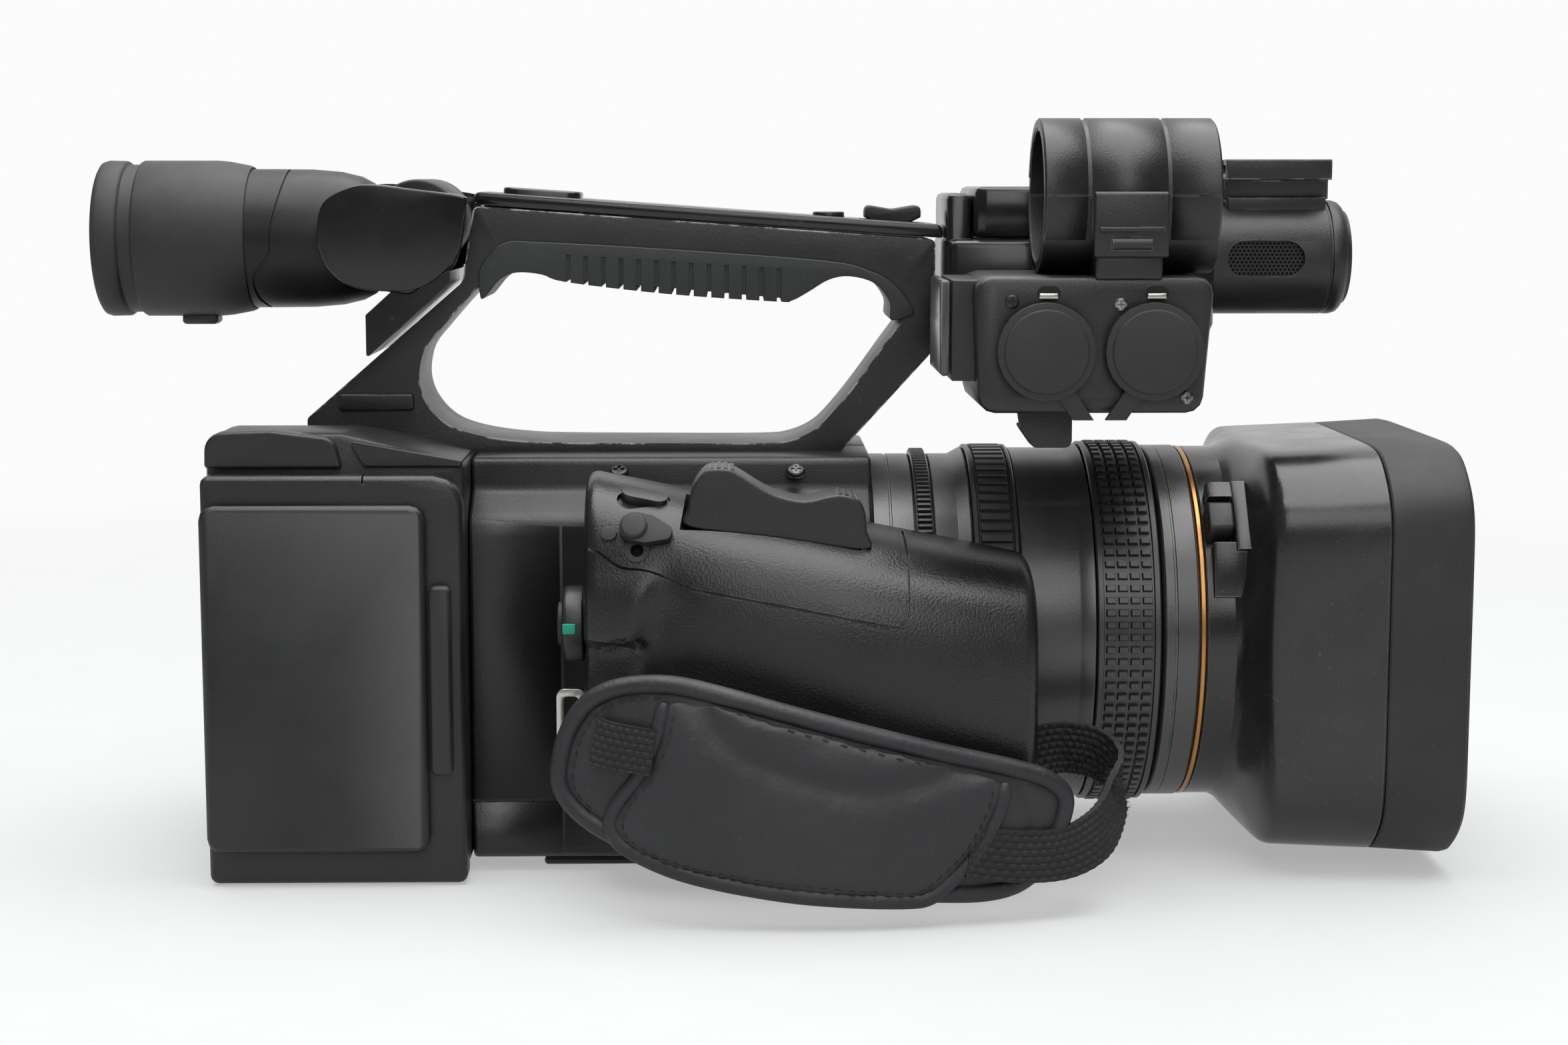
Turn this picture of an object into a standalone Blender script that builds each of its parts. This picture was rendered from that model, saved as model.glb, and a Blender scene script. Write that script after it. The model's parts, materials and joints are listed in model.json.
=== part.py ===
"""Hand-held camcorder with a top handle, as an assembly of separate solids.

Metres, +Z up. The lens looks along +X and the operator's right hand is at -Y. The origin is on
the underside of the base plate, below the optical axis.
"""
import math

import bmesh
import bpy
from mathutils import Matrix, Vector

MM = 0.001

# Clearances
GAP = 0.3 * MM          # between pieces that touch
RUN = 0.4 * MM          # between pieces that move past each other
WALL = 2.2 * MM         # moulded casings
PAST = 5.0 * MM         # how far a cutter runs past what it cuts

WELD = 0.005 * MM       # points closer than this are one
TINY = 0.01 * MM        # a fillet shorter than this is left sharp
SHARP_ANGLE = math.radians(35.0)

# Facets
TURN_STEPS = 36
SMALL_STEPS = 28
ROD_STEPS = 24
PIN_STEPS = 16
ARC_STEPS = 3

# Main casing
BASE_THICKNESS = 2.2 * MM
BASE_REAR_X = -40.0 * MM
BASE_FRONT_X = 40.0 * MM
BASE_HALF_Y = 34.0 * MM
BASE_EDGE = 0.6 * MM
TRIPOD_X = 15.0 * MM
TRIPOD_HOLE_R = 3.2 * MM
BODY_REAR_X = -57.0 * MM
BODY_FRONT_X = 40.6 * MM
BODY_RIGHT_Y = 38.5 * MM
BODY_LEFT_Y = 46.0 * MM
BODY_BOTTOM_Z = BASE_THICKNESS + GAP
BODY_TOP_Z = 100.6 * MM
DECK_HALF_Y = 28.5 * MM
DECK_DROP = 8.0 * MM
DECK_R = 2.0 * MM
DECK_FOOT_R = 3.0 * MM
SHOULDER_DROP = 14.5 * MM
BODY_CORNER_R = 3.5 * MM
LEAST_R = 1.0 * MM
BOARD_THICKNESS = 1.6 * MM
SENSOR_HALF = 14.0 * MM
SENSOR_EDGE = 1.5 * MM

# Rear housing and media door
REAR_X = BODY_REAR_X - 62.0 * MM
REAR_TOP_Z = BODY_TOP_Z + 7.4 * MM
REAR_HUMP_X = REAR_X + 33.0 * MM
REAR_FRONT_TOP_Z = BODY_TOP_Z + 0.4 * MM
REAR_RIGHT_Y = BODY_RIGHT_Y + 4.5 * MM
REAR_SLOPE_Y = -22.0 * MM
REAR_LEFT_TOP_Z = REAR_TOP_Z - 18.0 * MM
REAR_EDGE = 2.0 * MM
REAR_CORNER_R = 4.5 * MM
REAR_HUMP_R = 6.0 * MM
REAR_SEAM_R = 2.0 * MM
BAY_DEPTH = 7.4 * MM
BAY_TOP_Z = BODY_TOP_Z - 2.1 * MM
BAY_BORDER = 9.0 * MM
BAY_R = 2.0 * MM
BAY_FRONT_R = 7.0 * MM
BAY_EDGE = 1.0 * MM
DOOR_THICKNESS = 2.8 * MM
DOOR_R = 3.5 * MM
DOOR_EDGE = 1.1 * MM
DOOR_FRONT_X = BODY_REAR_X - 9.0 * MM
DOOR_BOTTOM_Z = 8.2 * MM
DOOR_TOP_Z = BAY_TOP_Z - 6.7 * MM
MEDIA_DEPTH = 30.0 * MM
LATCH_BOTTOM_Z = 26.9 * MM
LATCH_TOP_Z = 72.7 * MM
LATCH_LENGTH = 6.0 * MM
LATCH_R = 1.5 * MM
LATCH_EDGE = 0.8 * MM
BATTERY_DEPTH = 8.0 * MM
BATTERY_HALF_Y = 30.0 * MM
BATTERY_BOTTOM_Z = 12.0 * MM
BATTERY_TOP_Z = REAR_TOP_Z - 16.0 * MM
PLATE_THICKNESS = 2.2 * MM
RAIL_Y = 16.0 * MM

# Lens
LENS_Z = 55.5 * MM
SEAT_R = 40.4 * MM              # what the three rings turn on
BARREL_R = SEAT_R + 2.4 * MM
BARREL_STEP = 1.0 * MM
BARREL_LIP = 2.5 * MM
BORE_R = SEAT_R - 4.4 * MM
SPIGOT_R = SEAT_R - 10.4 * MM
SPIGOT_LENGTH = 8.0 * MM
SPIGOT_WALL = 3.0 * MM
SPIGOT_FLANGE = 4.0 * MM
LENS_REAR_X = BODY_FRONT_X + GAP
IRIS_X = (LENS_REAR_X + 10.6 * MM, LENS_REAR_X + 14.8 * MM)
IRIS_R = SEAT_R + 3.8 * MM
ZOOM_X = (LENS_REAR_X + 24.4 * MM, LENS_REAR_X + 35.3 * MM)
ZOOM_R = SEAT_R + 4.9 * MM
FOCUS_X = (LENS_REAR_X + 53.7 * MM, LENS_REAR_X + 69.0 * MM)
FOCUS_R = SEAT_R + 5.8 * MM
FOCUS_RAMP = 4.0 * MM
RING_EDGE = 0.6 * MM
CONE_X = ZOOM_X[0] - 3.6 * MM
MID_BARREL_R = SEAT_R + 3.9 * MM
FRONT_RING_X = (FOCUS_X[1] + 1.1 * MM, FOCUS_X[1] + 9.5 * MM)
FRONT_RING_R = SEAT_R + 4.5 * MM
FRONT_RING_EDGE = 0.5 * MM
GOLD_X = (FRONT_RING_X[1] + GAP, FRONT_RING_X[1] + 1.5 * MM)
GOLD_R = SEAT_R + 4.3 * MM
GOLD_DEPTH = 3.0 * MM
GLASS_R = BORE_R - RUN
GLASS_EDGE = 4.0 * MM
GLASS_BULGE = 7.0 * MM
GLASS_RINGS = 5
GLASS_ROUNDNESS = 1.6

# Lens hood
HOOD_REAR_X = GOLD_X[1] + GAP
HOOD_COLLAR_X = HOOD_REAR_X + 7.6 * MM
HOOD_FLARE_X = HOOD_COLLAR_X + 7.2 * MM
HOOD_SPLIT_X = HOOD_FLARE_X + 26.6 * MM
HOOD_FRONT_X = HOOD_SPLIT_X + 19.9 * MM
HOOD_COLLAR_R = SEAT_R + 4.2 * MM
HOOD_Z = LENS_Z - 1.9 * MM
HOOD_HALF_Y = HOOD_COLLAR_R + 9.9 * MM
HOOD_HALF_Z = HOOD_COLLAR_R + 4.4 * MM
HOOD_SPREAD = 1.8 * MM
HOOD_WALL = 2.4 * MM
HOOD_LIP = 1.2 * MM
HOOD_LIP_LENGTH = 2.0 * MM
HOOD_STEPS = 40
ROUND = 2.0                     # section powers, from a circle to a rounded rectangle
HOOD_FLARE_POWER = 3.2
HOOD_THROAT_POWER = 6.0
HOOD_MOUTH_POWER = 7.0
HOOD_LATCH_ANGLE = math.radians(39.0)
HOOD_LATCH_HALF = 4.5 * MM
HOOD_LATCH_TAPER = 0.8
HOOD_LATCH_RISE = 6.8 * MM
HOOD_LATCH_SINK = 0.2 * MM
HOOD_LATCH_TRAVEL = 1.0 * MM
HOOD_LATCH_LENGTH = 6.3 * MM

# Handle
HANDLE_HALF_Y = 14.0 * MM
HANDLE_REAR_X = BODY_REAR_X
HANDLE_FRONT_X = BODY_FRONT_X + 16.4 * MM
HANDLE_REAR_Z = BODY_TOP_Z + 60.8 * MM
HANDLE_FRONT_Z = HANDLE_REAR_Z - 8.2 * MM
HANDLE_BASE_Z = BODY_TOP_Z + GAP
HANDLE_TAIL_X = REAR_X + 20.0 * MM
HANDLE_TAIL_RISE = 1.0 * MM
HANDLE_BACK_X = HANDLE_REAR_X - 3.0 * MM
HANDLE_BACK_Z = HANDLE_REAR_Z - 18.6 * MM
HANDLE_FOOT_X = HANDLE_FRONT_X - 23.0 * MM
HANDLE_NOSE_Z = HANDLE_FRONT_Z - 27.2 * MM
HANDLE_EDGE = 1.6 * MM
HANDLE_TOP_R = 1.5 * MM
HANDLE_BACK_R = 3.0 * MM
HANDLE_TAIL_R = 1.5 * MM
HANDLE_FOOT_R = 4.0 * MM
HANDLE_NOSE_R = 6.0 * MM
COVER_THICKNESS = 3.6 * MM
COVER_R = 1.5 * MM
COVER_SEAM_R = 0.5 * MM
COVER_EDGE = 0.8 * MM
PAD_TOP_Z = HANDLE_REAR_Z - 16.9 * MM
PAD_FALL = 3.0 * MM
PAD_THICKNESS = 5.0 * MM
PAD_REAR_X = HANDLE_REAR_X + 17.0 * MM
PAD_FRONT_X = HANDLE_FRONT_X - 32.0 * MM
PAD_TAPER = 4.0 * MM
PAD_R = 3.0 * MM
PAD_OVERHANG = 1.0 * MM
PAD_EDGE = 1.2 * MM

# Hand opening of the handle
LOOP_FLOOR_Z = BODY_TOP_Z + 5.7 * MM
LOOP_REAR_X = HANDLE_REAR_X - 13.5 * MM
LOOP_REAR_Z = LOOP_FLOOR_Z + 16.2 * MM
LOOP_REAR_R = 9.0 * MM
LOOP_SHOULDER_X = HANDLE_REAR_X + 2.0 * MM
LOOP_SHOULDER_DROP = 1.0 * MM
LOOP_TOP_R = 4.0 * MM
LOOP_SEAT_R = 2.0 * MM
LOOP_FRONT_X = HANDLE_FRONT_X - 11.5 * MM
LOOP_FRONT_DROP = 2.0 * MM
LOOP_NOSE_X = HANDLE_FRONT_X - 8.4 * MM
LOOP_NOSE_DROP = 11.0 * MM
LOOP_NOSE_R = 5.0 * MM
LOOP_FOOT_X = HANDLE_FRONT_X - 30.6 * MM
LOOP_FOOT_R = 9.0 * MM
LOOP_HEEL_X = HANDLE_REAR_X + 5.0 * MM
LOOP_HEEL_R = 14.0 * MM

# Controls on the handle's top
LEVER_X = HANDLE_FRONT_X - 10.0 * MM
LEVER_HALF_X = 7.0 * MM
LEVER_HALF_Y = 5.0 * MM
LEVER_ROOM = 1.2 * MM
LEVER_DISH_Z = 3.0 * MM
LEVER_TIP_Z = 4.2 * MM
LEVER_WING_Z = 1.0 * MM
LEVER_STEM_HALF = 2.0 * MM
LEVER_STEM_SINK = 1.5 * MM
LEVER_POCKET = 2.0 * MM
LEVER_TIP_R = 1.5 * MM
LEVER_DISH_R = 4.0 * MM
LEVER_EDGE = 0.4 * MM
TOP_BUTTON_X = HANDLE_FRONT_X - 26.0 * MM
TOP_BUTTON_R = 4.0 * MM
BUTTON_RISE = 1.2 * MM

# Viewfinder
EVF_PIVOT = Vector((HANDLE_REAR_X - 13.5 * MM, 0.0, HANDLE_REAR_Z - 3.8 * MM))
EVF_Z = EVF_PIVOT.z - 4.4 * MM
EVF_BARREL_R = 10.4 * MM
EVF_R = 17.3 * MM
EVF_NOSE_X = EVF_PIVOT.x - 15.5 * MM
EVF_NOSE_STEP = 6.0 * MM
EVF_NOSE_DROP = 1.5 * MM
EVF_TIP = 4.0 * MM
EVF_TIP_DROP = 5.0 * MM
EVF_WEB_HALF_Y = 11.0 * MM
EVF_WEB_DROP = 5.0 * MM
EVF_WEB_LAP = 2.0 * MM
EVF_WEB_STEP = 1.0 * MM
EVF_REAR_X = EVF_NOSE_X - 35.0 * MM
EVF_WALL = 2.4 * MM
EVF_SCREEN_HALF = 7.8 * MM
EVF_SCREEN_THICKNESS = 2.7 * MM
EYECUP_X = EVF_REAR_X - 29.5 * MM
EYECUP_R = 19.4 * MM
EYECUP_WALL = 2.6 * MM
EYECUP_EDGE = 1.2 * MM
EYECUP_LIP = 7.5 * MM
EYECUP_GROOVE = 2.5 * MM
EYECUP_GROOVE_DEPTH = 0.8 * MM
EYE_GLASS_R = 13.0 * MM
EYE_GLASS_SET = 5.0 * MM
EYE_GLASS_RIM = 1.5 * MM
EYE_GLASS_THICKNESS = 4.0 * MM
EYE_GLASS_EDGE = 1.0 * MM
EYE_GLASS_CROWN = 3.0 * MM
EYE_RIM_LENGTH = 7.0 * MM
DIOPTER_LENGTH = 9.0 * MM
DIOPTER_HALF_Y = 3.5 * MM
DIOPTER_ROOM_HALF = 9.0 * MM
DIOPTER_SINK = 1.2 * MM
DIOPTER_RISE = 2.0 * MM
DIOPTER_EDGE = 0.6 * MM
EVF_PIN_R = 2.2 * MM
FORK_INNER_Y = 17.7 * MM
FORK_OUTER_Y = 21.0 * MM
FORK_EDGE = 0.8 * MM
FORK_SEAT_X = HANDLE_REAR_X - GAP
FORK_REAR_X = EVF_PIVOT.x - 23.5 * MM
FORK_REAR_RISE = 3.0 * MM
FORK_CREST = 8.0 * MM
FORK_CREST_RISE = EVF_BARREL_R - 1.5 * MM
FORK_FRONT_RISE = EVF_BARREL_R - 4.0 * MM
FORK_FRONT_SET = 1.5 * MM
FORK_THROAT_SET = 3.5 * MM
FORK_THROAT_DROP = 6.0 * MM
FORK_HEEL_SET = 15.0 * MM
FORK_HEEL_DROP = 13.5 * MM
FORK_TAIL_SET = 2.0 * MM
FORK_TAIL_DROP = 10.0 * MM
FORK_R = 8.0 * MM
FORK_SMALL_R = 4.0 * MM
BRIDGE_SET = 5.0 * MM
BRIDGE_TOP = 1.5 * MM
BRIDGE_DEPTH = 3.0 * MM
BRIDGE_LEAN_SET = 14.0 * MM
BRIDGE_POST_SET = 26.0 * MM
BRIDGE_POST_DROP = 23.0 * MM
BRIDGE_MARGIN = 1.0 * MM
BRIDGE_R = 0.5 * MM

# Front housing, display, microphone and shoe
FRONT_REAR_X = HANDLE_FRONT_X + COVER_THICKNESS / 2 + 2 * GAP
FRONT_END_X = HANDLE_FRONT_X + 67.0 * MM
FRONT_RIGHT_Y = 29.0 * MM
FRONT_LEFT_Y = 26.0 * MM
FRONT_TOP_Z = HANDLE_FRONT_Z + 0.2 * MM
FRONT_BOTTOM_Z = FRONT_TOP_Z - 22.4 * MM
FRONT_EDGE = 2.0 * MM
FRONT_STEP_HALF = 18.0 * MM
FRONT_STEP_RISE = 11.1 * MM
FRONT_STEP_EDGE = 1.5 * MM
LCD_X = (HANDLE_FRONT_X + 9.0 * MM, FRONT_END_X - 2.5 * MM)
LCD_RIGHT_Y = 23.0 * MM
LCD_LEFT_Y = 24.0 * MM
LCD_HEIGHT = 12.4 * MM
LCD_R = 3.0 * MM
LCD_EDGE = 1.5 * MM
LCD_KNUCKLE_R = 3.4 * MM
LCD_KNUCKLE_SOFT = 3.2 * MM
LCD_KNUCKLE_LAP = 2.0 * MM
LCD_EAR = 4.0 * MM
LCD_EAR_R = 2.0 * MM
LCD_STUB_R = 1.4 * MM
LCD_PIVOT_Y = LCD_LEFT_Y + 4.6 * MM
SCREEN_BORDER = 6.0 * MM
SCREEN_THICKNESS = 1.4 * MM
MIC_Z = FRONT_TOP_Z - 5.0 * MM
MIC_R = 14.3 * MM
MIC_FRONT_X = FRONT_END_X + 37.4 * MM
MIC_EDGE = 0.8 * MM
MIC_NOSE = 4.0 * MM
MIC_NOSE_STEP = 1.0 * MM
MIC_NOSE_DROP = 1.5 * MM
MIC_FACE_DROP = 4.5 * MM
MIC_FLAT = 0.7 * MM
GRILLE_X = FRONT_END_X + 15.4 * MM
GRILLE_HALF_X = 8.6 * MM
GRILLE_HALF_Z = 3.4 * MM
GRILLE_THICKNESS = 1.0 * MM
SHOE_X = (FRONT_END_X + 5.6 * MM, FRONT_END_X + 32.0 * MM)
SHOE_TOP_Z = MIC_Z + MIC_R + 10.2 * MM
SHOE_SLOT_HALF = 9.4 * MM
SHOE_SLOT_HEIGHT = 2.1 * MM
SHOE_LIP = 3.1 * MM
SHOE_PLATE = 1.5 * MM
SHOE_STEM = 0.6                 # width of the shoe's stem as a share of its plate
SHOE_EDGE_R = 0.5 * MM
SHOE_LIP_R = 0.3 * MM

# Audio input box and external microphone holder
XLR_X = (HANDLE_FRONT_X + 4.5 * MM, FRONT_END_X - 7.5 * MM)
XLR_FACE_Y = -FRONT_RIGHT_Y - 43.0 * MM
XLR_INNER_Y = -FRONT_RIGHT_Y - GAP
XLR_BOTTOM_Z = FRONT_BOTTOM_Z - 16.0 * MM
XLR_TOP_Z = FRONT_TOP_Z - 7.2 * MM
XLR_TAPER = 2.5 * MM
XLR_R = 4.0 * MM
XLR_EDGE = 1.5 * MM
SOCKET_X = (XLR_X[0] + 16.4 * MM, XLR_X[1] - 14.0 * MM)
SOCKET_Z = XLR_BOTTOM_Z + 14.2 * MM
SOCKET_R = 9.8 * MM
SOCKET_WALL = 1.2 * MM
SOCKET_DEPTH = 13.0 * MM
CAP_R = 11.2 * MM
CAP_THICKNESS = 2.6 * MM
CAP_PIVOT_Z = XLR_BOTTOM_Z - 1.4 * MM
CAP_ARM_HALF = 2.4 * MM
CAP_ARM_THICKNESS = 1.8 * MM
CAP_FOOT_SHARE = 0.3            # how far from the middle each cap's foot stands
CAP_ARM_SHARE = 0.4
CAP_ARM_LAP = 0.7
AUDIO_DEPTH = 4.5 * MM
AUDIO_LAP = 4.0 * MM
AUDIO_INSET = 6.0 * MM
AUDIO_REVEAL = 1.0 * MM
AUDIO_COVER = 2.4 * MM
AUDIO_COVER_EDGE = 0.6 * MM
HOOK_X = SOCKET_X[0] + 1.6 * MM
HOOK_Y = (XLR_FACE_Y + 14.0 * MM, XLR_FACE_Y + 22.0 * MM)
HOOK_HALF = 6.5 * MM
HOOK_DROP = 9.0 * MM
HOOK_PLATE = 1.8 * MM
HOOK_TAPER = 0.8 * MM
HOOK_HEEL = (4.0 * MM, 4.6 * MM)
HOOK_LIP = 5.3 * MM
HOOK_R = 1.6 * MM
HOOK_SMALL_R = 0.5 * MM
HOLDER_X = (XLR_X[0] + 16.0 * MM, XLR_X[1] + 1.5 * MM)
HOLDER_R = 17.8 * MM
HOLDER_WALL = 2.4 * MM
HOLDER_Y = XLR_FACE_Y + 19.0 * MM
HOLDER_STEPS = 20
HOLDER_BAND_X = (HOLDER_X[0] + 11.0 * MM, HOLDER_X[1] - 12.6 * MM)
HOLDER_LATCH = 2.2 * MM
HOLDER_LATCH_Z = XLR_TOP_Z + 5.6 * MM
HOLDER_LATCH_LAP = 1.4 * MM
HOLDER_LATCH_R = 0.9 * MM
HOLDER_HINGE_R = 2.4 * MM
HOLDER_PIN_R = 1.1 * MM
HOLDER_PIN_END = 1.0 * MM
HOLDER_EAR_LONG = 7.0 * MM
HOLDER_EAR_SHORT = 4.0 * MM
HOLDER_EAR_R = 2.0 * MM
HOLDER_EAR_LAP = 2.2 * MM
HOLDER_LINK_LOW = 9.0 * MM
HOLDER_LINK_HIGH = 6.0 * MM

# Right-hand grip
GRIP_INNER_Y = -BODY_RIGHT_Y - GAP
GRIP_REAR_X = BODY_REAR_X + 29.0 * MM
GRIP_FRONT_X = BODY_FRONT_X + 37.0 * MM
GRIP_BOTTOM_Z = 13.0 * MM
GRIP_OUT_Y = BODY_RIGHT_Y + 37.5 * MM
GRIP_REAR_TOP_Z = BODY_TOP_Z - 1.6 * MM
GRIP_FRONT_TOP_Z = GRIP_REAR_TOP_Z - 20.5 * MM
GRIP_COVER_X = GRIP_FRONT_X - 30.6 * MM
GRIP_SEAM_DROP = 17.6 * MM
GRIP_POWER = 3.2                # 2 is an ellipse, higher is boxier
GRIP_LEAST = 0.8                # fullness of the grip's ends as a share of its fullest section
GRIP_SWELL_START = 0.12
GRIP_SWELL = 0.62
GRIP_STATIONS = 8
GRIP_SIDES = 18
GRIP_SLOPE = math.atan2(GRIP_REAR_TOP_Z - GRIP_FRONT_TOP_Z, GRIP_FRONT_X - GRIP_REAR_X)
LENS_ROOM_STEPS = 48
PROBE = 0.5 * MM                # steps along and round the grip that give its slope
PROBE_TURN = math.radians(1.0)
ROCKER_X = GRIP_REAR_X + 44.5 * MM
ROCKER_Y = GRIP_INNER_Y - 18.2 * MM
ROCKER_HALF_LENGTH = 20.5 * MM
ROCKER_HALF_Y = 7.0 * MM
ROCKER_RISE = 8.0 * MM
ROCKER_SINK = 4.0 * MM
ROCKER_FOOT = -2.0 * MM
ROCKER_ROOM = 3.0 * MM
ROCKER_HORN = 8.0 * MM
ROCKER_STEM = 5.0 * MM
ROCKER_DISH = 0.45              # heights as shares of the rise
ROCKER_NOSE = 0.7
ROCKER_TIP = 0.8
ROCKER_EDGE = 1.0 * MM
ROCKER_TIP_R = 2.0 * MM
ROCKER_HORN_R = 4.0 * MM
OVAL_X = GRIP_REAR_X + 14.0 * MM
OVAL_ANGLE = math.radians(66.0)
OVAL_LENGTH = 5.5 * MM
OVAL_R = 2.4 * MM
DIAL_Y = GRIP_INNER_Y - 16.2 * MM
DIAL_Z = GRIP_REAR_TOP_Z - 35.0 * MM
DIAL_R = 9.0 * MM
DIAL_DEPTH = 5.0 * MM
DIAL_EDGE = 0.8 * MM
REC_R = 5.2 * MM
PLUG_X = GRIP_REAR_X + 12.0 * MM
PLUG_ANGLE = math.radians(42.0)
PLUG_R = 3.6 * MM
PLUG_REACH = 2.5                # tongue length and half width in plug radii
PLUG_TONGUE = 0.4
PLUG_THICKNESS = 2.0 * MM
STRAP_LOOP_Z = 40.0 * MM
STRAP_LOOP_Y = GRIP_INNER_Y - 13.2 * MM
STRAP_LOOP_HALF = 8.0 * MM
STRAP_LOOP_LENGTH = 7.0 * MM
STRAP_LOOP_WIRE = 1.8 * MM

# Hand strap
STRAP_REAR_X = GRIP_REAR_X - 9.0 * MM
STRAP_FRONT_X = GRIP_FRONT_X + 7.4 * MM
STRAP_BOW = 10.0 * MM
STRAP_END_Y = -GRIP_OUT_Y - 3.0 * MM
STRAP_THICKNESS = 6.0 * MM
STRAP_ROUNDNESS = 3.0
STRAP_STATIONS = 12
STRAP_TIP = 0.06                # share of the half turn left off each end
STRAP_TOP_Z = 62.0 * MM
STRAP_FRONT_TOP_Z = 33.0 * MM
STRAP_MIDDLE_Z = 41.0 * MM
STRAP_FRONT_MIDDLE_Z = 24.0 * MM
STRAP_LOW_Z = 8.0 * MM
STRAP_FRONT_LOW_Z = 0.8 * MM
WEB_Z = 21.0 * MM
WEB_RISE = 9.0 * MM
WEB_HEIGHT = 14.0 * MM
WEB_THICKNESS = 1.6 * MM
WEB_OUT_X = GRIP_FRONT_X + 20.9 * MM
WEB_OUT_Y = STRAP_END_Y + 7.0 * MM
WEB_TURN = 8.0 * MM
WEB_ANCHOR_Y = -GRIP_OUT_Y + 19.0 * MM

for old in list(bpy.data.objects):
    bpy.data.objects.remove(old, do_unlink=True)

parts = bpy.data.collections.new("camcorder")
cutters = bpy.data.collections.new("cutters")
bpy.context.scene.collection.children.link(parts)
bpy.context.scene.collection.children.link(cutters)


def material(name, colour, roughness, metallic=0.0):
    made = bpy.data.materials.new(name)
    made.use_nodes = True
    shader = made.node_tree.nodes["Principled BSDF"]
    shader.inputs["Base Color"].default_value = (*colour, 1.0)
    shader.inputs["Roughness"].default_value = roughness
    shader.inputs["Metallic"].default_value = metallic
    made.diffuse_color = (*colour, 1.0)
    return made


CASING = material("textured_casing", (0.022, 0.023, 0.024), 0.62)
GLOSS = material("gloss_casing", (0.012, 0.012, 0.013), 0.22)
CAST = material("painted_casting", (0.018, 0.018, 0.019), 0.4, 0.2)
RUBBER = material("rubber", (0.03, 0.031, 0.03), 0.8)
METAL = material("bright_metal", (0.6, 0.58, 0.55), 0.3, 1.0)
GOLD = material("orange_ring", (0.45, 0.17, 0.03), 0.3, 1.0)
GLASS = material("glass", (0.02, 0.03, 0.04), 0.05)
LEATHER = material("strap_leather", (0.06, 0.068, 0.078), 0.7)
WEBBING = material("webbing", (0.02, 0.021, 0.023), 0.85)
BOARD = material("circuit_board", (0.02, 0.12, 0.06), 0.5)
CLEAR = material("clear_cover", (0.35, 0.36, 0.37), 0.15)


def add(name, mesh, finish=None):
    """Link a mesh as a part, or as a cutter when it has no finish."""
    piece = bpy.data.objects.new(name, mesh)
    if finish is None:
        cutters.objects.link(piece)
        piece.hide_render = True
        piece.display_type = "WIRE"
    else:
        parts.objects.link(piece)
        mesh.materials.clear()
        mesh.materials.append(finish)
    mesh.shade_smooth()
    mesh.set_sharp_from_angle(angle=SHARP_ANGLE)
    return piece


def set_origin(piece, point):
    """Put a piece's origin at a point of its joint, leaving its shape where it is."""
    piece.data.transform(Matrix.Translation(-Vector(point)))
    piece.location = point


def boolean(piece, other, operation="DIFFERENCE"):
    """Cut a piece with a cutter, join one to it, or keep what both hold."""
    change = piece.modifiers.new(other.name, "BOOLEAN")
    change.operation = operation
    change.object = other
    change.solver = "EXACT"


def block(name, low, high, finish=None, edge=0.0, segments=2):
    """A box between two corners, with its edges rounded."""
    low = Vector(low)
    high = Vector(high)
    form = bmesh.new()
    bmesh.ops.create_cube(form, size=1.0)
    bmesh.ops.scale(form, vec=high - low, verts=form.verts)
    bmesh.ops.translate(form, vec=(low + high) / 2, verts=form.verts)
    mesh = bpy.data.meshes.new(name)
    form.to_mesh(mesh)
    form.free()
    piece = add(name, mesh, finish)
    if edge:
        rounding = piece.modifiers.new("edges", "BEVEL")
        rounding.width = edge
        rounding.segments = segments
        rounding.limit_method = "NONE"
    return piece


def rod(name, start, end, radius, finish=None, sides=ROD_STEPS):
    """A cylinder between two points."""
    start = Vector(start)
    end = Vector(end)
    turn = Vector((0.0, 0.0, 1.0)).rotation_difference(end - start).to_matrix().to_4x4()
    form = bmesh.new()
    bmesh.ops.create_cone(form, cap_ends=True, segments=sides, radius1=radius, radius2=radius,
                          depth=(end - start).length)
    bmesh.ops.transform(form, matrix=Matrix.Translation((start + end) / 2) @ turn, verts=form.verts)
    mesh = bpy.data.meshes.new(name)
    form.to_mesh(mesh)
    form.free()
    return add(name, mesh, finish)


def turned(name, outer, inner, centre, finish=None, steps=SMALL_STEPS):
    """A shape turned about the X axis through a point, from (x, radius) stations, rear to front."""
    path = [Vector((r, 0.0, x)) for x, r in reversed(outer)]
    path += [Vector((r, 0.0, x)) for x, r in inner]
    if not inner:
        path = [Vector((0.0, 0.0, outer[-1][0]))] + path + [Vector((0.0, 0.0, outer[0][0]))]
    links = [(i, i + 1) for i in range(len(path) - 1)]
    if inner:
        links.append((len(path) - 1, 0))
    mesh = bpy.data.meshes.new(name)
    mesh.from_pydata(path, links, [])
    guide = bpy.data.objects.new(name + "_profile", mesh)
    parts.objects.link(guide)
    spin = guide.modifiers.new("turn", "SCREW")
    spin.axis = "Z"
    spin.steps = steps
    spin.render_steps = steps
    spin.use_merge_vertices = True
    spin.merge_threshold = WELD
    made = evaluated_mesh(guide, name)
    piece = add(name, made, finish)
    piece.rotation_euler = (0.0, math.radians(90.0), 0.0)
    piece.location = centre
    return piece


def evaluated_mesh(guide, name):
    """Take a guide's evaluated mesh, weld it and remove the guide."""
    bpy.context.view_layer.update()
    graph = bpy.context.evaluated_depsgraph_get()
    made = bpy.data.meshes.new_from_object(guide.evaluated_get(graph))
    made.name = name
    form = bmesh.new()
    form.from_mesh(made)
    bmesh.ops.remove_doubles(form, verts=form.verts, dist=WELD)
    bmesh.ops.recalc_face_normals(form, faces=form.faces)
    form.to_mesh(made)
    form.free()
    bpy.data.objects.remove(guide, do_unlink=True)
    return made


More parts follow.
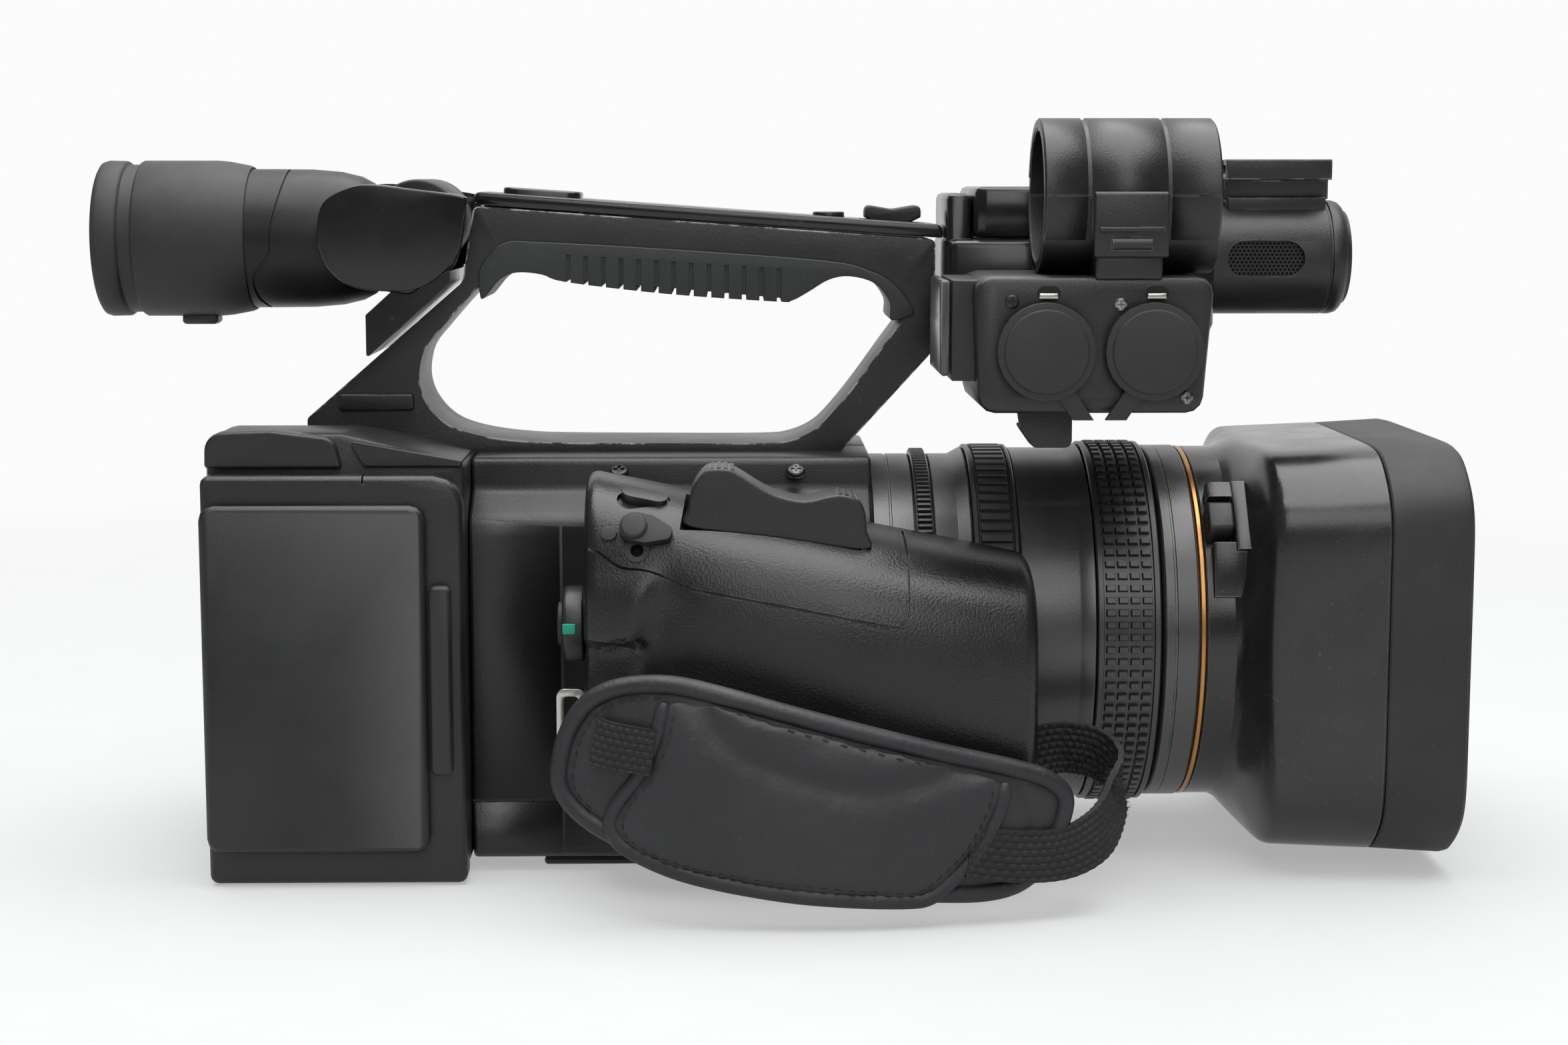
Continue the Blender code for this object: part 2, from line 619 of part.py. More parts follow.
def rounded(corners, steps=ARC_STEPS):
    """Points of a closed outline whose (u, v, radius) corners are rounded with arcs."""
    points = []
    count = len(corners)
    for i, (u, v, radius) in enumerate(corners):
        here = Vector((u, v))
        back = Vector(corners[i - 1][:2]) - here
        ahead = Vector(corners[(i + 1) % count][:2]) - here
        half = back.angle(ahead) / 2
        longest = min(back.length, ahead.length) / 2 - TINY
        reach = min(radius / math.tan(half), longest)
        if reach < TINY:
            points.append(here)
            continue
        fillet = reach * math.tan(half)
        centre = here + (back.normalized() + ahead.normalized()).normalized() * (fillet / math.sin(half))
        first = here + back.normalized() * reach - centre
        last = here + ahead.normalized() * reach - centre
        sweep = first.angle_signed(last)
        for k in range(steps + 1):
            points.append(centre + Matrix.Rotation(-sweep * k / steps, 2) @ first)
    return points


PLANES = {
    "XY": Matrix.Identity(4),
    "XZ": Matrix.Rotation(math.radians(90.0), 4, "X"),
    "YZ": Matrix(((0, 0, 1, 0), (1, 0, 0, 0), (0, 1, 0, 0), (0, 0, 0, 1))),
}
NORMALS = {"XY": Vector((0, 0, 1)), "XZ": Vector((0, 1, 0)), "YZ": Vector((1, 0, 0))}


def plate(name, plane, outlines, low, high, finish=None, edge=0.0):
    """A flat outline with its holes, extruded between two levels, with its edges rounded."""
    curve = bpy.data.curves.new(name, "CURVE")
    curve.dimensions = "2D"
    curve.fill_mode = "BOTH"
    curve.extrude = (high - low) / 2 - edge
    curve.bevel_depth = edge
    curve.bevel_resolution = 1
    curve.offset = -edge
    for points in outlines:
        spline = curve.splines.new("POLY")
        spline.points.add(len(points) - 1)
        for knot, point in zip(spline.points, points):
            knot.co = (point[0], point[1], 0.0, 1.0)
        spline.use_cyclic_u = True
    guide = bpy.data.objects.new(name + "_outline", curve)
    parts.objects.link(guide)
    mesh = evaluated_mesh(guide, name)
    mesh.transform(Matrix.Translation(NORMALS[plane] * (low + high) / 2) @ PLANES[plane])
    return add(name, mesh, finish)


def loft(name, sections, finish=None, ring=False):
    """Skin a row of loops with equal counts, capped at its ends or closed into a ring."""
    form = bmesh.new()
    rows = [[form.verts.new(point) for point in loop] for loop in sections]
    count = len(rows[0])
    pairs = list(zip(rows, rows[1:]))
    if ring:
        pairs.append((rows[-1], rows[0]))
    for one, two in pairs:
        for i in range(count):
            j = (i + 1) % count
            form.faces.new((one[i], one[j], two[j], two[i]))
    if not ring:
        form.faces.new(rows[0])
        form.faces.new(rows[-1])
    bmesh.ops.recalc_face_normals(form, faces=form.faces)
    mesh = bpy.data.meshes.new(name)
    form.to_mesh(mesh)
    form.free()
    return add(name, mesh, finish)


def shifted(points, u, v):
    return [Vector((point[0] + u, point[1] + v)) for point in points]


def rectangle(u0, v0, u1, v1, radius=0.0):
    return rounded([(u0, v0, radius), (u1, v0, radius), (u1, v1, radius), (u0, v1, radius)])


# Casing


def casing_outline(side, inset, inner):
    """One half of the casing's section in Y and Z, with the deck's step and the shoulder."""
    wide = BODY_LEFT_Y if side > 0 else BODY_RIGHT_Y
    deck = DECK_HALF_Y - inset
    top = BODY_TOP_Z - inset
    shoulder = BODY_TOP_Z - DECK_DROP - inset
    low = BODY_BOTTOM_Z + inset
    soft = max(BODY_CORNER_R - inset, LEAST_R)
    corners = [
        (side * inner, top, 0.0),
        (side * deck, top, DECK_R),
        (side * deck, shoulder, DECK_FOOT_R),
        (side * (wide - inset), BODY_TOP_Z - SHOULDER_DROP - inset, 2 * soft),
        (side * (wide - inset), low, soft),
        (side * inner, low, 0.0),
    ]
    return rounded(corners)


def build_casing():
    opening = rod("cut_lens_opening", (0.0, 0.0, LENS_Z), (BODY_FRONT_X + PAST, 0.0, LENS_Z),
                  SPIGOT_R + GAP)
    tripod = rod("cut_tripod", (TRIPOD_X, 0.0, -PAST), (TRIPOD_X, 0.0, BODY_BOTTOM_Z + PAST),
                 TRIPOD_HOLE_R, sides=PIN_STEPS)
    for name, side in (("body_shell_right", -1), ("body_shell_left", 1)):
        shell = plate(name, "YZ", [casing_outline(side, 0.0, GAP / 2)], BODY_REAR_X, BODY_FRONT_X, CASING)
        hollow = plate("cut_" + name, "YZ", [casing_outline(side, WALL, -PAST)],
                       BODY_REAR_X - PAST, BODY_FRONT_X - WALL)
        boolean(shell, hollow)
        boolean(shell, opening)
        boolean(shell, tripod)
    base = block("base_plate", (BASE_REAR_X, -BASE_HALF_Y, 0.0),
                 (BASE_FRONT_X, BASE_HALF_Y, BASE_THICKNESS), METAL, BASE_EDGE, 1)
    boolean(base, tripod)
    board_y = BODY_LEFT_Y - 3 * WALL
    block("main_board", (BODY_REAR_X + WALL, board_y, BODY_BOTTOM_Z + 4 * WALL),
          (BODY_FRONT_X - 4 * WALL, board_y + BOARD_THICKNESS, BODY_TOP_Z - SHOULDER_DROP - 4 * WALL),
          BOARD)
    half = SENSOR_HALF
    block("sensor_block", (LENS_REAR_X - SPIGOT_LENGTH - 2 * half, -half, LENS_Z - half),
          (LENS_REAR_X - SPIGOT_LENGTH - GAP, half, LENS_Z + half), METAL, SENSOR_EDGE)


def build_rear():
    front = BODY_REAR_X - GAP
    side = rounded([
        (REAR_X, BODY_BOTTOM_Z, REAR_CORNER_R), (REAR_X, REAR_TOP_Z, REAR_CORNER_R),
        (REAR_HUMP_X, REAR_TOP_Z, REAR_HUMP_R), (front, REAR_FRONT_TOP_Z, REAR_SEAM_R),
        (front, BODY_BOTTOM_Z, REAR_SEAM_R),
    ])
    housing = plate("rear_housing", "XZ", [side], -REAR_RIGHT_Y, BODY_LEFT_Y, CASING, REAR_EDGE)
    left_in = BODY_LEFT_Y - WALL
    boolean(housing, block("cut_rear_hollow", (REAR_X + BATTERY_DEPTH + 2 * WALL, -DECK_HALF_Y, 5 * WALL),
                           (front + PAST, left_in, REAR_LEFT_TOP_Z - 2 * WALL)))
    boolean(housing, block("cut_battery_bay", (REAR_X - PAST, -BATTERY_HALF_Y, BATTERY_BOTTOM_Z),
                           (REAR_X + BATTERY_DEPTH, BATTERY_HALF_Y, BATTERY_TOP_Z)))
    slope = plate("cut_rear_slope", "YZ", [[
        Vector((REAR_SLOPE_Y, REAR_TOP_Z)), Vector((BODY_LEFT_Y + PAST, REAR_LEFT_TOP_Z)),
        Vector((BODY_LEFT_Y + PAST, REAR_TOP_Z + PAST)), Vector((REAR_SLOPE_Y, REAR_TOP_Z + PAST))]],
        REAR_X - PAST, front + PAST)
    boolean(housing, slope)
    tail = handle_clearance()
    boolean(housing, tail)
    bay_front_y = -REAR_RIGHT_Y - GAP
    face_y = bay_front_y - BAY_DEPTH
    opening = (REAR_X + BAY_BORDER, DOOR_BOTTOM_Z + BAY_BORDER / 2, DOOR_FRONT_X - BAY_BORDER / 2,
               DOOR_TOP_Z - BAY_BORDER / 2)
    boolean(housing, block("cut_media", (opening[0], -REAR_RIGHT_Y - PAST, opening[1]),
                           (opening[2], -REAR_RIGHT_Y + MEDIA_DEPTH / 3, opening[3])))
    plate("media_bay", "XZ", [
        rounded([(REAR_X, 0.0, BAY_R), (REAR_X, BAY_TOP_Z, BAY_R), (front, BAY_TOP_Z, BAY_FRONT_R),
                 (front, 0.0, BAY_R)]),
        rectangle(*opening, BAY_R)], face_y, bay_front_y, CASING, BAY_EDGE)
    door_y = face_y - GAP
    half = DOOR_THICKNESS / 2
    door = plate("media_door", "XZ",
                 [rectangle(REAR_X, DOOR_BOTTOM_Z, DOOR_FRONT_X, DOOR_TOP_Z, DOOR_R)],
                 door_y - DOOR_THICKNESS, door_y, CASING, DOOR_EDGE)
    set_origin(door, (REAR_X + half, door_y - half, (DOOR_BOTTOM_Z + DOOR_TOP_Z) / 2))
    tab = plate("door_latch", "XZ", [rectangle(DOOR_FRONT_X + GAP + RUN, LATCH_BOTTOM_Z,
                                               DOOR_FRONT_X + LATCH_LENGTH, LATCH_TOP_Z, LATCH_R)],
                door_y - DOOR_THICKNESS, door_y, CASING, LATCH_EDGE)
    set_origin(tab, (DOOR_FRONT_X, door_y, (LATCH_BOTTOM_Z + LATCH_TOP_Z) / 2))
    plate_front = REAR_X + BATTERY_DEPTH - GAP
    holder = block("battery_plate",
                   (plate_front - PLATE_THICKNESS, -BATTERY_HALF_Y + GAP, BATTERY_BOTTOM_Z + GAP),
                   (plate_front, BATTERY_HALF_Y - GAP, BATTERY_TOP_Z - GAP), CASING)
    for way in (-1, 1):
        rail = block(f"join_rail_{way}", (plate_front - 2 * PLATE_THICKNESS, way * RAIL_Y - PLATE_THICKNESS,
                                          BATTERY_BOTTOM_Z + BAY_BORDER),
                     (plate_front - PLATE_THICKNESS / 2, way * RAIL_Y + PLATE_THICKNESS,
                      BATTERY_TOP_Z - BAY_BORDER))
        boolean(holder, rail, "UNION")


# Handle


def handle_clearance():
    """The handle's tail grown by a clearance, to seat it in the rear housing's top."""
    room = rectangle(HANDLE_TAIL_X - GAP, HANDLE_BASE_Z - GAP, BODY_REAR_X + PAST, REAR_TOP_Z + PAST)
    return plate("cut_handle_tail", "XZ", [room], -HANDLE_HALF_Y - GAP, HANDLE_HALF_Y + GAP)


def top_line(x):
    """Height of the handle frame's top edge at x."""
    along = (x - HANDLE_REAR_X) / (HANDLE_FRONT_X - HANDLE_REAR_X)
    return HANDLE_REAR_Z + (HANDLE_FRONT_Z - HANDLE_REAR_Z) * along


def build_handle():
    outer = rounded([
        (HANDLE_REAR_X, HANDLE_REAR_Z, HANDLE_TOP_R),
        (HANDLE_BACK_X, HANDLE_BACK_Z, HANDLE_BACK_R),
        (HANDLE_TAIL_X, REAR_TOP_Z + HANDLE_TAIL_RISE, HANDLE_TAIL_R),
        (HANDLE_TAIL_X, HANDLE_BASE_Z, HANDLE_TAIL_R),
        (HANDLE_FOOT_X, HANDLE_BASE_Z, HANDLE_FOOT_R),
        (HANDLE_FRONT_X, HANDLE_NOSE_Z, HANDLE_NOSE_R),
        (HANDLE_FRONT_X, HANDLE_FRONT_Z, HANDLE_TOP_R),
    ])
    loop = rounded([
        (LOOP_REAR_X, LOOP_REAR_Z, LOOP_REAR_R),
        (LOOP_SHOULDER_X, PAD_TOP_Z - LOOP_SHOULDER_DROP, LOOP_TOP_R),
        (PAD_REAR_X, PAD_TOP_Z, LOOP_SEAT_R),
        (PAD_FRONT_X, PAD_TOP_Z - PAD_FALL, LOOP_SEAT_R),
        (LOOP_FRONT_X, PAD_TOP_Z - LOOP_FRONT_DROP, LOOP_TOP_R),
        (LOOP_NOSE_X, PAD_TOP_Z - LOOP_NOSE_DROP, LOOP_NOSE_R),
        (LOOP_FOOT_X, LOOP_FLOOR_Z, LOOP_FOOT_R),
        (LOOP_HEEL_X, LOOP_FLOOR_Z, LOOP_HEEL_R),
    ])
    plate("handle_frame", "XZ", [outer, loop], -HANDLE_HALF_Y, HANDLE_HALF_Y, CAST, HANDLE_EDGE)
    cover_front = HANDLE_FRONT_X + COVER_THICKNESS / 2
    cover = plate("handle_top_cover", "XZ", [rounded([
        (HANDLE_REAR_X, HANDLE_REAR_Z + GAP, COVER_SEAM_R),
        (HANDLE_REAR_X, HANDLE_REAR_Z + COVER_THICKNESS, COVER_R),
        (cover_front, HANDLE_FRONT_Z + COVER_THICKNESS, COVER_R),
        (cover_front, HANDLE_FRONT_Z + GAP, COVER_SEAM_R)])],
        -HANDLE_HALF_Y, HANDLE_HALF_Y, GLOSS, COVER_EDGE)
    pad_side = HANDLE_HALF_Y + PAD_OVERHANG
    plate("handle_grip", "XZ", [rounded([
        (PAD_REAR_X, PAD_TOP_Z - GAP, COVER_SEAM_R),
        (PAD_FRONT_X, PAD_TOP_Z - PAD_FALL - GAP, COVER_SEAM_R),
        (PAD_FRONT_X - PAD_TAPER, PAD_TOP_Z - PAD_FALL - PAD_THICKNESS, PAD_R),
        (PAD_REAR_X + PAD_TAPER, PAD_TOP_Z - PAD_THICKNESS, PAD_R)])],
        -pad_side, pad_side, RUBBER, PAD_EDGE)
    build_handle_controls(cover)


def build_handle_controls(cover):
    """The zoom lever and the record button, each in its own pocket of the handle's cover."""
    level = top_line(LEVER_X) + COVER_THICKNESS
    room = LEVER_HALF_X + LEVER_ROOM
    boolean(cover, block("cut_handle_lever", (LEVER_X - room, -LEVER_HALF_Y - RUN, level - LEVER_POCKET),
                         (LEVER_X + room, LEVER_HALF_Y + RUN, level + PAST)))
    lever = plate("handle_zoom_lever", "XZ", [rounded([
        (LEVER_X - LEVER_HALF_X, level + LEVER_WING_Z, LEVER_EDGE),
        (LEVER_X - LEVER_HALF_X, level + LEVER_TIP_Z, LEVER_TIP_R),
        (LEVER_X, level + LEVER_DISH_Z, LEVER_DISH_R),
        (LEVER_X + LEVER_HALF_X, level + LEVER_TIP_Z, LEVER_TIP_R),
        (LEVER_X + LEVER_HALF_X, level + LEVER_WING_Z, LEVER_EDGE),
        (LEVER_X + LEVER_STEM_HALF, level - LEVER_STEM_SINK, LEVER_EDGE),
        (LEVER_X - LEVER_STEM_HALF, level - LEVER_STEM_SINK, LEVER_EDGE)])],
        -LEVER_HALF_Y, LEVER_HALF_Y, RUBBER, LEVER_EDGE)
    set_origin(lever, (LEVER_X, 0.0, level))
    level = top_line(TOP_BUTTON_X) + COVER_THICKNESS
    boolean(cover, rod("cut_handle_button", (TOP_BUTTON_X, 0.0, level - 2 * BUTTON_RISE),
                       (TOP_BUTTON_X, 0.0, level + PAST), TOP_BUTTON_R + RUN))
    button = rod("handle_rec_button", (TOP_BUTTON_X, 0.0, level - BUTTON_RISE),
                 (TOP_BUTTON_X, 0.0, level + BUTTON_RISE), TOP_BUTTON_R, RUBBER)
    set_origin(button, (TOP_BUTTON_X, 0.0, level))


# Viewfinder


def build_viewfinder():
    axis = Vector((0.0, 0.0, EVF_Z))
    pivot = EVF_PIVOT
    step_x = EVF_NOSE_X - EVF_NOSE_STEP
    tube = turned("evf_tube", [
        (EVF_REAR_X, EVF_R), (step_x, EVF_R), (EVF_NOSE_X, EVF_R - EVF_NOSE_DROP),
        (EVF_NOSE_X + EVF_TIP, EVF_R - EVF_TIP_DROP)], [], axis, GLOSS)
    reach = Vector((0.0, FORK_INNER_Y - RUN, 0.0))
    boolean(tube, rod("join_evf_hub", pivot - reach, pivot + reach, EVF_BARREL_R, sides=SMALL_STEPS), "UNION")
    boolean(tube, block("join_evf_web", (EVF_NOSE_X - EVF_WEB_LAP, -EVF_WEB_HALF_Y, EVF_Z - EVF_WEB_DROP),
                        (pivot.x, EVF_WEB_HALF_Y, pivot.z + EVF_BARREL_R - EVF_WEB_STEP)), "UNION")
    boolean(tube, turned("cut_evf_bore", [(EVF_REAR_X - PAST, EVF_R - EVF_WALL), (step_x, EVF_R - EVF_WALL)],
                         [], axis))
    through = Vector((0.0, FORK_OUTER_Y + PAST, 0.0))
    boolean(tube, rod("cut_evf_pin", pivot - through, pivot + through, EVF_PIN_R + RUN, sides=PIN_STEPS))
    pin_end = Vector((0.0, FORK_OUTER_Y - GAP, 0.0))
    rod("evf_hinge_pin", pivot - pin_end, pivot + pin_end, EVF_PIN_R, METAL, PIN_STEPS)
    build_eyepiece(axis)
    block("evf_screen", (step_x - GAP - EVF_SCREEN_THICKNESS, -EVF_SCREEN_HALF, EVF_Z - EVF_SCREEN_HALF),
          (step_x - GAP, EVF_SCREEN_HALF, EVF_Z + EVF_SCREEN_HALF), GLASS)
    tilting = bpy.data.objects.new("evf_joint", None)
    parts.objects.link(tilting)
    tilting.location = pivot
    for moving in ("evf_tube", "eyecup", "eyepiece_lens", "evf_screen", "diopter_lever"):
        child = bpy.data.objects[moving]
        child.parent = tilting
        child.matrix_parent_inverse = Matrix.Translation(-pivot)
    build_fork()


def build_eyepiece(axis):
    """The rubber eyecup with its lens, and the dioptre lever in a notch under it."""
    front = EVF_REAR_X - GAP
    glass_x = front - EYE_GLASS_SET
    rim = EYE_GLASS_R - EYE_GLASS_RIM
    groove_x = EYECUP_X + EYECUP_LIP
    groove = EYECUP_R - EYECUP_GROOVE_DEPTH
    cup = turned("eyecup", [
        (EYECUP_X, EYECUP_R - EYECUP_EDGE), (EYECUP_X + EYECUP_EDGE, EYECUP_R), (groove_x, EYECUP_R),
        (groove_x + EYECUP_GROOVE_DEPTH, groove), (groove_x + EYECUP_GROOVE - EYECUP_GROOVE_DEPTH, groove),
        (groove_x + EYECUP_GROOVE, EYECUP_R), (front - EYECUP_EDGE, EYECUP_R),
        (front, EYECUP_R - EYECUP_EDGE)],
        [(EYECUP_X, EYECUP_R - EYECUP_WALL), (glass_x - EYE_RIM_LENGTH, rim), (glass_x - GAP, rim),
         (glass_x - GAP, EYE_GLASS_R + GAP), (front, EYE_GLASS_R + GAP)], axis, RUBBER)
    turned("eyepiece_lens", [
        (glass_x, EYE_GLASS_R - EYE_GLASS_EDGE), (glass_x + EYE_GLASS_EDGE, EYE_GLASS_R),
        (glass_x + EYE_GLASS_THICKNESS - EYE_GLASS_EDGE, EYE_GLASS_R),
        (glass_x + EYE_GLASS_THICKNESS, EYE_GLASS_R - EYE_GLASS_CROWN)], [], axis, GLASS)
    lever_x = front - EYECUP_EDGE - DIOPTER_LENGTH
    under = EVF_Z - EYECUP_R
    boolean(cup, block("cut_diopter_notch", (lever_x - RUN, -DIOPTER_ROOM_HALF, under - PAST),
                       (lever_x + DIOPTER_LENGTH + RUN, DIOPTER_ROOM_HALF, under + 2 * DIOPTER_SINK)))
    lever = block("diopter_lever", (lever_x, -DIOPTER_HALF_Y, under - DIOPTER_RISE),
                  (lever_x + DIOPTER_LENGTH, DIOPTER_HALF_Y, under + DIOPTER_SINK), RUBBER, DIOPTER_EDGE, 1)
    set_origin(lever, axis + Vector((lever_x, 0.0, 0.0)))


def build_fork():
    """The two cheeks that carry the viewfinder's pin, on a bridge behind the handle."""
    seat = FORK_SEAT_X
    cheek = rounded([
        (FORK_REAR_X, EVF_PIVOT.z + FORK_REAR_RISE, FORK_R),
        (FORK_REAR_X + FORK_CREST, EVF_PIVOT.z + FORK_CREST_RISE, FORK_SMALL_R),
        (seat - FORK_FRONT_SET, EVF_PIVOT.z + FORK_FRONT_RISE, FORK_FRONT_SET),
        (seat - FORK_THROAT_SET, EVF_Z - FORK_THROAT_DROP, FORK_SMALL_R),
        (seat - FORK_HEEL_SET, EVF_Z - FORK_HEEL_DROP, FORK_SMALL_R),
        (FORK_REAR_X + FORK_TAIL_SET, EVF_Z - FORK_TAIL_DROP, FORK_R),
    ])
    fork = plate("evf_fork", "XZ", [cheek], -FORK_OUTER_Y, -FORK_INNER_Y, CAST, FORK_EDGE)
    twin = plate("join_fork_cheek", "XZ", [cheek], FORK_INNER_Y, FORK_OUTER_Y, None, FORK_EDGE)
    top = EVF_PIVOT.z - EVF_BARREL_R - BRIDGE_TOP
    post_x = seat - BRIDGE_POST_SET
    bridge = plate("join_fork_bridge", "XZ", [rounded([
        (seat - BRIDGE_SET, top, BRIDGE_R), (seat - BRIDGE_SET, top - BRIDGE_DEPTH, BRIDGE_R),
        (post_x, top + BRIDGE_TOP - BRIDGE_POST_DROP, BRIDGE_R),
        (post_x, EVF_Z - EVF_R - BRIDGE_MARGIN, BRIDGE_R), (seat - BRIDGE_LEAN_SET, top, BRIDGE_R)])],
        -FORK_OUTER_Y + BRIDGE_MARGIN, FORK_OUTER_Y - BRIDGE_MARGIN)
    boolean(fork, twin, "UNION")
    boolean(fork, bridge, "UNION")
    pin_end = Vector((0.0, FORK_OUTER_Y - GAP / 2, 0.0))
    boolean(fork, rod("cut_fork_pin", EVF_PIVOT - pin_end, EVF_PIVOT + pin_end, EVF_PIN_R + GAP,
                      sides=PIN_STEPS))


# Front housing and what it carries


def build_front():
    housing = block("front_housing", (FRONT_REAR_X, -FRONT_RIGHT_Y, FRONT_BOTTOM_Z),
                    (FRONT_END_X, FRONT_LEFT_Y, FRONT_TOP_Z), CASING, FRONT_EDGE)
    step = block("join_front_step", (FRONT_REAR_X, -FRONT_STEP_HALF, FRONT_TOP_Z - 2 * WALL),
                 (LCD_X[0] - RUN, FRONT_STEP_HALF, FRONT_TOP_Z + FRONT_STEP_RISE), None, FRONT_STEP_EDGE)
    boolean(housing, step, "UNION")
    low = FRONT_TOP_Z + GAP
    pivot = Vector((sum(LCD_X) / 2, LCD_PIVOT_Y, low + LCD_HEIGHT / 2))
    knuckle = LCD_KNUCKLE_R
    panel = plate("lcd_panel", "XY", [rectangle(LCD_X[0], -LCD_RIGHT_Y, LCD_X[1], LCD_LEFT_Y, LCD_R)],
                  low, low + LCD_HEIGHT, GLOSS, LCD_EDGE)
    root_y = LCD_LEFT_Y - LCD_KNUCKLE_LAP
    boolean(panel, plate("join_lcd_knuckle", "YZ", [rounded([
        (root_y, pivot.z - knuckle, 0.0), (pivot.y + knuckle, pivot.z - knuckle, LCD_KNUCKLE_SOFT),
        (pivot.y + knuckle, pivot.z + knuckle, LCD_KNUCKLE_SOFT), (root_y, pivot.z + knuckle, 0.0)])],
        LCD_X[0] + LCD_EAR + RUN, LCD_X[1] - LCD_EAR - RUN), "UNION")
    for end, ear in ((LCD_X[0], LCD_EAR), (LCD_X[1], -LCD_EAR)):
        boolean(housing, plate(f"join_lcd_ear_{end:.3f}", "YZ", [rounded([
            (FRONT_LEFT_Y - 2 * WALL, FRONT_TOP_Z - 3 * WALL, 0.0),
            (pivot.y + knuckle, FRONT_TOP_Z - WALL, LCD_EAR_R),
            (pivot.y + knuckle, pivot.z + knuckle, LCD_KNUCKLE_SOFT),
            (pivot.y - knuckle, pivot.z + knuckle, LCD_KNUCKLE_SOFT),
            (pivot.y - knuckle, FRONT_TOP_Z - WALL, 0.0)])], *sorted((end, end + ear))), "UNION")
        boolean(housing, rod(f"join_lcd_stub_{end:.3f}", (end + ear / 2, pivot.y, pivot.z),
                             (end + 2 * ear, pivot.y, pivot.z), LCD_STUB_R, sides=PIN_STEPS), "UNION")
        boolean(panel, rod(f"cut_lcd_stub_{end:.3f}", (end, pivot.y, pivot.z),
                           (end + 2.5 * ear, pivot.y, pivot.z), LCD_STUB_R + RUN, sides=PIN_STEPS))
    near = (LCD_X[0] + SCREEN_BORDER, -LCD_RIGHT_Y + SCREEN_BORDER)
    far = (LCD_X[1] - SCREEN_BORDER, LCD_LEFT_Y - SCREEN_BORDER)
    boolean(panel, block("cut_lcd_recess", (near[0] - GAP, near[1] - GAP, low - PAST),
                         (far[0] + GAP, far[1] + GAP, low + SCREEN_THICKNESS + GAP)))
    screen = block("lcd_screen", (*near, low + GAP), (*far, low + SCREEN_THICKNESS), GLASS)
    set_origin(panel, pivot)
    set_origin(screen, pivot)


def build_microphone():
    axis = Vector((0.0, 0.0, MIC_Z))
    rear = FRONT_END_X + GAP
    tube = turned("mic_housing", [
        (rear, MIC_R - MIC_EDGE), (rear + MIC_EDGE, MIC_R), (MIC_FRONT_X - MIC_NOSE, MIC_R),
        (MIC_FRONT_X - MIC_NOSE_STEP, MIC_R - MIC_NOSE_DROP), (MIC_FRONT_X, MIC_R - MIC_FACE_DROP)],
        [], axis, CASING)
    flat = MIC_R - MIC_FLAT
    stadium = rectangle(-GRILLE_HALF_X, -GRILLE_HALF_Z, GRILLE_HALF_X, GRILLE_HALF_Z, GRILLE_HALF_Z)
    grown = rectangle(-GRILLE_HALF_X - GAP, -GRILLE_HALF_Z - GAP, GRILLE_HALF_X + GAP,
                      GRILLE_HALF_Z + GAP, GRILLE_HALF_Z + GAP)
    for name, side in (("mic_grille_right", -1), ("mic_grille_left", 1)):
        levels = sorted((side * (flat - GRILLE_THICKNESS), side * flat))
        plate(name, "XZ", [shifted(stadium, GRILLE_X, MIC_Z)], *levels, METAL)
        depth = sorted((side * (flat - GRILLE_THICKNESS - GAP), side * (flat + PAST)))
        boolean(tube, plate("cut_" + name, "XZ", [shifted(grown, GRILLE_X, MIC_Z)], *depth))
    lift = SHOE_TOP_Z - SHOE_PLATE
    slot = lift - SHOE_SLOT_HEIGHT
    foot = slot - SHOE_PLATE
    half = SHOE_SLOT_HALF + SHOE_PLATE
    lip = SHOE_SLOT_HALF - SHOE_LIP
    stem = half * SHOE_STEM
    right = [(stem, MIC_Z + MIC_R + GAP, 0.0), (stem, foot, 0.0), (half, foot, 0.0),
             (half, SHOE_TOP_Z, SHOE_EDGE_R), (lip, SHOE_TOP_Z, SHOE_LIP_R), (lip, lift, SHOE_LIP_R),
             (SHOE_SLOT_HALF, lift, 0.0), (SHOE_SLOT_HALF, slot, 0.0)]
    left = [(-y, z, radius) for y, z, radius in reversed(right)]
    plate("accessory_shoe", "YZ", [rounded(right + left)], *SHOE_X, CAST)


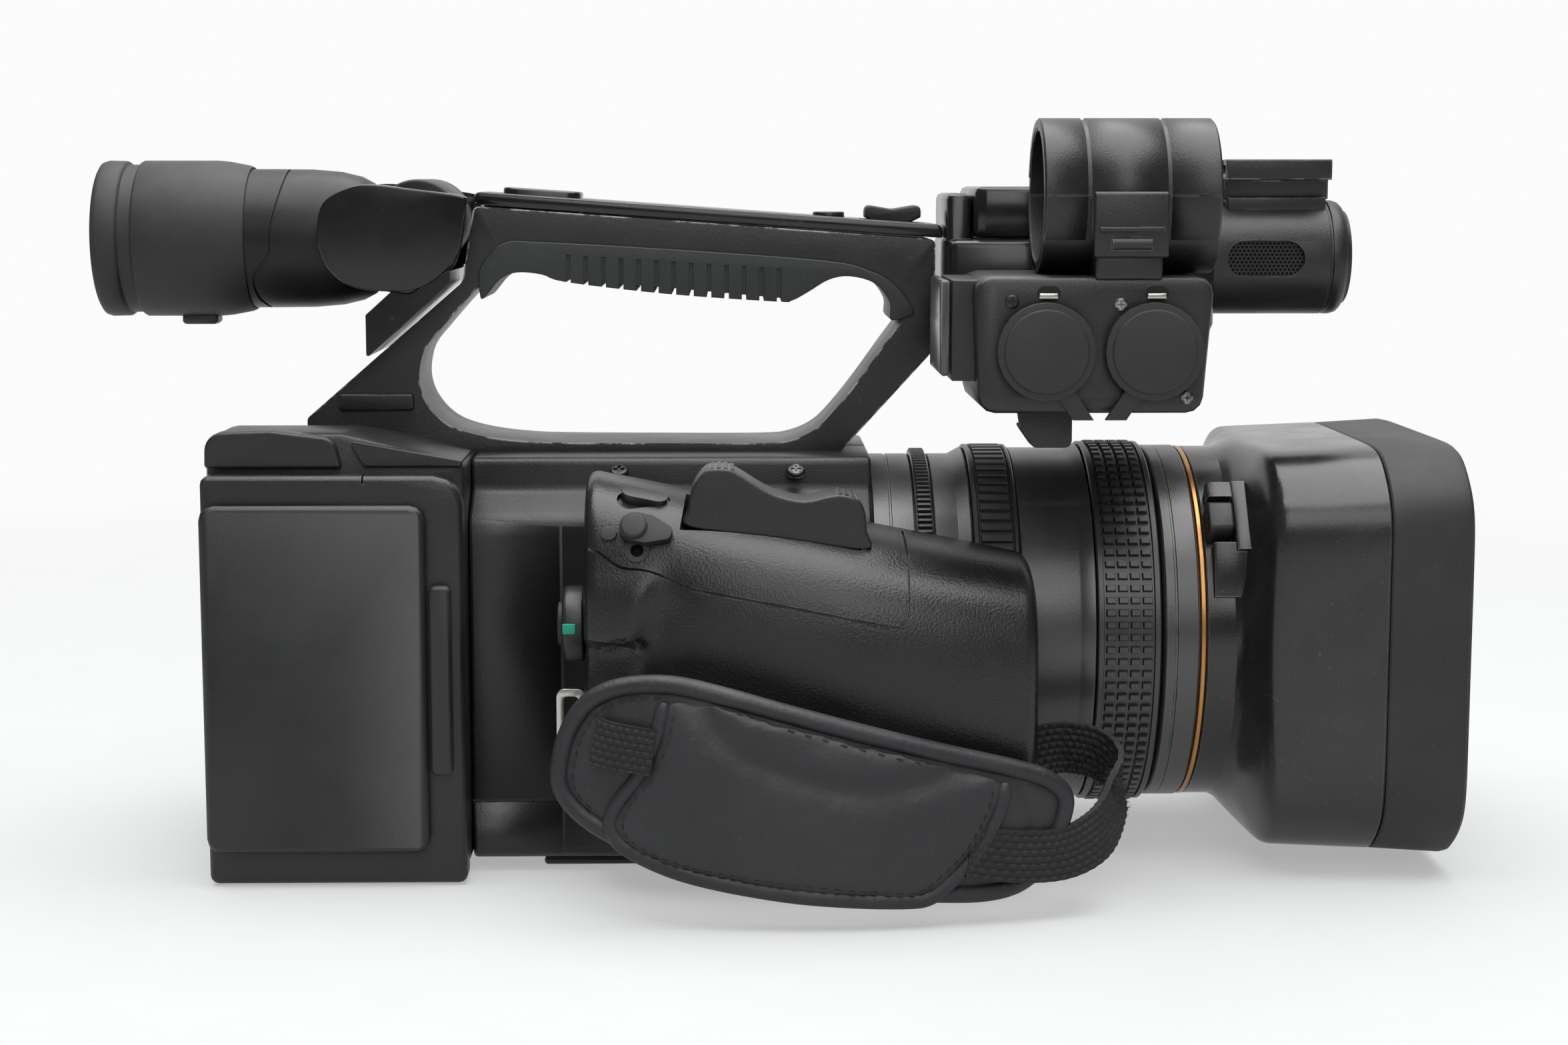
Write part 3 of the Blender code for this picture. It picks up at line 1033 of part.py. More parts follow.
def build_audio():
    face = [(XLR_X[0] + XLR_TAPER / 2, XLR_BOTTOM_Z, XLR_R), (XLR_X[1] - XLR_TAPER, XLR_BOTTOM_Z, XLR_R),
            (XLR_X[1], XLR_TOP_Z, XLR_R), (XLR_X[0], XLR_TOP_Z, XLR_R)]
    box = plate("xlr_housing", "XZ", [rounded(face)], XLR_FACE_Y, XLR_INNER_Y, CASING, XLR_EDGE)
    near_y = XLR_FACE_Y + AUDIO_INSET
    far_y = XLR_INNER_Y - AUDIO_LAP
    low_z = XLR_BOTTOM_Z + AUDIO_INSET + AUDIO_REVEAL
    top_z = XLR_TOP_Z - AUDIO_REVEAL
    panel_x = XLR_X[0] - AUDIO_DEPTH
    boolean(box, block("join_audio_panel", (panel_x, near_y, low_z), (XLR_X[0] + AUDIO_LAP, far_y, top_z)),
            "UNION")
    cover_x = panel_x - GAP
    near_y += AUDIO_REVEAL
    cover = block("audio_cover", (cover_x - AUDIO_COVER, near_y, low_z + AUDIO_REVEAL),
                  (cover_x, far_y - AUDIO_REVEAL, top_z), CLEAR, AUDIO_COVER_EDGE, 1)
    set_origin(cover, (cover_x - AUDIO_COVER / 2, near_y, top_z - AUDIO_COVER / 2))
    for number, x in enumerate(SOCKET_X, start=1):
        build_socket(number, x, box)
    top = XLR_BOTTOM_Z - GAP
    low = top - HOOK_DROP
    rear_x = HOOK_X - HOOK_HALF
    front_x = HOOK_X + HOOK_HALF
    hook = plate("cable_hook", "XZ", [rounded([
        (rear_x, top, HOOK_SMALL_R), (rear_x + HOOK_TAPER, low + HOOK_HEEL[1], HOOK_R),
        (rear_x + HOOK_HEEL[0], low, HOOK_R), (front_x, low, HOOK_R), (front_x, top, HOOK_SMALL_R)])],
        *HOOK_Y, RUBBER)
    near_y = HOOK_Y[0] + HOOK_PLATE
    far_y = HOOK_Y[1] - HOOK_PLATE
    past_y = HOOK_Y[1] + PAST
    boolean(hook, plate("cut_cable_hook", "YZ", [[
        (near_y, top + PAST), (near_y, low + HOOK_PLATE), (far_y, low + HOOK_PLATE), (far_y, low + HOOK_LIP),
        (past_y, low + HOOK_LIP), (past_y, top + PAST)]], rear_x - PAST, front_x + PAST))


def build_socket(number, x, box):
    """An audio socket in its bore, and the rubber cap that swings down off it."""
    back = XLR_FACE_Y + SOCKET_DEPTH
    boolean(box, rod(f"cut_socket_{number}", (x, XLR_FACE_Y - PAST, SOCKET_Z), (x, back + GAP, SOCKET_Z),
                     SOCKET_R + GAP))
    socket = rod(f"xlr_socket_{number}", (x, XLR_FACE_Y + GAP, SOCKET_Z), (x, back, SOCKET_Z),
                 SOCKET_R, METAL)
    boolean(socket, rod(f"cut_socket_bore_{number}", (x, XLR_FACE_Y - PAST, SOCKET_Z),
                        (x, back - 2 * SOCKET_WALL, SOCKET_Z), SOCKET_R - SOCKET_WALL))
    inside = XLR_FACE_Y - GAP
    cap = rod(f"xlr_cap_{number}", (x, inside - CAP_THICKNESS, SOCKET_Z), (x, inside, SOCKET_Z),
              CAP_R, RUBBER)
    middle = sum(SOCKET_X) / 2
    foot_x = middle + (x - middle) * CAP_FOOT_SHARE
    neck_x = x + (foot_x - x) * CAP_ARM_SHARE
    neck_z = SOCKET_Z - CAP_R * CAP_ARM_LAP
    arm = [Vector((foot_x - CAP_ARM_HALF, CAP_PIVOT_Z)), Vector((foot_x + CAP_ARM_HALF, CAP_PIVOT_Z)),
           Vector((neck_x + CAP_ARM_HALF, neck_z)), Vector((neck_x - CAP_ARM_HALF, neck_z))]
    boolean(cap, plate(f"join_cap_arm_{number}", "XZ", [arm], inside - CAP_ARM_THICKNESS, inside), "UNION")
    set_origin(cap, (foot_x, inside - CAP_THICKNESS / 2, CAP_PIVOT_Z))


def half_ring(start, inner, outer, steps=HOLDER_STEPS):
    """Half an annulus in Y and Z about the holder's axis, from an angle round to its opposite."""
    angles = [start + math.pi * i / steps for i in range(steps + 1)]
    out = [Vector((outer * math.cos(a), outer * math.sin(a))) for a in angles]
    back = [Vector((inner * math.cos(a), inner * math.sin(a))) for a in reversed(angles)]
    return out + back


def build_holder():
    centre_z = XLR_TOP_Z + GAP + HOLDER_R
    inner = HOLDER_R - HOLDER_WALL
    lower = shifted(half_ring(math.pi, inner, HOLDER_R), HOLDER_Y, centre_z - GAP)
    base = plate("mic_holder_base", "YZ", [lower], *HOLDER_X, CASING)
    upper = shifted(half_ring(0.0, inner, HOLDER_R), HOLDER_Y, centre_z)
    clamp = plate("mic_holder_clamp", "YZ", [upper], *HOLDER_X, CASING)
    eye = HOLDER_HINGE_R
    hinge = Vector((HOLDER_X[0], HOLDER_Y + HOLDER_R + eye + RUN, centre_z + eye))
    third = (HOLDER_BAND_X[1] - HOLDER_BAND_X[0]) / 3
    near_x = HOLDER_BAND_X[0] + third
    far_x = HOLDER_BAND_X[1] - third
    boolean(clamp, block("join_clamp_arm", (near_x, hinge.y - eye - HOLDER_WALL, hinge.z),
                         (far_x, hinge.y, hinge.z + eye)), "UNION")
    boolean(clamp, rod("join_clamp_knuckle", (near_x, hinge.y, hinge.z), (far_x, hinge.y, hinge.z), eye),
            "UNION")
    boolean(clamp, rod("cut_clamp_pin", (HOLDER_X[0], hinge.y, hinge.z), (HOLDER_X[1], hinge.y, hinge.z),
                       HOLDER_PIN_R + RUN, sides=PIN_STEPS))
    ears = plate("join_holder_ears", "YZ", [rounded([
        (hinge.y - HOLDER_EAR_LAP, hinge.z - eye - HOLDER_EAR_LONG, 0.0),
        (hinge.y + eye, hinge.z - eye - HOLDER_EAR_SHORT, HOLDER_EAR_R),
        (hinge.y + eye, hinge.z + eye, HOLDER_EAR_R),
        (hinge.y - HOLDER_EAR_LAP, hinge.z + eye, HOLDER_EAR_R)])], *HOLDER_BAND_X)
    boolean(ears, block("cut_holder_slot", (near_x - RUN, hinge.y - eye - RUN, hinge.z - eye - RUN),
                        (far_x + RUN, hinge.y + PAST, hinge.z + PAST)))
    boolean(base, ears, "UNION")
    boolean(base, block("join_holder_link", (HOLDER_BAND_X[0], hinge.y - 2 * eye, centre_z - HOLDER_LINK_LOW),
                        (HOLDER_BAND_X[1], hinge.y - eye / 2, centre_z - HOLDER_LINK_HIGH)), "UNION")
    boolean(base, rod("join_holder_pin", (HOLDER_BAND_X[0] + HOLDER_PIN_END, hinge.y, hinge.z),
                      (HOLDER_BAND_X[1] - HOLDER_PIN_END, hinge.y, hinge.z), HOLDER_PIN_R,
                      sides=PIN_STEPS), "UNION")
    set_origin(clamp, hinge)
    inside = HOLDER_Y - HOLDER_R - RUN
    outside = inside - HOLDER_LATCH
    low_z = HOLDER_LATCH_Z - HOLDER_LATCH_LAP
    high_z = centre_z + HOLDER_PIN_END
    latch = plate("mic_holder_latch", "YZ", [rounded([
        (inside, high_z, 0.0), (outside, high_z, HOLDER_LATCH_R), (outside, low_z, HOLDER_LATCH_R),
        (inside, low_z, HOLDER_LATCH_R)])], *HOLDER_BAND_X, CASING)
    set_origin(latch, (HOLDER_BAND_X[0], (inside + outside) / 2, HOLDER_LATCH_Z))


# Lens


def build_lens():
    axis = Vector((0.0, 0.0, LENS_Z))
    front = FRONT_RING_X[0] - GAP
    flange = LENS_REAR_X + SPIGOT_FLANGE
    turned("lens_barrel", [
        (LENS_REAR_X - SPIGOT_LENGTH, SPIGOT_R), (LENS_REAR_X, SPIGOT_R),
        (LENS_REAR_X, BARREL_R - BARREL_STEP), (LENS_REAR_X + BARREL_LIP, BARREL_R - BARREL_STEP),
        (LENS_REAR_X + BARREL_LIP + BARREL_STEP, BARREL_R),
        (IRIS_X[0] - RUN, BARREL_R), (IRIS_X[0] - RUN, SEAT_R), (IRIS_X[1] + RUN, SEAT_R),
        (IRIS_X[1] + RUN, BARREL_R), (CONE_X, BARREL_R), (ZOOM_X[0] - RUN, ZOOM_R), (ZOOM_X[0] - RUN, SEAT_R),
        (ZOOM_X[1] + RUN, SEAT_R), (ZOOM_X[1] + RUN, MID_BARREL_R), (FOCUS_X[0] - FOCUS_RAMP, MID_BARREL_R),
        (FOCUS_X[0] - RUN, FOCUS_R - BARREL_STEP), (FOCUS_X[0] - RUN, SEAT_R), (front, SEAT_R)],
        [(LENS_REAR_X - SPIGOT_LENGTH, SPIGOT_R - SPIGOT_WALL), (flange, SPIGOT_R - SPIGOT_WALL),
         (flange, BORE_R), (front, BORE_R)], axis, CASING, TURN_STEPS)
    for name, span, radius in (("iris_ring", IRIS_X, IRIS_R), ("zoom_ring", ZOOM_X, ZOOM_R),
                               ("focus_ring", FOCUS_X, FOCUS_R)):
        turned(name, [(span[0], radius - RING_EDGE), (span[0] + RING_EDGE, radius),
                      (span[1] - RING_EDGE, radius), (span[1], radius - RING_EDGE)],
               [(span[0], SEAT_R + RUN), (span[1], SEAT_R + RUN)], axis, RUBBER, TURN_STEPS)
    end = HOOD_REAR_X - GAP
    turned("lens_front_ring", [
        (FRONT_RING_X[0], FRONT_RING_R - FRONT_RING_EDGE), (FRONT_RING_X[0] + FRONT_RING_EDGE, FRONT_RING_R),
        (FRONT_RING_X[1], FRONT_RING_R), (FRONT_RING_X[1], GOLD_R - GOLD_DEPTH), (end, GOLD_R - GOLD_DEPTH)],
        [(FRONT_RING_X[0], GLASS_R + GAP), (end, GLASS_R + GAP)], axis, CASING, TURN_STEPS)
    seat = GOLD_R - GOLD_DEPTH + GAP
    turned("gold_ring", [(GOLD_X[0], GOLD_R), (GOLD_X[1], GOLD_R)], [(GOLD_X[0], seat), (GOLD_X[1], seat)],
           axis, GOLD, TURN_STEPS)
    dome_x = FRONT_RING_X[0] + GLASS_EDGE
    dome = [(FRONT_RING_X[0], GLASS_R), (dome_x, GLASS_R)]
    for i in range(1, GLASS_RINGS):
        share = i / GLASS_RINGS
        rise = 1 - (1 - share) ** 2
        dome.append((dome_x + GLASS_BULGE * rise, GLASS_R * (1 - share ** GLASS_ROUNDNESS)))
    turned("front_element", dome, [], axis, GLASS, TURN_STEPS)


def hood_section(x, half_y, half_z, power, centre_z, sides=HOOD_STEPS):
    """A loop in Y and Z that runs from a circle at power 2 to a rounded rectangle above it."""
    loop = []
    for i in range(sides):
        angle = math.tau * i / sides
        across = math.copysign(abs(math.cos(angle)) ** (2 / power), math.cos(angle)) * half_y
        up = math.copysign(abs(math.sin(angle)) ** (2 / power), math.sin(angle)) * half_z
        loop.append(Vector((x, across, centre_z + up)))
    return loop


def hood_shell(name, rows, finish):
    """A hood wall from (x, half width, half height, power, centre) rows, rear to front."""
    outer = [hood_section(*row) for row in rows]
    inner = [hood_section(x, half_y - HOOD_WALL, half_z - HOOD_WALL, power, centre_z)
             for x, half_y, half_z, power, centre_z in reversed(rows)]
    return loft(name, outer + inner, finish, ring=True)


def build_hood():
    wide, tall = HOOD_HALF_Y, HOOD_HALF_Z
    split = HOOD_SPREAD / 2
    body = hood_shell("hood_body", [
        (HOOD_REAR_X, HOOD_COLLAR_R, HOOD_COLLAR_R, ROUND, LENS_Z),
        (HOOD_COLLAR_X, HOOD_COLLAR_R, HOOD_COLLAR_R, ROUND, LENS_Z),
        ((HOOD_COLLAR_X + HOOD_FLARE_X) / 2, (HOOD_COLLAR_R + wide) / 2, (HOOD_COLLAR_R + tall) / 2,
         HOOD_FLARE_POWER, (LENS_Z + HOOD_Z) / 2),
        (HOOD_FLARE_X, wide, tall, HOOD_THROAT_POWER, HOOD_Z),
        (HOOD_SPLIT_X, wide + split, tall + split, HOOD_MOUTH_POWER, HOOD_Z)], CASING)
    lip_y = wide + HOOD_SPREAD - HOOD_LIP
    lip_z = tall + HOOD_SPREAD - HOOD_LIP
    hood_shell("hood_rim", [
        (HOOD_SPLIT_X + GAP, wide + split, tall + split, HOOD_MOUTH_POWER, HOOD_Z),
        (HOOD_FRONT_X - HOOD_LIP_LENGTH, wide + HOOD_SPREAD, tall + HOOD_SPREAD, HOOD_MOUTH_POWER, HOOD_Z),
        (HOOD_FRONT_X, lip_y, lip_z, HOOD_MOUTH_POWER, HOOD_Z)], RUBBER)
    foot = HOOD_COLLAR_R - HOOD_LATCH_SINK
    start_x = HOOD_REAR_X + GAP
    end_x = start_x + HOOD_LATCH_LENGTH
    latch = plate("hood_latch", "YZ", [latch_outline(HOOD_LATCH_HALF, foot, foot + HOOD_LATCH_RISE)],
                  start_x, end_x, CASING)
    set_origin(latch, (HOOD_REAR_X, 0.0, LENS_Z))
    floor = foot - HOOD_LATCH_TRAVEL - RUN
    boolean(body, plate("cut_hood_latch", "YZ", [latch_outline(HOOD_LATCH_HALF + RUN, floor, foot + PAST)],
                        start_x - PAST, end_x + RUN))


def latch_outline(half, foot, top):
    """The hood latch's section in Y and Z, standing out of the collar between two radii."""
    out = Vector((-math.cos(HOOD_LATCH_ANGLE), math.sin(HOOD_LATCH_ANGLE)))
    side = Vector((math.sin(HOOD_LATCH_ANGLE), math.cos(HOOD_LATCH_ANGLE)))
    centre = Vector((0.0, LENS_Z))
    tip = half * HOOD_LATCH_TAPER
    return [centre - side * half + out * foot, centre + side * half + out * foot,
            centre + side * tip + out * top, centre - side * tip + out * top]


# Grip and strap


def grip_top(x):
    return GRIP_REAR_TOP_Z - math.tan(GRIP_SLOPE) * (x - GRIP_REAR_X)


def grip_point(x, angle, inset=0.0, extra=0.0):
    """A point of the grip's section at x: angle 90 degrees is its top, 0 is against the palm."""
    along = (x - GRIP_REAR_X) / (GRIP_FRONT_X - GRIP_REAR_X)
    swell = math.sin(math.pi * (GRIP_SWELL_START + GRIP_SWELL * along))
    fullness = GRIP_LEAST + (1 - GRIP_LEAST) * swell
    out = -GRIP_OUT_Y * fullness + inset
    top = grip_top(x) - inset
    low = GRIP_BOTTOM_Z + inset
    flat = GRIP_INNER_Y + extra
    reach = abs(math.cos(angle)) ** (2 / GRIP_POWER)
    rise = math.copysign(abs(math.sin(angle)) ** (2 / GRIP_POWER), math.sin(angle))
    return Vector((x, flat + (out - flat) * reach, (top + low) / 2 + rise * (top - low) / 2))


def grip_section(x, inset, extra, sides=GRIP_SIDES):
    """A D-shaped loop in Y and Z, flat against the casing and full towards the palm."""
    return [grip_point(x, math.pi * (0.5 - i / sides), inset, extra) for i in range(sides + 1)]


def grip_seat(x, angle):
    """A frame on the grip's surface: X forward along it, Z out of it."""
    here = grip_point(x, angle)
    ahead = (grip_point(x + PROBE, angle) - here).normalized()
    around = (grip_point(x, angle + PROBE_TURN) - here).normalized()
    out = around.cross(ahead).normalized()
    if out.z < 0:
        out = -out
    across = out.cross(ahead)
    turned_in = Matrix((ahead, across, out)).transposed().to_4x4()
    return Matrix.Translation(here) @ turned_in


def grip_skin(name, finish=None, inset=0.0, extra=0.0):
    """The grip's outside, or a smaller form inside it that runs past its flat side."""
    start = GRIP_REAR_X + inset
    step = (GRIP_FRONT_X - inset - start) / (GRIP_STATIONS - 1)
    return loft(name, [grip_section(start + step * i, inset, extra) for i in range(GRIP_STATIONS)], finish)


def seam_wedge(name, shrink):
    """The space above the grip's sloping seam and behind its front seam."""
    rear_z = grip_top(GRIP_REAR_X - PAST) - GRIP_SEAM_DROP
    front_z = grip_top(GRIP_COVER_X) - GRIP_SEAM_DROP
    high = GRIP_REAR_TOP_Z + 2 * PAST
    corners = [(GRIP_REAR_X - PAST, rear_z + shrink, 0.0), (GRIP_COVER_X - shrink, front_z + shrink, 0.0),
               (GRIP_COVER_X - shrink, high, 0.0), (GRIP_REAR_X - PAST, high, 0.0)]
    return plate(name, "XZ", [rounded(corners)], -GRIP_OUT_Y - 2 * PAST, GRIP_INNER_Y + PAST)


def build_grip():
    hollow = grip_skin("cut_grip_hollow", None, WALL, PAST)
    lens_room = rod("cut_grip_lens", (BODY_FRONT_X - PAST * 4, 0.0, LENS_Z),
                    (GRIP_FRONT_X + PAST, 0.0, LENS_Z), FOCUS_R + 2 * RUN, sides=LENS_ROOM_STEPS)
    shell = grip_skin("grip_shell", CASING)
    cover = grip_skin("grip_top_cover", CASING)
    boolean(shell, hollow)
    boolean(cover, hollow)
    boolean(shell, seam_wedge("cut_grip_seam", 0.0))
    boolean(cover, seam_wedge("keep_grip_cover", GAP), "INTERSECT")
    boolean(shell, lens_room)
    boolean(cover, lens_room)
    rocker_z = grip_top(ROCKER_X)
    tilt = Matrix.Rotation(GRIP_SLOPE, 4, "Y")
    place = Matrix.Translation((ROCKER_X, 0.0, rocker_z)) @ tilt
    length = ROCKER_HALF_LENGTH
    side_y = (ROCKER_Y - ROCKER_HALF_Y, ROCKER_Y + ROCKER_HALF_Y)
    room = plate("cut_rocker_room", "XZ",
                 [rectangle(-length - 2 * RUN, -ROCKER_SINK - ROCKER_ROOM, length + 2 * RUN, PAST)],
                 side_y[0] - RUN, side_y[1] + RUN)
    room.data.transform(place)
    boolean(cover, room)
    rocker = plate("zoom_rocker", "XZ", [rounded([
        (-length, ROCKER_FOOT, ROCKER_EDGE), (-length, ROCKER_RISE, ROCKER_TIP_R),
        (-length + ROCKER_HORN, ROCKER_RISE, ROCKER_HORN_R), (0.0, ROCKER_RISE * ROCKER_DISH, ROCKER_HORN),
        (length - ROCKER_HORN, ROCKER_RISE * ROCKER_NOSE, ROCKER_HORN_R),
        (length, ROCKER_RISE * ROCKER_TIP, ROCKER_TIP_R), (length, ROCKER_FOOT, ROCKER_EDGE),
        (ROCKER_STEM, -ROCKER_SINK, ROCKER_EDGE), (-ROCKER_STEM, -ROCKER_SINK, ROCKER_EDGE)])],
        *side_y, CASING, ROCKER_EDGE)
    rocker.data.transform(place)
    set_origin(rocker, (ROCKER_X, ROCKER_Y, rocker_z))
    slot = rectangle(-OVAL_LENGTH, -OVAL_R, OVAL_LENGTH, OVAL_R, OVAL_R)
    grown = rectangle(-OVAL_LENGTH - RUN, -OVAL_R - RUN, OVAL_LENGTH + RUN, OVAL_R + RUN, OVAL_R + RUN)
    seat = grip_seat(OVAL_X, OVAL_ANGLE)
    hole = plate("cut_oval", "XY", [grown], -2 * PAST, 2 * PAST)
    hole.data.transform(seat)
    boolean(cover, hole)
    button = plate("focus_button", "XY", [slot], -3 * BUTTON_RISE, BUTTON_RISE, RUBBER)
    button.data.transform(seat)
    set_origin(button, seat.translation)
    build_grip_controls()


def build_grip_controls():
    rear = GRIP_REAR_X - GAP
    turned("power_dial",
           [(-DIAL_DEPTH, DIAL_R - DIAL_EDGE), (-DIAL_DEPTH + DIAL_EDGE, DIAL_R), (0.0, DIAL_R)],
           [(-DIAL_DEPTH, REC_R + RUN), (0.0, REC_R + RUN)], (rear, DIAL_Y, DIAL_Z), CASING)
    button = rod("rec_button", (rear - DIAL_DEPTH - BUTTON_RISE, DIAL_Y, DIAL_Z),
                 (rear - 2 * BUTTON_RISE, DIAL_Y, DIAL_Z), REC_R, RUBBER)
    set_origin(button, (rear - DIAL_DEPTH, DIAL_Y, DIAL_Z))
    seat = grip_seat(PLUG_X, PLUG_ANGLE)
    tip = PLUG_REACH * PLUG_R
    thin = PLUG_TONGUE * PLUG_R
    tongue = rounded([(-PLUG_R, -PLUG_R, PLUG_R), (PLUG_R, -PLUG_R, PLUG_R), (tip, -thin, thin),
                      (tip, thin, thin), (PLUG_R, PLUG_R, PLUG_R), (-PLUG_R, PLUG_R, PLUG_R)])
    plug = plate("jack_plug", "XY", [tongue], RUN, RUN + PLUG_THICKNESS, RUBBER)
    plug.data.transform(seat)
    set_origin(plug, seat @ Vector((2 * PLUG_R, 0.0, RUN)))
    wire = STRAP_LOOP_WIRE
    low_z = STRAP_LOOP_Z - STRAP_LOOP_HALF
    high_z = STRAP_LOOP_Z + STRAP_LOOP_HALF
    end = rear - STRAP_LOOP_LENGTH
    plate("strap_loop_rear", "XZ", [
        rectangle(end, low_z, rear, high_z, wire),
        rectangle(end + wire, low_z + wire, rear - wire, high_z - wire, wire / 2)],
        STRAP_LOOP_Y - wire, STRAP_LOOP_Y, METAL)


def strap_share(x):
    return (x - STRAP_REAR_X) / (STRAP_FRONT_X - STRAP_REAR_X)


def strap_y(x):
    """How far out the strap stands at x: it bows over the hand between its two ends."""
    return STRAP_END_Y - STRAP_BOW * math.sin(math.pi * min(max(strap_share(x), 0.0), 1.0))


def strap_edges(x):
    """Height of the pad's lower and upper edge at x: its top slopes forward, its ends are round."""
    share = strap_share(x)
    round_off = math.sqrt(max(1.0 - abs(2.0 * share - 1.0) ** STRAP_ROUNDNESS, 0.0))
    top = STRAP_TOP_Z + (STRAP_FRONT_TOP_Z - STRAP_TOP_Z) * share
    middle = STRAP_MIDDLE_Z + (STRAP_FRONT_MIDDLE_Z - STRAP_MIDDLE_Z) * share
    low = STRAP_LOW_Z + (STRAP_FRONT_LOW_Z - STRAP_LOW_Z) * share
    return middle - (middle - low) * round_off, middle + (top - middle) * round_off


def build_strap():
    sections = []
    bulge = STRAP_THICKNESS / 2
    soft = STRAP_THICKNESS / 4
    for i in range(STRAP_STATIONS + 1):
        turn = STRAP_TIP + (1 - 2 * STRAP_TIP) * i / STRAP_STATIONS
        x = STRAP_REAR_X + (STRAP_FRONT_X - STRAP_REAR_X) * (1 - math.cos(math.pi * turn)) / 2
        low, high = strap_edges(x)
        y = strap_y(x)
        sections.append([Vector((x, y - bulge, low + soft)), Vector((x, y - bulge, high - soft)),
                         Vector((x, y, high)), Vector((x, y + bulge, high - soft)),
                         Vector((x, y + bulge, low + soft)), Vector((x, y, low))])
    loft("strap_pad", sections, LEATHER)
    start_x = sections[-1][0].x + GAP
    end_x = GRIP_FRONT_X + GAP
    back_y = WEB_OUT_Y + WEB_TURN
    route = [Vector((start_x, strap_y(start_x), WEB_Z)),
             Vector(((start_x + WEB_OUT_X) / 2, STRAP_END_Y, WEB_Z + WEB_RISE / 9)),
             Vector((WEB_OUT_X, WEB_OUT_Y, WEB_Z + WEB_RISE / 4)),
             Vector((WEB_OUT_X, back_y, WEB_Z + WEB_RISE / 2)),
             Vector(((WEB_OUT_X + end_x) / 2 + WEB_THICKNESS, (back_y + WEB_ANCHOR_Y) / 2 + WEB_THICKNESS,
                     WEB_Z + WEB_RISE * 3 / 4)),
             Vector((end_x, WEB_ANCHOR_Y, WEB_Z + WEB_RISE))]
    rows = []
    rise = Vector((0.0, 0.0, WEB_HEIGHT / 2))
    for i, spot in enumerate(route):
        ahead = route[min(i + 1, len(route) - 1)] - route[max(i - 1, 0)]
        across = Vector((ahead.y, -ahead.x, 0.0)).normalized() * (WEB_THICKNESS / 2)
        rows.append([spot - across - rise, spot + across - rise, spot + across + rise, spot - across + rise])
    loft("strap_webbing", rows, WEBBING)


build_casing()
build_rear()
build_handle()
build_viewfinder()
build_front()
build_microphone()
build_audio()
build_holder()
build_lens()
build_hood()
build_grip()
build_strap()
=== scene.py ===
# %% [markdown]
# # A hand-held camcorder, dressed
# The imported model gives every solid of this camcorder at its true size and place. This lesson dresses
# it: each cell makes one group of pieces, from the floor it stands on to the last screw. All lengths
# are typed in millimetres, because that is how a maker of cameras would measure them, and `MM` turns
# them into Blender's metres.

# %% Load the frame
import json
import math
import random
import bmesh
import bpy
from mathutils import Matrix, Vector, noise

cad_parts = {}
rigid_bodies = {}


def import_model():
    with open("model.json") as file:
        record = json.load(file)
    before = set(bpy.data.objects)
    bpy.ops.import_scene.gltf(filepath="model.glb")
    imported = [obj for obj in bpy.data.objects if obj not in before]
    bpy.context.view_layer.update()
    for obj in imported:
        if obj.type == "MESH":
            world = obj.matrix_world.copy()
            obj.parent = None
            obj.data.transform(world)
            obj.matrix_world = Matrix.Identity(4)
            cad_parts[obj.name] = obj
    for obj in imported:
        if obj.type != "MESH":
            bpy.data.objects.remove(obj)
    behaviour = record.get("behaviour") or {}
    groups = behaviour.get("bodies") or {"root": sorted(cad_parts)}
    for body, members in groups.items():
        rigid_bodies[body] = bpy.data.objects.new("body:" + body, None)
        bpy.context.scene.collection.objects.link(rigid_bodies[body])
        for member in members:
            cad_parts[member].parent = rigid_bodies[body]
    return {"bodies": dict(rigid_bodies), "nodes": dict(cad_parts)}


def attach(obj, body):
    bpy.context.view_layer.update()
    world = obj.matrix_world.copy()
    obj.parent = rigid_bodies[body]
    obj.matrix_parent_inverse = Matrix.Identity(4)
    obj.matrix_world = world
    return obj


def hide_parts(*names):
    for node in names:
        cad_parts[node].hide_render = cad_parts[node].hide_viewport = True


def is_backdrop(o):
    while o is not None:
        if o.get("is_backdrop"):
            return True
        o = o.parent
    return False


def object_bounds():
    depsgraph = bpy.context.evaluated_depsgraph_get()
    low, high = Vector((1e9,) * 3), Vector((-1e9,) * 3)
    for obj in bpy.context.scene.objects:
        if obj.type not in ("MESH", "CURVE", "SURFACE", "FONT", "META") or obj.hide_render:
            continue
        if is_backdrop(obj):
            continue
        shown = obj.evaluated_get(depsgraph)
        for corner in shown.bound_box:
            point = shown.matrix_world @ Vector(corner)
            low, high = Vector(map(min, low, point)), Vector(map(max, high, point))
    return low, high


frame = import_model()
cad_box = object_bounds()
MM = 0.001

# %% [markdown]
# ## The camera
# The photograph was taken from the grip side, a little above the object, with a long lens. Its
# distance and tilt come from matching the square lens hood and the handle's opening, and are typed in
# here. Nothing else in the scene depends on the camera.

# %% Place the camera
CAMERA_PLACE = (0.00693, -0.677, 0.1687)
CAMERA_DIP, CAMERA_TURN = 7.4, -1.088
SENSOR_WIDTH, PHOTO_WIDTH, FOCAL_PIXELS = 36.0, 2352.0, 4000.0
bpy.ops.object.camera_add(location=CAMERA_PLACE,
                          rotation=(math.radians(90.0 - CAMERA_DIP), 0.0, math.radians(CAMERA_TURN)))
camera = bpy.context.object
camera.data.sensor_width = SENSOR_WIDTH
camera.data.lens = SENSOR_WIDTH * FOCAL_PIXELS / PHOTO_WIDTH
bpy.context.scene.camera = camera
print("camera lens:", round(camera.data.lens, 1), "mm")

# %% [markdown]
# ## Floor and light
# A product table is a pale sheet that runs flat under the object and then curves up behind it, so no
# horizon shows. One strip is drawn from the side and extruded across. The light is a large soft box
# above and a weaker one in front. The room looks white to the camera, but it lights only a little, so
# that black plastic stays black.

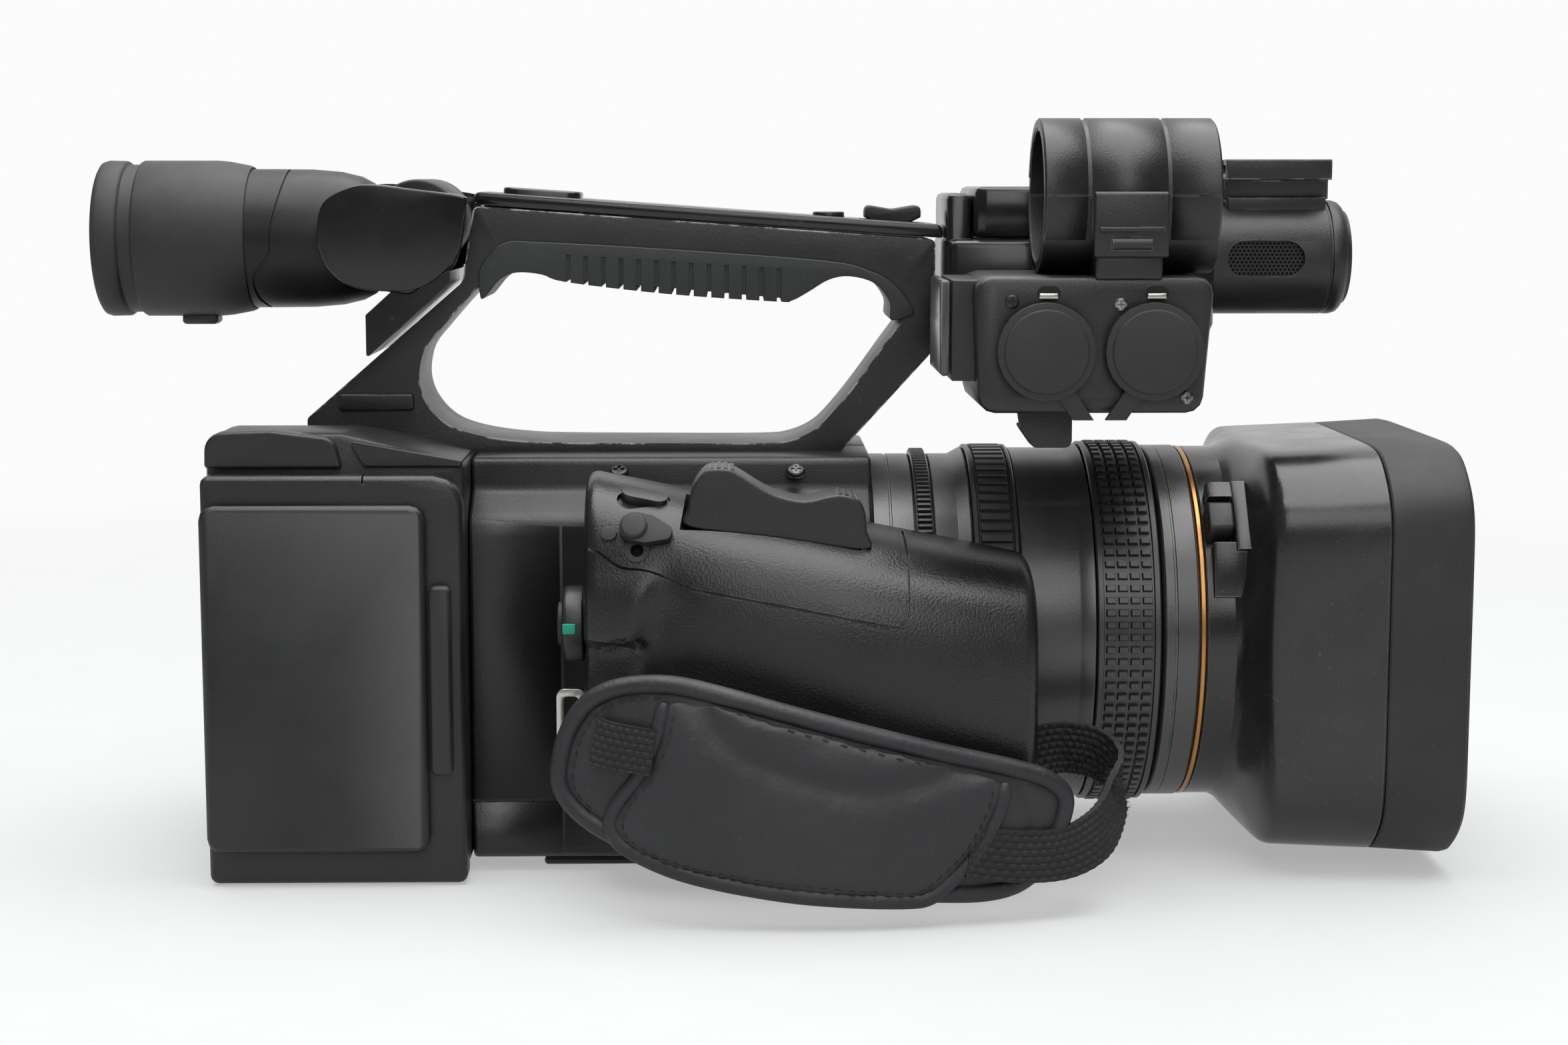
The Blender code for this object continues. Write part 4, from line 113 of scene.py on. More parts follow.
# %% Sweep the floor up into a backdrop
def take(piece):
    """Leave edit mode, and select one object alone."""
    if bpy.context.object and bpy.context.object.mode != "OBJECT":
        bpy.ops.object.mode_set(mode="OBJECT")
    bpy.ops.object.select_all(action="DESELECT")
    piece.select_set(True)
    bpy.context.view_layer.objects.active = piece


def drawn(name, points, links=(), faces=()):
    """A new mesh from points in millimetres, selected and ready for edit mode."""
    mesh = bpy.data.meshes.new(name)
    mesh.from_pydata([Vector(point) * MM for point in points], list(links), list(faces))
    piece = bpy.data.objects.new(name, mesh)
    bpy.context.scene.collection.objects.link(piece)
    take(piece)
    return piece


FLOOR_Z, FLOOR_SIDE, BEND_START, BEND_R, BEND_STEPS, WALL_TOP = -0.6, -1500.0, 900.0, 500.0, 12, 2400.0
side_view = [(FLOOR_SIDE, FLOOR_SIDE, FLOOR_Z), (FLOOR_SIDE, BEND_START, FLOOR_Z)]
for number in range(1, BEND_STEPS + 1):
    bend = math.radians(90.0 * number / BEND_STEPS)
    side_view.append((FLOOR_SIDE, BEND_START + BEND_R * math.sin(bend),
                      FLOOR_Z + BEND_R * (1.0 - math.cos(bend))))
side_view.append((FLOOR_SIDE, BEND_START + BEND_R, WALL_TOP))
floor = drawn("floor", side_view, [(i, i + 1) for i in range(len(side_view) - 1)])
bpy.ops.object.mode_set(mode="EDIT")
bpy.ops.mesh.select_all(action="SELECT")
bpy.ops.mesh.extrude_region_move(TRANSFORM_OT_translate={"value": (-2.0 * FLOOR_SIDE * MM, 0.0, 0.0)})
bpy.ops.mesh.select_all(action="SELECT")
bpy.ops.mesh.normals_make_consistent(inside=True)
bpy.ops.object.mode_set(mode="OBJECT")
bpy.ops.object.shade_smooth()
floor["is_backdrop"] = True
print("floor:", len(floor.data.polygons), "strips")


# %% Light the room
def soft_box(name, place, aim, size, power):
    """A square area lamp that faces a point; places in metres."""
    turn = (Vector(aim) - Vector(place)).to_track_quat("-Z", "Y").to_euler()
    bpy.ops.object.light_add(type="AREA", location=place, rotation=turn)
    lamp = bpy.context.object
    lamp.name = name
    lamp.data.shape = "SQUARE"
    lamp.data.size = size
    lamp.data.energy = power
    return lamp


soft_box("box_above", (0.05, -0.02, 1.15), (0.0, 0.02, 0.05), 1.5, 34.0)
soft_box("box_front", (0.12, -1.25, 0.74), (0.02, 0.0, 0.06), 0.7, 4.4)

ROOM_SEEN, ROOM_LIGHT, ROOM_MIRRORED = 0.97, 0.3, 0.12
WHITE, COOL_WHITE = (1.0, 1.0, 1.0, 1.0), (0.97, 0.985, 1.0, 1.0)
world = bpy.data.worlds.new("white_room")
bpy.context.scene.world = world
world.use_nodes = True
room = world.node_tree
room.nodes.clear()
sky_out = room.nodes.new("ShaderNodeOutputWorld")
skies = []
for colour, strength in ((WHITE, ROOM_SEEN), (COOL_WHITE, ROOM_LIGHT), (COOL_WHITE, ROOM_MIRRORED)):
    sky = room.nodes.new("ShaderNodeBackground")
    sky.inputs["Color"].default_value = colour
    sky.inputs["Strength"].default_value = strength
    skies.append(sky.outputs["Background"])
seen, fill, dim = skies
rays = room.nodes.new("ShaderNodeLightPath")
either = room.nodes.new("ShaderNodeMath")
either.operation = "MAXIMUM"
mirror_sky = room.nodes.new("ShaderNodeMixShader")
blend_sky = room.nodes.new("ShaderNodeMixShader")
room.links.new(rays.outputs["Is Glossy Ray"], mirror_sky.inputs["Fac"])
room.links.new(fill, mirror_sky.inputs[1])
room.links.new(dim, mirror_sky.inputs[2])
room.links.new(rays.outputs["Is Camera Ray"], either.inputs[0])
room.links.new(rays.outputs["Is Transmission Ray"], either.inputs[1])
room.links.new(either.outputs["Value"], blend_sky.inputs["Fac"])
room.links.new(mirror_sky.outputs["Shader"], blend_sky.inputs[1])
room.links.new(seen, blend_sky.inputs[2])
room.links.new(blend_sky.outputs["Shader"], sky_out.inputs["Surface"])
bpy.context.scene.view_settings.view_transform = "Standard"

# %% [markdown]
# ## Finishes
# Black is not one colour here. The moulded casing has a fine spark-eroded grain, the handle is painted
# metal that has chipped along its edges, some covers are glossy, and the grips are rubber. What they
# share is built once, as node groups: a grain, a lighter edge, settled dust and fine scratches. The
# lighter edge is chipped paint on the handle casting and the screws, and a painted edge highlight on
# the door, the hood and the other moulded covers. Each material then places the groups with its own
# values. Object coordinates are in metres, so a noise scale of 2000 makes a grain of about half a
# millimetre.

# %% Build the shared node groups
def new_group(name, inputs, outputs):
    """A shader node group with float sockets; returns the tree with its end nodes."""
    tree = bpy.data.node_groups.new(name, "ShaderNodeTree")
    for label, value in inputs:
        tree.interface.new_socket(label, in_out="INPUT", socket_type="NodeSocketFloat").default_value = value
    for label in outputs:
        tree.interface.new_socket(label, in_out="OUTPUT", socket_type="NodeSocketFloat")
    return tree, tree.nodes.new("NodeGroupInput"), tree.nodes.new("NodeGroupOutput")


def put(tree, kind, links=(), **values):
    """Add a node, set its properties, then its input sockets: a number sets one, a socket links to it."""
    made = tree.nodes.new(kind)
    for label, value in values.items():
        setattr(made, label, value)
    for socket, value in links:
        if hasattr(value, "is_linked"):
            tree.links.new(value, made.inputs[socket])
        else:
            made.inputs[socket].default_value = value
    return made


def math_node(tree, operation, one, two=0.0, clamp=False):
    """One step of arithmetic on two values, each a number or a socket; returns the result's socket."""
    made = put(tree, "ShaderNodeMath", [(0, one), (1, two)], operation=operation)
    made.use_clamp = clamp
    return made.outputs["Value"]


def ramp(tree, value, low, high):
    """Stretch a value so that low becomes 0 and high becomes 1."""
    made = put(tree, "ShaderNodeMapRange", [("Value", value), ("From Min", low), ("From Max", high)])
    return made.outputs["Result"]


def noise_at(tree, where, scale, detail=2.0, rough=0.5):
    """A cloudy value from 0 to 1 at each point of the object."""
    return put(tree, "ShaderNodeTexNoise", [("Vector", where), ("Scale", scale), ("Detail", detail),
                                            ("Roughness", rough)]).outputs["Fac"]


grain, start, end = new_group("moulded_grain", [("Scale", 2000.0)], ["Height", "Tone"])
where = put(grain, "ShaderNodeTexCoord").outputs["Object"]
grain.links.new(noise_at(grain, where, start.outputs["Scale"], 2.0, 0.6), end.inputs["Height"])
grain.links.new(ramp(grain, noise_at(grain, where, 45.0, 4.0, 0.6), 0.35, 0.68), end.inputs["Tone"])

# A lighter rim along edges, broken up by noise: chipped paint on the casting, painted edge highlight on the
# mouldings.
wear_and_sheen, start, end = new_group("edge_wear_and_sheen", [("Radius", 0.0006), ("Amount", 0.5)], ["Mask"])
where = put(wear_and_sheen, "ShaderNodeTexCoord").outputs["Object"]
soft = put(wear_and_sheen, "ShaderNodeBevel", [("Radius", start.outputs["Radius"])], samples=6).outputs["Normal"]
flat = put(wear_and_sheen, "ShaderNodeNewGeometry").outputs["Normal"]
agree = put(wear_and_sheen, "ShaderNodeVectorMath", [(0, soft), (1, flat)], operation="DOT_PRODUCT").outputs["Value"]
bend = ramp(wear_and_sheen, math_node(wear_and_sheen, "SUBTRACT", 1.0, agree), 0.004, 0.06)
patch = math_node(wear_and_sheen, "ADD", noise_at(wear_and_sheen, where, 120.0, 6.0, 0.7), start.outputs["Amount"])
chips_and_sheen = ramp(wear_and_sheen, math_node(wear_and_sheen, "MULTIPLY", bend, patch), 0.62, 0.72)
wear_and_sheen.links.new(chips_and_sheen, end.inputs["Mask"])

dust, start, end = new_group("settled_dust", [("Amount", 0.3)], ["Mask"])
where = put(dust, "ShaderNodeTexCoord").outputs["Object"]
up = put(dust, "ShaderNodeSeparateXYZ", [("Vector", put(dust, "ShaderNodeNewGeometry").outputs["Normal"])])
lying = ramp(dust, up.outputs["Z"], -0.35, 1.0)
cloud = ramp(dust, noise_at(dust, where, 60.0, 6.0, 0.65), 0.42, 0.8)
speck = ramp(dust, noise_at(dust, where, 900.0, 1.0, 0.4), 0.73, 0.8)
film = math_node(dust, "MAXIMUM", math_node(dust, "MULTIPLY", cloud, lying),
                 math_node(dust, "MULTIPLY", speck, 0.8))
dust.links.new(math_node(dust, "MULTIPLY", film, start.outputs["Amount"], True), end.inputs["Mask"])

scratch, start, end = new_group("fine_scratches", [("Amount", 0.5)], ["Mask"])
where = put(scratch, "ShaderNodeTexCoord").outputs["Object"]
lines = []
for turn, stretch in ((0.6, (650.0, 650.0, 34.0)), (-0.9, (34.0, 650.0, 650.0))):
    turned = put(scratch, "ShaderNodeMapping", [("Vector", where), ("Rotation", (0.4, turn, 0.3))])
    drawn_out = put(scratch, "ShaderNodeMapping", [("Vector", turned.outputs["Vector"]), ("Scale", stretch)])
    lines.append(ramp(scratch, noise_at(scratch, drawn_out.outputs["Vector"], 1.0, 1.0, 0.4), 0.74, 0.77))
both = math_node(scratch, "MAXIMUM", lines[0], lines[1])
patch = ramp(scratch, noise_at(scratch, where, 70.0, 2.0, 0.5), 0.5, 0.6)
marks = math_node(scratch, "MULTIPLY", both, patch)
scratch.links.new(math_node(scratch, "MULTIPLY", marks, start.outputs["Amount"], True), end.inputs["Mask"])
print("groups:", [item.name for item in bpy.data.node_groups])


# %% Mix the hard finishes
def mixed(tree, mask, one, two):
    """A colour between two, each a colour or a socket, by a mask."""
    made = put(tree, "ShaderNodeMix", [], data_type="RGBA")
    for socket, value in (("A_Color", one), ("B_Color", two)):
        target = [item for item in made.inputs if item.identifier == socket][0]
        if hasattr(value, "is_linked"):
            tree.links.new(value, target)
        else:
            target.default_value = (*value, 1.0)
    tree.links.new(mask, made.inputs["Factor"])
    return [item for item in made.outputs if item.identifier == "Result_Color"][0]


def placed(tree, group, **values):
    """Place a shared group and set its values."""
    made = tree.nodes.new("ShaderNodeGroup")
    made.node_tree = group
    for label, value in values.items():
        made.inputs[label].default_value = value
    return made


DUST_COLOUR = (0.16, 0.155, 0.145)


def hard_finish(name, dark, light, rough, grain_scale, bump, edge=None, dusty=0.2, scratched=0.15,
                metallic=0.0, sheen=0.5):
    """A moulded, painted or rubber surface; edge is (colour, radius, amount) of a lighter edge: chipped
    paint on the casting and screws, a painted edge highlight on the mouldings.
    """
    made = bpy.data.materials.new(name)
    made.use_nodes = True
    tree = made.node_tree
    shader = tree.nodes["Principled BSDF"]
    shader.inputs["Metallic"].default_value = metallic
    shader.inputs["Specular IOR Level"].default_value = sheen
    skin = placed(tree, grain, Scale=grain_scale)
    colour = mixed(tree, skin.outputs["Tone"], dark, light)
    marks = placed(tree, scratch, Amount=scratched)
    pale = tuple(min(1.0, 3.0 * value + 0.02) for value in light)
    colour = mixed(tree, marks.outputs["Mask"], colour, pale)
    if edge:
        worn_and_lit = placed(tree, wear_and_sheen, Radius=edge[1] * MM, Amount=edge[2])
        colour = mixed(tree, worn_and_lit.outputs["Mask"], colour, edge[0])
    film = placed(tree, dust, Amount=dusty)
    colour = mixed(tree, film.outputs["Mask"], colour, DUST_COLOUR)
    tree.links.new(colour, shader.inputs["Base Color"])
    matt = math_node(tree, "MULTIPLY", film.outputs["Mask"], 0.35)
    base = math_node(tree, "MULTIPLY_ADD", skin.outputs["Tone"], 0.1)
    base.node.inputs[2].default_value = rough - 0.05
    tree.links.new(math_node(tree, "ADD", base, matt, True), shader.inputs["Roughness"])
    relief = put(tree, "ShaderNodeBump", [("Height", skin.outputs["Height"]), ("Strength", 1.0),
                                          ("Distance", bump * MM)])
    tree.links.new(relief.outputs["Normal"], shader.inputs["Normal"])
    return made


# The edge colours of the casing, door, grip, gloss and hood finishes are a painted edge highlight.
CASING = hard_finish("textured_casing", (0.0076, 0.0078, 0.0081), (0.0116, 0.0118, 0.0122), 0.41, 2000.0,
                     0.06, ((0.07, 0.07, 0.068), 0.5, 0.22), 0.1, 0.12)
DOOR = hard_finish("satin_casing", (0.0095, 0.01, 0.0103), (0.012, 0.0125, 0.013), 0.46, 2600.0, 0.025,
                   ((0.09, 0.09, 0.088), 0.5, 0.26), 0.06, 0.06)
GRIP_SKIN = hard_finish("grip_casing", (0.0062, 0.0064, 0.0067), (0.0098, 0.01, 0.0104), 0.32, 1700.0, 0.11,
                        ((0.06, 0.06, 0.06), 0.5, 0.12), 0.06, 0.1)
GLOSS = hard_finish("gloss_casing", (0.005, 0.005, 0.0055), (0.008, 0.008, 0.0085), 0.22, 1200.0, 0.004,
                    ((0.12, 0.11, 0.1), 0.4, 0.2), 0.1, 0.3)
CAST = hard_finish("painted_casting", (0.0055, 0.0055, 0.006), (0.009, 0.009, 0.0095), 0.4, 1600.0, 0.05,
                   ((0.46, 0.45, 0.42), 0.9, 0.14), 0.08, 0.25)
RUBBER = hard_finish("rubber", (0.0105, 0.0105, 0.0105), (0.0155, 0.0155, 0.0153), 0.6, 1800.0, 0.02,
                     None, 0.2, 0.0)
RING_RUBBER = hard_finish("ring_rubber", (0.015, 0.015, 0.0155), (0.022, 0.022, 0.0225), 0.38, 1800.0, 0.015,
                          None, 0.1, 0.0, sheen=0.75)
PAD_RUBBER = hard_finish("handle_rubber", (0.0112, 0.0126, 0.0126), (0.016, 0.0178, 0.0178), 0.5, 1500.0,
                         0.02, None, 0.08, 0.0)
HOOD_SKIN = hard_finish("hood_casing", (0.011, 0.011, 0.0115), (0.016, 0.016, 0.0165), 0.23, 2200.0, 0.025,
                        ((0.11, 0.11, 0.11), 0.6, 0.3), 0.26, 0.25)
METAL = hard_finish("bright_metal", (0.5, 0.48, 0.45), (0.62, 0.6, 0.57), 0.28, 900.0, 0.01,
                    None, 0.1, 0.1, 1.0)
DARK_METAL = hard_finish("dark_screw", (0.1, 0.1, 0.095), (0.16, 0.155, 0.15), 0.36, 900.0, 0.01,
                         ((0.5, 0.48, 0.44), 0.3, 0.5), 0.1, 0.1, 0.9)
GOLD = hard_finish("orange_ring", (0.42, 0.205, 0.066), (0.52, 0.27, 0.095), 0.3, 700.0, 0.006,
                   None, 0.05, 0.1, 0.85)
BOARD = hard_finish("circuit_board", (0.015, 0.1, 0.05), (0.02, 0.14, 0.07), 0.4, 700.0, 0.02,
                    None, 0.05, 0.0)
# Near-black: the sensor block's own colour inside, and painted shade in slots, holes, vents and behind the
# grilles.
DARK = hard_finish("dark_inside_and_painted_shade", (0.003, 0.003, 0.003), (0.005, 0.005, 0.005), 0.85, 1200.0, 0.02,
                   None, 0.0, 0.0)
PAPER = bpy.data.materials.new("pale_sheet")
PAPER.use_nodes = True
tree = PAPER.node_tree
paper = tree.nodes["Principled BSDF"]
paper.inputs["Roughness"].default_value = 0.8
sheet = placed(tree, grain, Scale=900.0)
tree.links.new(mixed(tree, sheet.outputs["Tone"], (0.48, 0.487, 0.49), (0.493, 0.5, 0.503)),
               paper.inputs["Base Color"])
glow = put(tree, "ShaderNodeEmission", [("Color", WHITE), ("Strength", ROOM_SEEN)])
away = put(tree, "ShaderNodeVectorMath", [("Vector", put(tree, "ShaderNodeTexCoord").outputs["Object"])])
away.operation = "LENGTH"
far = ramp(tree, away.outputs["Value"], 0.28, 0.8)
path = put(tree, "ShaderNodeLightPath")
near = math_node(tree, "MULTIPLY_ADD", far, 0.6)
near.node.inputs[2].default_value = 0.4
looked_at = math_node(tree, "MAXIMUM", path.outputs["Is Camera Ray"], path.outputs["Is Glossy Ray"])
looked_at = math_node(tree, "MAXIMUM", looked_at, path.outputs["Is Transmission Ray"])
share = math_node(tree, "MULTIPLY", near, looked_at)
both = put(tree, "ShaderNodeMixShader", [("Fac", share), (1, paper.outputs["BSDF"]),
                                         (2, glow.outputs["Emission"])])
tree.links.new(both.outputs["Shader"], tree.nodes["Material Output"].inputs["Surface"])
floor.data.materials.append(PAPER)
print("finishes:", len(bpy.data.materials))


# %% Clear and dark glass
def glass(name, colour, rough, through, dusty):
    """Glass keeps plain values, with a little dust in its roughness."""
    made = bpy.data.materials.new(name)
    made.use_nodes = True
    tree = made.node_tree
    shader = tree.nodes["Principled BSDF"]
    shader.inputs["Transmission Weight"].default_value = through
    shader.inputs["Metallic"].default_value = 0.0
    shader.inputs["IOR"].default_value = 1.5
    film = placed(tree, dust, Amount=dusty)
    tree.links.new(mixed(tree, film.outputs["Mask"], colour, (0.3, 0.3, 0.3)), shader.inputs["Base Color"])
    matt = math_node(tree, "MULTIPLY_ADD", film.outputs["Mask"], 0.3)
    matt.node.inputs[2].default_value = rough
    tree.links.new(matt, shader.inputs["Roughness"])
    return made


CLEAR = glass("clear_cover", (0.22, 0.23, 0.235), 0.22, 0.85, 0.3)
LENS_GLASS = glass("coated_glass", (0.006, 0.012, 0.022), 0.03, 0.0, 0.1)
SCREEN = glass("dark_screen", (0.004, 0.005, 0.006), 0.06, 0.0, 0.06)
print("glass ready")

# %% [markdown]
# ## Tools for shaping
# Most of the pieces are made in one of three ways. A `slab` is a flat outline, filled, extruded and
# softened along its rims, as a moulded panel is. A `spun` piece is half a section turned about the
# lens line, as on a lathe. A `refined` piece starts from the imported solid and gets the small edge
# radius that every real moulding has, because an edge without one catches no light.

# %% Define the shaping helpers
PLANES = {"xz": ((1, 0, 0), (0, 0, 1), (0, 1, 0)), "yz": ((0, 1, 0), (0, 0, 1), (1, 0, 0)),
          "xy": ((1, 0, 0), (0, 1, 0), (0, 0, 1))}


def rounded(corners, steps=6):
    """An outline from (u, v, radius) corners, each replaced by an arc."""
    outline = []
    for i, (u, v, radius) in enumerate(corners):
        here = Vector((u, v))
        back = (Vector(corners[i - 1][:2]) - here).normalized()
        ahead = (Vector(corners[(i + 1) % len(corners)][:2]) - here).normalized()
        half = back.angle(ahead) / 2.0
        if radius <= 0.0 or half > 1.56:
            outline.append((u, v))
            continue
        reach = radius / math.tan(half)
        middle = here + (back + ahead).normalized() * (radius / math.sin(half))
        one, two = here + back * reach - middle, here + ahead * reach - middle
        for step in range(steps + 1):
            outline.append(tuple(middle + one.normalized().slerp(two.normalized(), step / steps) * radius))
    return outline


def rectangle(u0, v0, u1, v1, radius, steps=6):
    """The outline of a rectangle between two corners, all four rounded."""
    return rounded([(u0, v0, radius), (u1, v0, radius), (u1, v1, radius), (u0, v1, radius)], steps)


def oval(u, v, half_u, half_v, steps=14):
    """A slot outline with round ends."""
    end = min(half_u, half_v) - 0.01
    return rectangle(u - half_u, v - half_v, u + half_u, v + half_v, end, steps)


def smooth_line(points, steps=5, closed=True):
    """A smooth curve through points of any dimension (Catmull-Rom)."""
    count, made = len(points), []
    for i in range(count if closed else count - 1):
        near = [Vector(points[(i + k) % count if closed else min(max(i + k, 0), count - 1)])
                for k in (-1, 0, 1, 2)]
        for step in range(steps):
            t = step / steps
            made.append(tuple(0.5 * (2 * near[1] + (near[2] - near[0]) * t
                                     + (2 * near[0] - 5 * near[1] + 4 * near[2] - near[3]) * t ** 2
                                     + (3 * near[1] - near[0] - 3 * near[2] + near[3]) * t ** 3)))
    return made if closed else made + [tuple(points[-1])]


def disc(u, v, radius, steps=32):
    """The outline of a circle."""
    return [(u + radius * math.cos(math.tau * i / steps), v + radius * math.sin(math.tau * i / steps))
            for i in range(steps)]


def soften(piece, axis, levels, width, steps=3):
    """Bevel the rim edges that lie at these levels along one axis, in edit mode."""
    bpy.ops.mesh.select_mode(type="EDGE")
    bpy.ops.mesh.select_all(action="DESELECT")
    form = bmesh.from_edit_mesh(piece.data)
    for edge in form.edges:
        flat = any(all(abs(vert.co[axis] - level * MM) < 1e-6 for vert in edge.verts) for level in levels)
        if flat and any(abs(face.normal[axis]) < 0.5 for face in edge.link_faces):
            edge.select_set(True)
    bmesh.update_edit_mesh(piece.data)
    bpy.ops.mesh.bevel(offset=width * MM, segments=steps, profile=0.5, clamp_overlap=True)


def slab(name, outlines, plane, low, high, edge=0.0, back=False, steps=3):
    """Fill an outline (holes after the first), extrude it from low to high, soften the high rim or both."""
    across, upward, out = (Vector(axis) for axis in PLANES[plane])
    points, links = [], []
    for outline in outlines:
        first, count = len(points), len(outline)
        points += [across * u + upward * v + out * low for u, v in outline]
        links += [(first + i, first + (i + 1) % count) for i in range(count)]
    piece = drawn(name, points, links)
    bpy.ops.object.mode_set(mode="EDIT")
    bpy.ops.mesh.select_all(action="SELECT")
    if len(outlines) == 1:
        bpy.ops.mesh.edge_face_add()
    else:
        bpy.ops.mesh.fill(use_beauty=True)
    bpy.ops.mesh.extrude_region_move(TRANSFORM_OT_translate={"value": out * (high - low) * MM})
    bpy.ops.mesh.select_all(action="SELECT")
    bpy.ops.mesh.normals_make_consistent(inside=False)
    if edge:
        soften(piece, [abs(v) for v in out].index(1.0), [high, low] if back else [high], edge, steps)
    bpy.ops.object.mode_set(mode="OBJECT")
    return piece


def spun(name, section, y=0.0, z=0.0, steps=128, closed=True):
    """Turn a section of (x, radius) points about a line along X."""
    count = len(section)
    links = [(i, (i + 1) % count) for i in range(count if closed else count - 1)]
    piece = drawn(name, [(x, y, z + radius) for x, radius in section], links)
    bpy.ops.object.mode_set(mode="EDIT")
    bpy.ops.mesh.select_all(action="SELECT")
    bpy.ops.mesh.spin(steps=steps, angle=math.tau, center=(0.0, y * MM, z * MM), axis=(1.0, 0.0, 0.0))
    bpy.ops.mesh.select_all(action="SELECT")
    bpy.ops.mesh.remove_doubles(threshold=1e-6)
    bpy.ops.mesh.normals_make_consistent(inside=False)
    bpy.ops.object.mode_set(mode="OBJECT")
    return piece


def use(piece, kind, **settings):
    """Add a modifier, set it and apply it."""
    take(piece)
    step = piece.modifiers.new(kind.lower(), kind)
    for label, value in settings.items():
        setattr(step, label, value)
    bpy.ops.object.modifier_apply(modifier=step.name)
    return piece


def joined(*pieces):
    """Join several pieces into the first."""
    take(pieces[0])
    for piece in pieces:
        piece.select_set(True)
    if len(pieces) > 1:
        bpy.ops.object.join()
    return bpy.context.object


def cut(piece, tool):
    """Cut a piece with a tool, which is used up."""
    use(piece, "BOOLEAN", operation="DIFFERENCE", object=tool, solver="EXACT")
    bpy.data.objects.remove(tool)
    return piece


SHARP_ANGLE = 38.0


def refined(node, width=0.5, segments=3):
    """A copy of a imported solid: merged, its coplanar facets dissolved, its edges rounded."""
    piece = bpy.data.objects.new(node + "_finish", frame["nodes"][node].data.copy())
    bpy.context.scene.collection.objects.link(piece)
    take(piece)
    bpy.ops.object.mode_set(mode="EDIT")
    bpy.ops.mesh.select_all(action="SELECT")
    bpy.ops.mesh.remove_doubles(threshold=2e-6)
    bpy.ops.mesh.dissolve_limited(angle_limit=math.radians(0.8))
    bpy.ops.mesh.select_all(action="SELECT")
    bpy.ops.mesh.normals_make_consistent(inside=False)
    bpy.ops.object.mode_set(mode="OBJECT")
    piece.data.materials.clear()
    if width:
        use(piece, "BEVEL", width=width * MM, segments=segments, limit_method="ANGLE",
            angle_limit=math.radians(SHARP_ANGLE), use_clamp_overlap=True)
    return piece


def dress(piece, finish, body, slot, *nodes, angle=35.0):
    """Smooth a finished piece, give it its material, and let it ride on a body."""
    take(piece)
    bpy.ops.object.shade_smooth_by_angle(angle=math.radians(angle))
    piece.data.materials.clear()
    piece.data.materials.append(finish)
    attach(piece, body)
    if nodes:
        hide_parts(*nodes)
    return piece


def block(name, low, high, edge=0.0):
    """A box between two corners, its edges rounded."""
    middle = [(a + b) / 2.0 * MM for a, b in zip(low, high)]
    take(frame["bodies"]["camera_body"])
    bpy.ops.mesh.primitive_cube_add(size=1.0, location=middle)
    piece = bpy.context.object
    piece.name = name
    piece.scale = [(b - a) * MM for a, b in zip(low, high)]
    bpy.ops.object.transform_apply(location=True, rotation=True, scale=True)
    if edge:
        use(piece, "BEVEL", width=edge * MM, segments=3, limit_method="NONE")
    return piece


ALONG_X, ALONG_Y = (0.0, math.pi / 2, 0.0), (math.pi / 2, 0.0, 0.0)


def rod(name, place, lying, radius, length, sides):
    """A round bar about a place, lying along X or along Y."""
    take(frame["bodies"]["camera_body"])
    bpy.ops.mesh.primitive_cylinder_add(vertices=sides, radius=radius * MM, depth=length * MM,
                                        location=[value * MM for value in place], rotation=lying)
    piece = bpy.context.object
    piece.name = name
    bpy.ops.object.transform_apply(location=True, rotation=True, scale=True)
    return piece


def along(piece, place, facing):
    """Move a piece made at the origin, facing +Z, to a place so that it faces a direction."""
    turn = Vector(facing).to_track_quat("Z", "Y").to_matrix().to_4x4()
    piece.data.transform(Matrix.Translation(Vector(place) * MM) @ turn)
    return piece


def screw_head(name, radius=2.0, high=0.8):
    """A pan head with a cross in it, made at the origin, facing +Z."""
    head = slab(name, [disc(0.0, 0.0, radius, 24)], "xy", -0.4, high, 0.35 * radius)
    arm, reach = 0.17 * radius, 0.6 * radius
    cross = [(arm, arm), (reach, arm), (reach, -arm), (arm, -arm), (arm, -reach), (-arm, -reach),
             (-arm, -arm), (-reach, -arm), (-reach, arm), (-arm, arm), (-arm, reach), (arm, reach)]
    return cut(head, slab("cross", [cross[::-1]], "xy", high - 0.5, high + 1.0))


def copies(model, name, places):
    """Copies of one model, each (place, facing), joined into one piece; the model is used up."""
    made = []
    for place, facing in places:
        one = bpy.data.objects.new(name, model.data.copy())
        bpy.context.scene.collection.objects.link(one)
        made.append(along(one, place, facing))
    bpy.data.objects.remove(model)
    return joined(*made)


print("helpers ready")

# %% [markdown]
# ## Casing
# The casing is two shells that meet on the middle line, a base plate and a rear housing. The shells
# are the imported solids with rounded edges. A moulded shell is never one blank wall, so the seam of the
# side cover is cut in as a groove, and the screws that hold the deck down stand on their bosses.

# %% Finish the base and the shells
dress(refined("base_plate", 0.5), CASING, "camera_body", "casing", "base_plate")
shell = refined("body_shell_right", 0.9)
for low, high in (((-35.2, -39.5, 0.0), (-34.5, -37.9, 90.0)), ((-60.0, -39.5, 17.0), (-34.8, -37.9, 17.7))):
    cut(shell, block("seam", low, high))
dress(shell, CASING, "camera_body", "casing", "body_shell_right")
shell = refined("body_shell_left", 0.9)
for low, high in (((-46.0, 45.3, 0.0), (-45.3, 47.0, 86.0)), ((-60.0, 45.3, 24.0), (45.0, 47.0, 24.7))):
    cut(shell, block("seam", low, high))
dress(shell, CASING, "camera_body", "casing", "body_shell_left")
deck_screws = copies(screw_head("deck_screw", 2.3, 0.9), "deck_screws",
                     [((x, side * 30.6, 97.3), (0.0, side * 0.5, 0.8)) for x in (-21.0, 22.1)
                      for side in (-1, 1)])
dress(deck_screws, CAST, "camera_body", "casing")
print("casing: screws", len(deck_screws.data.polygons), "faces")

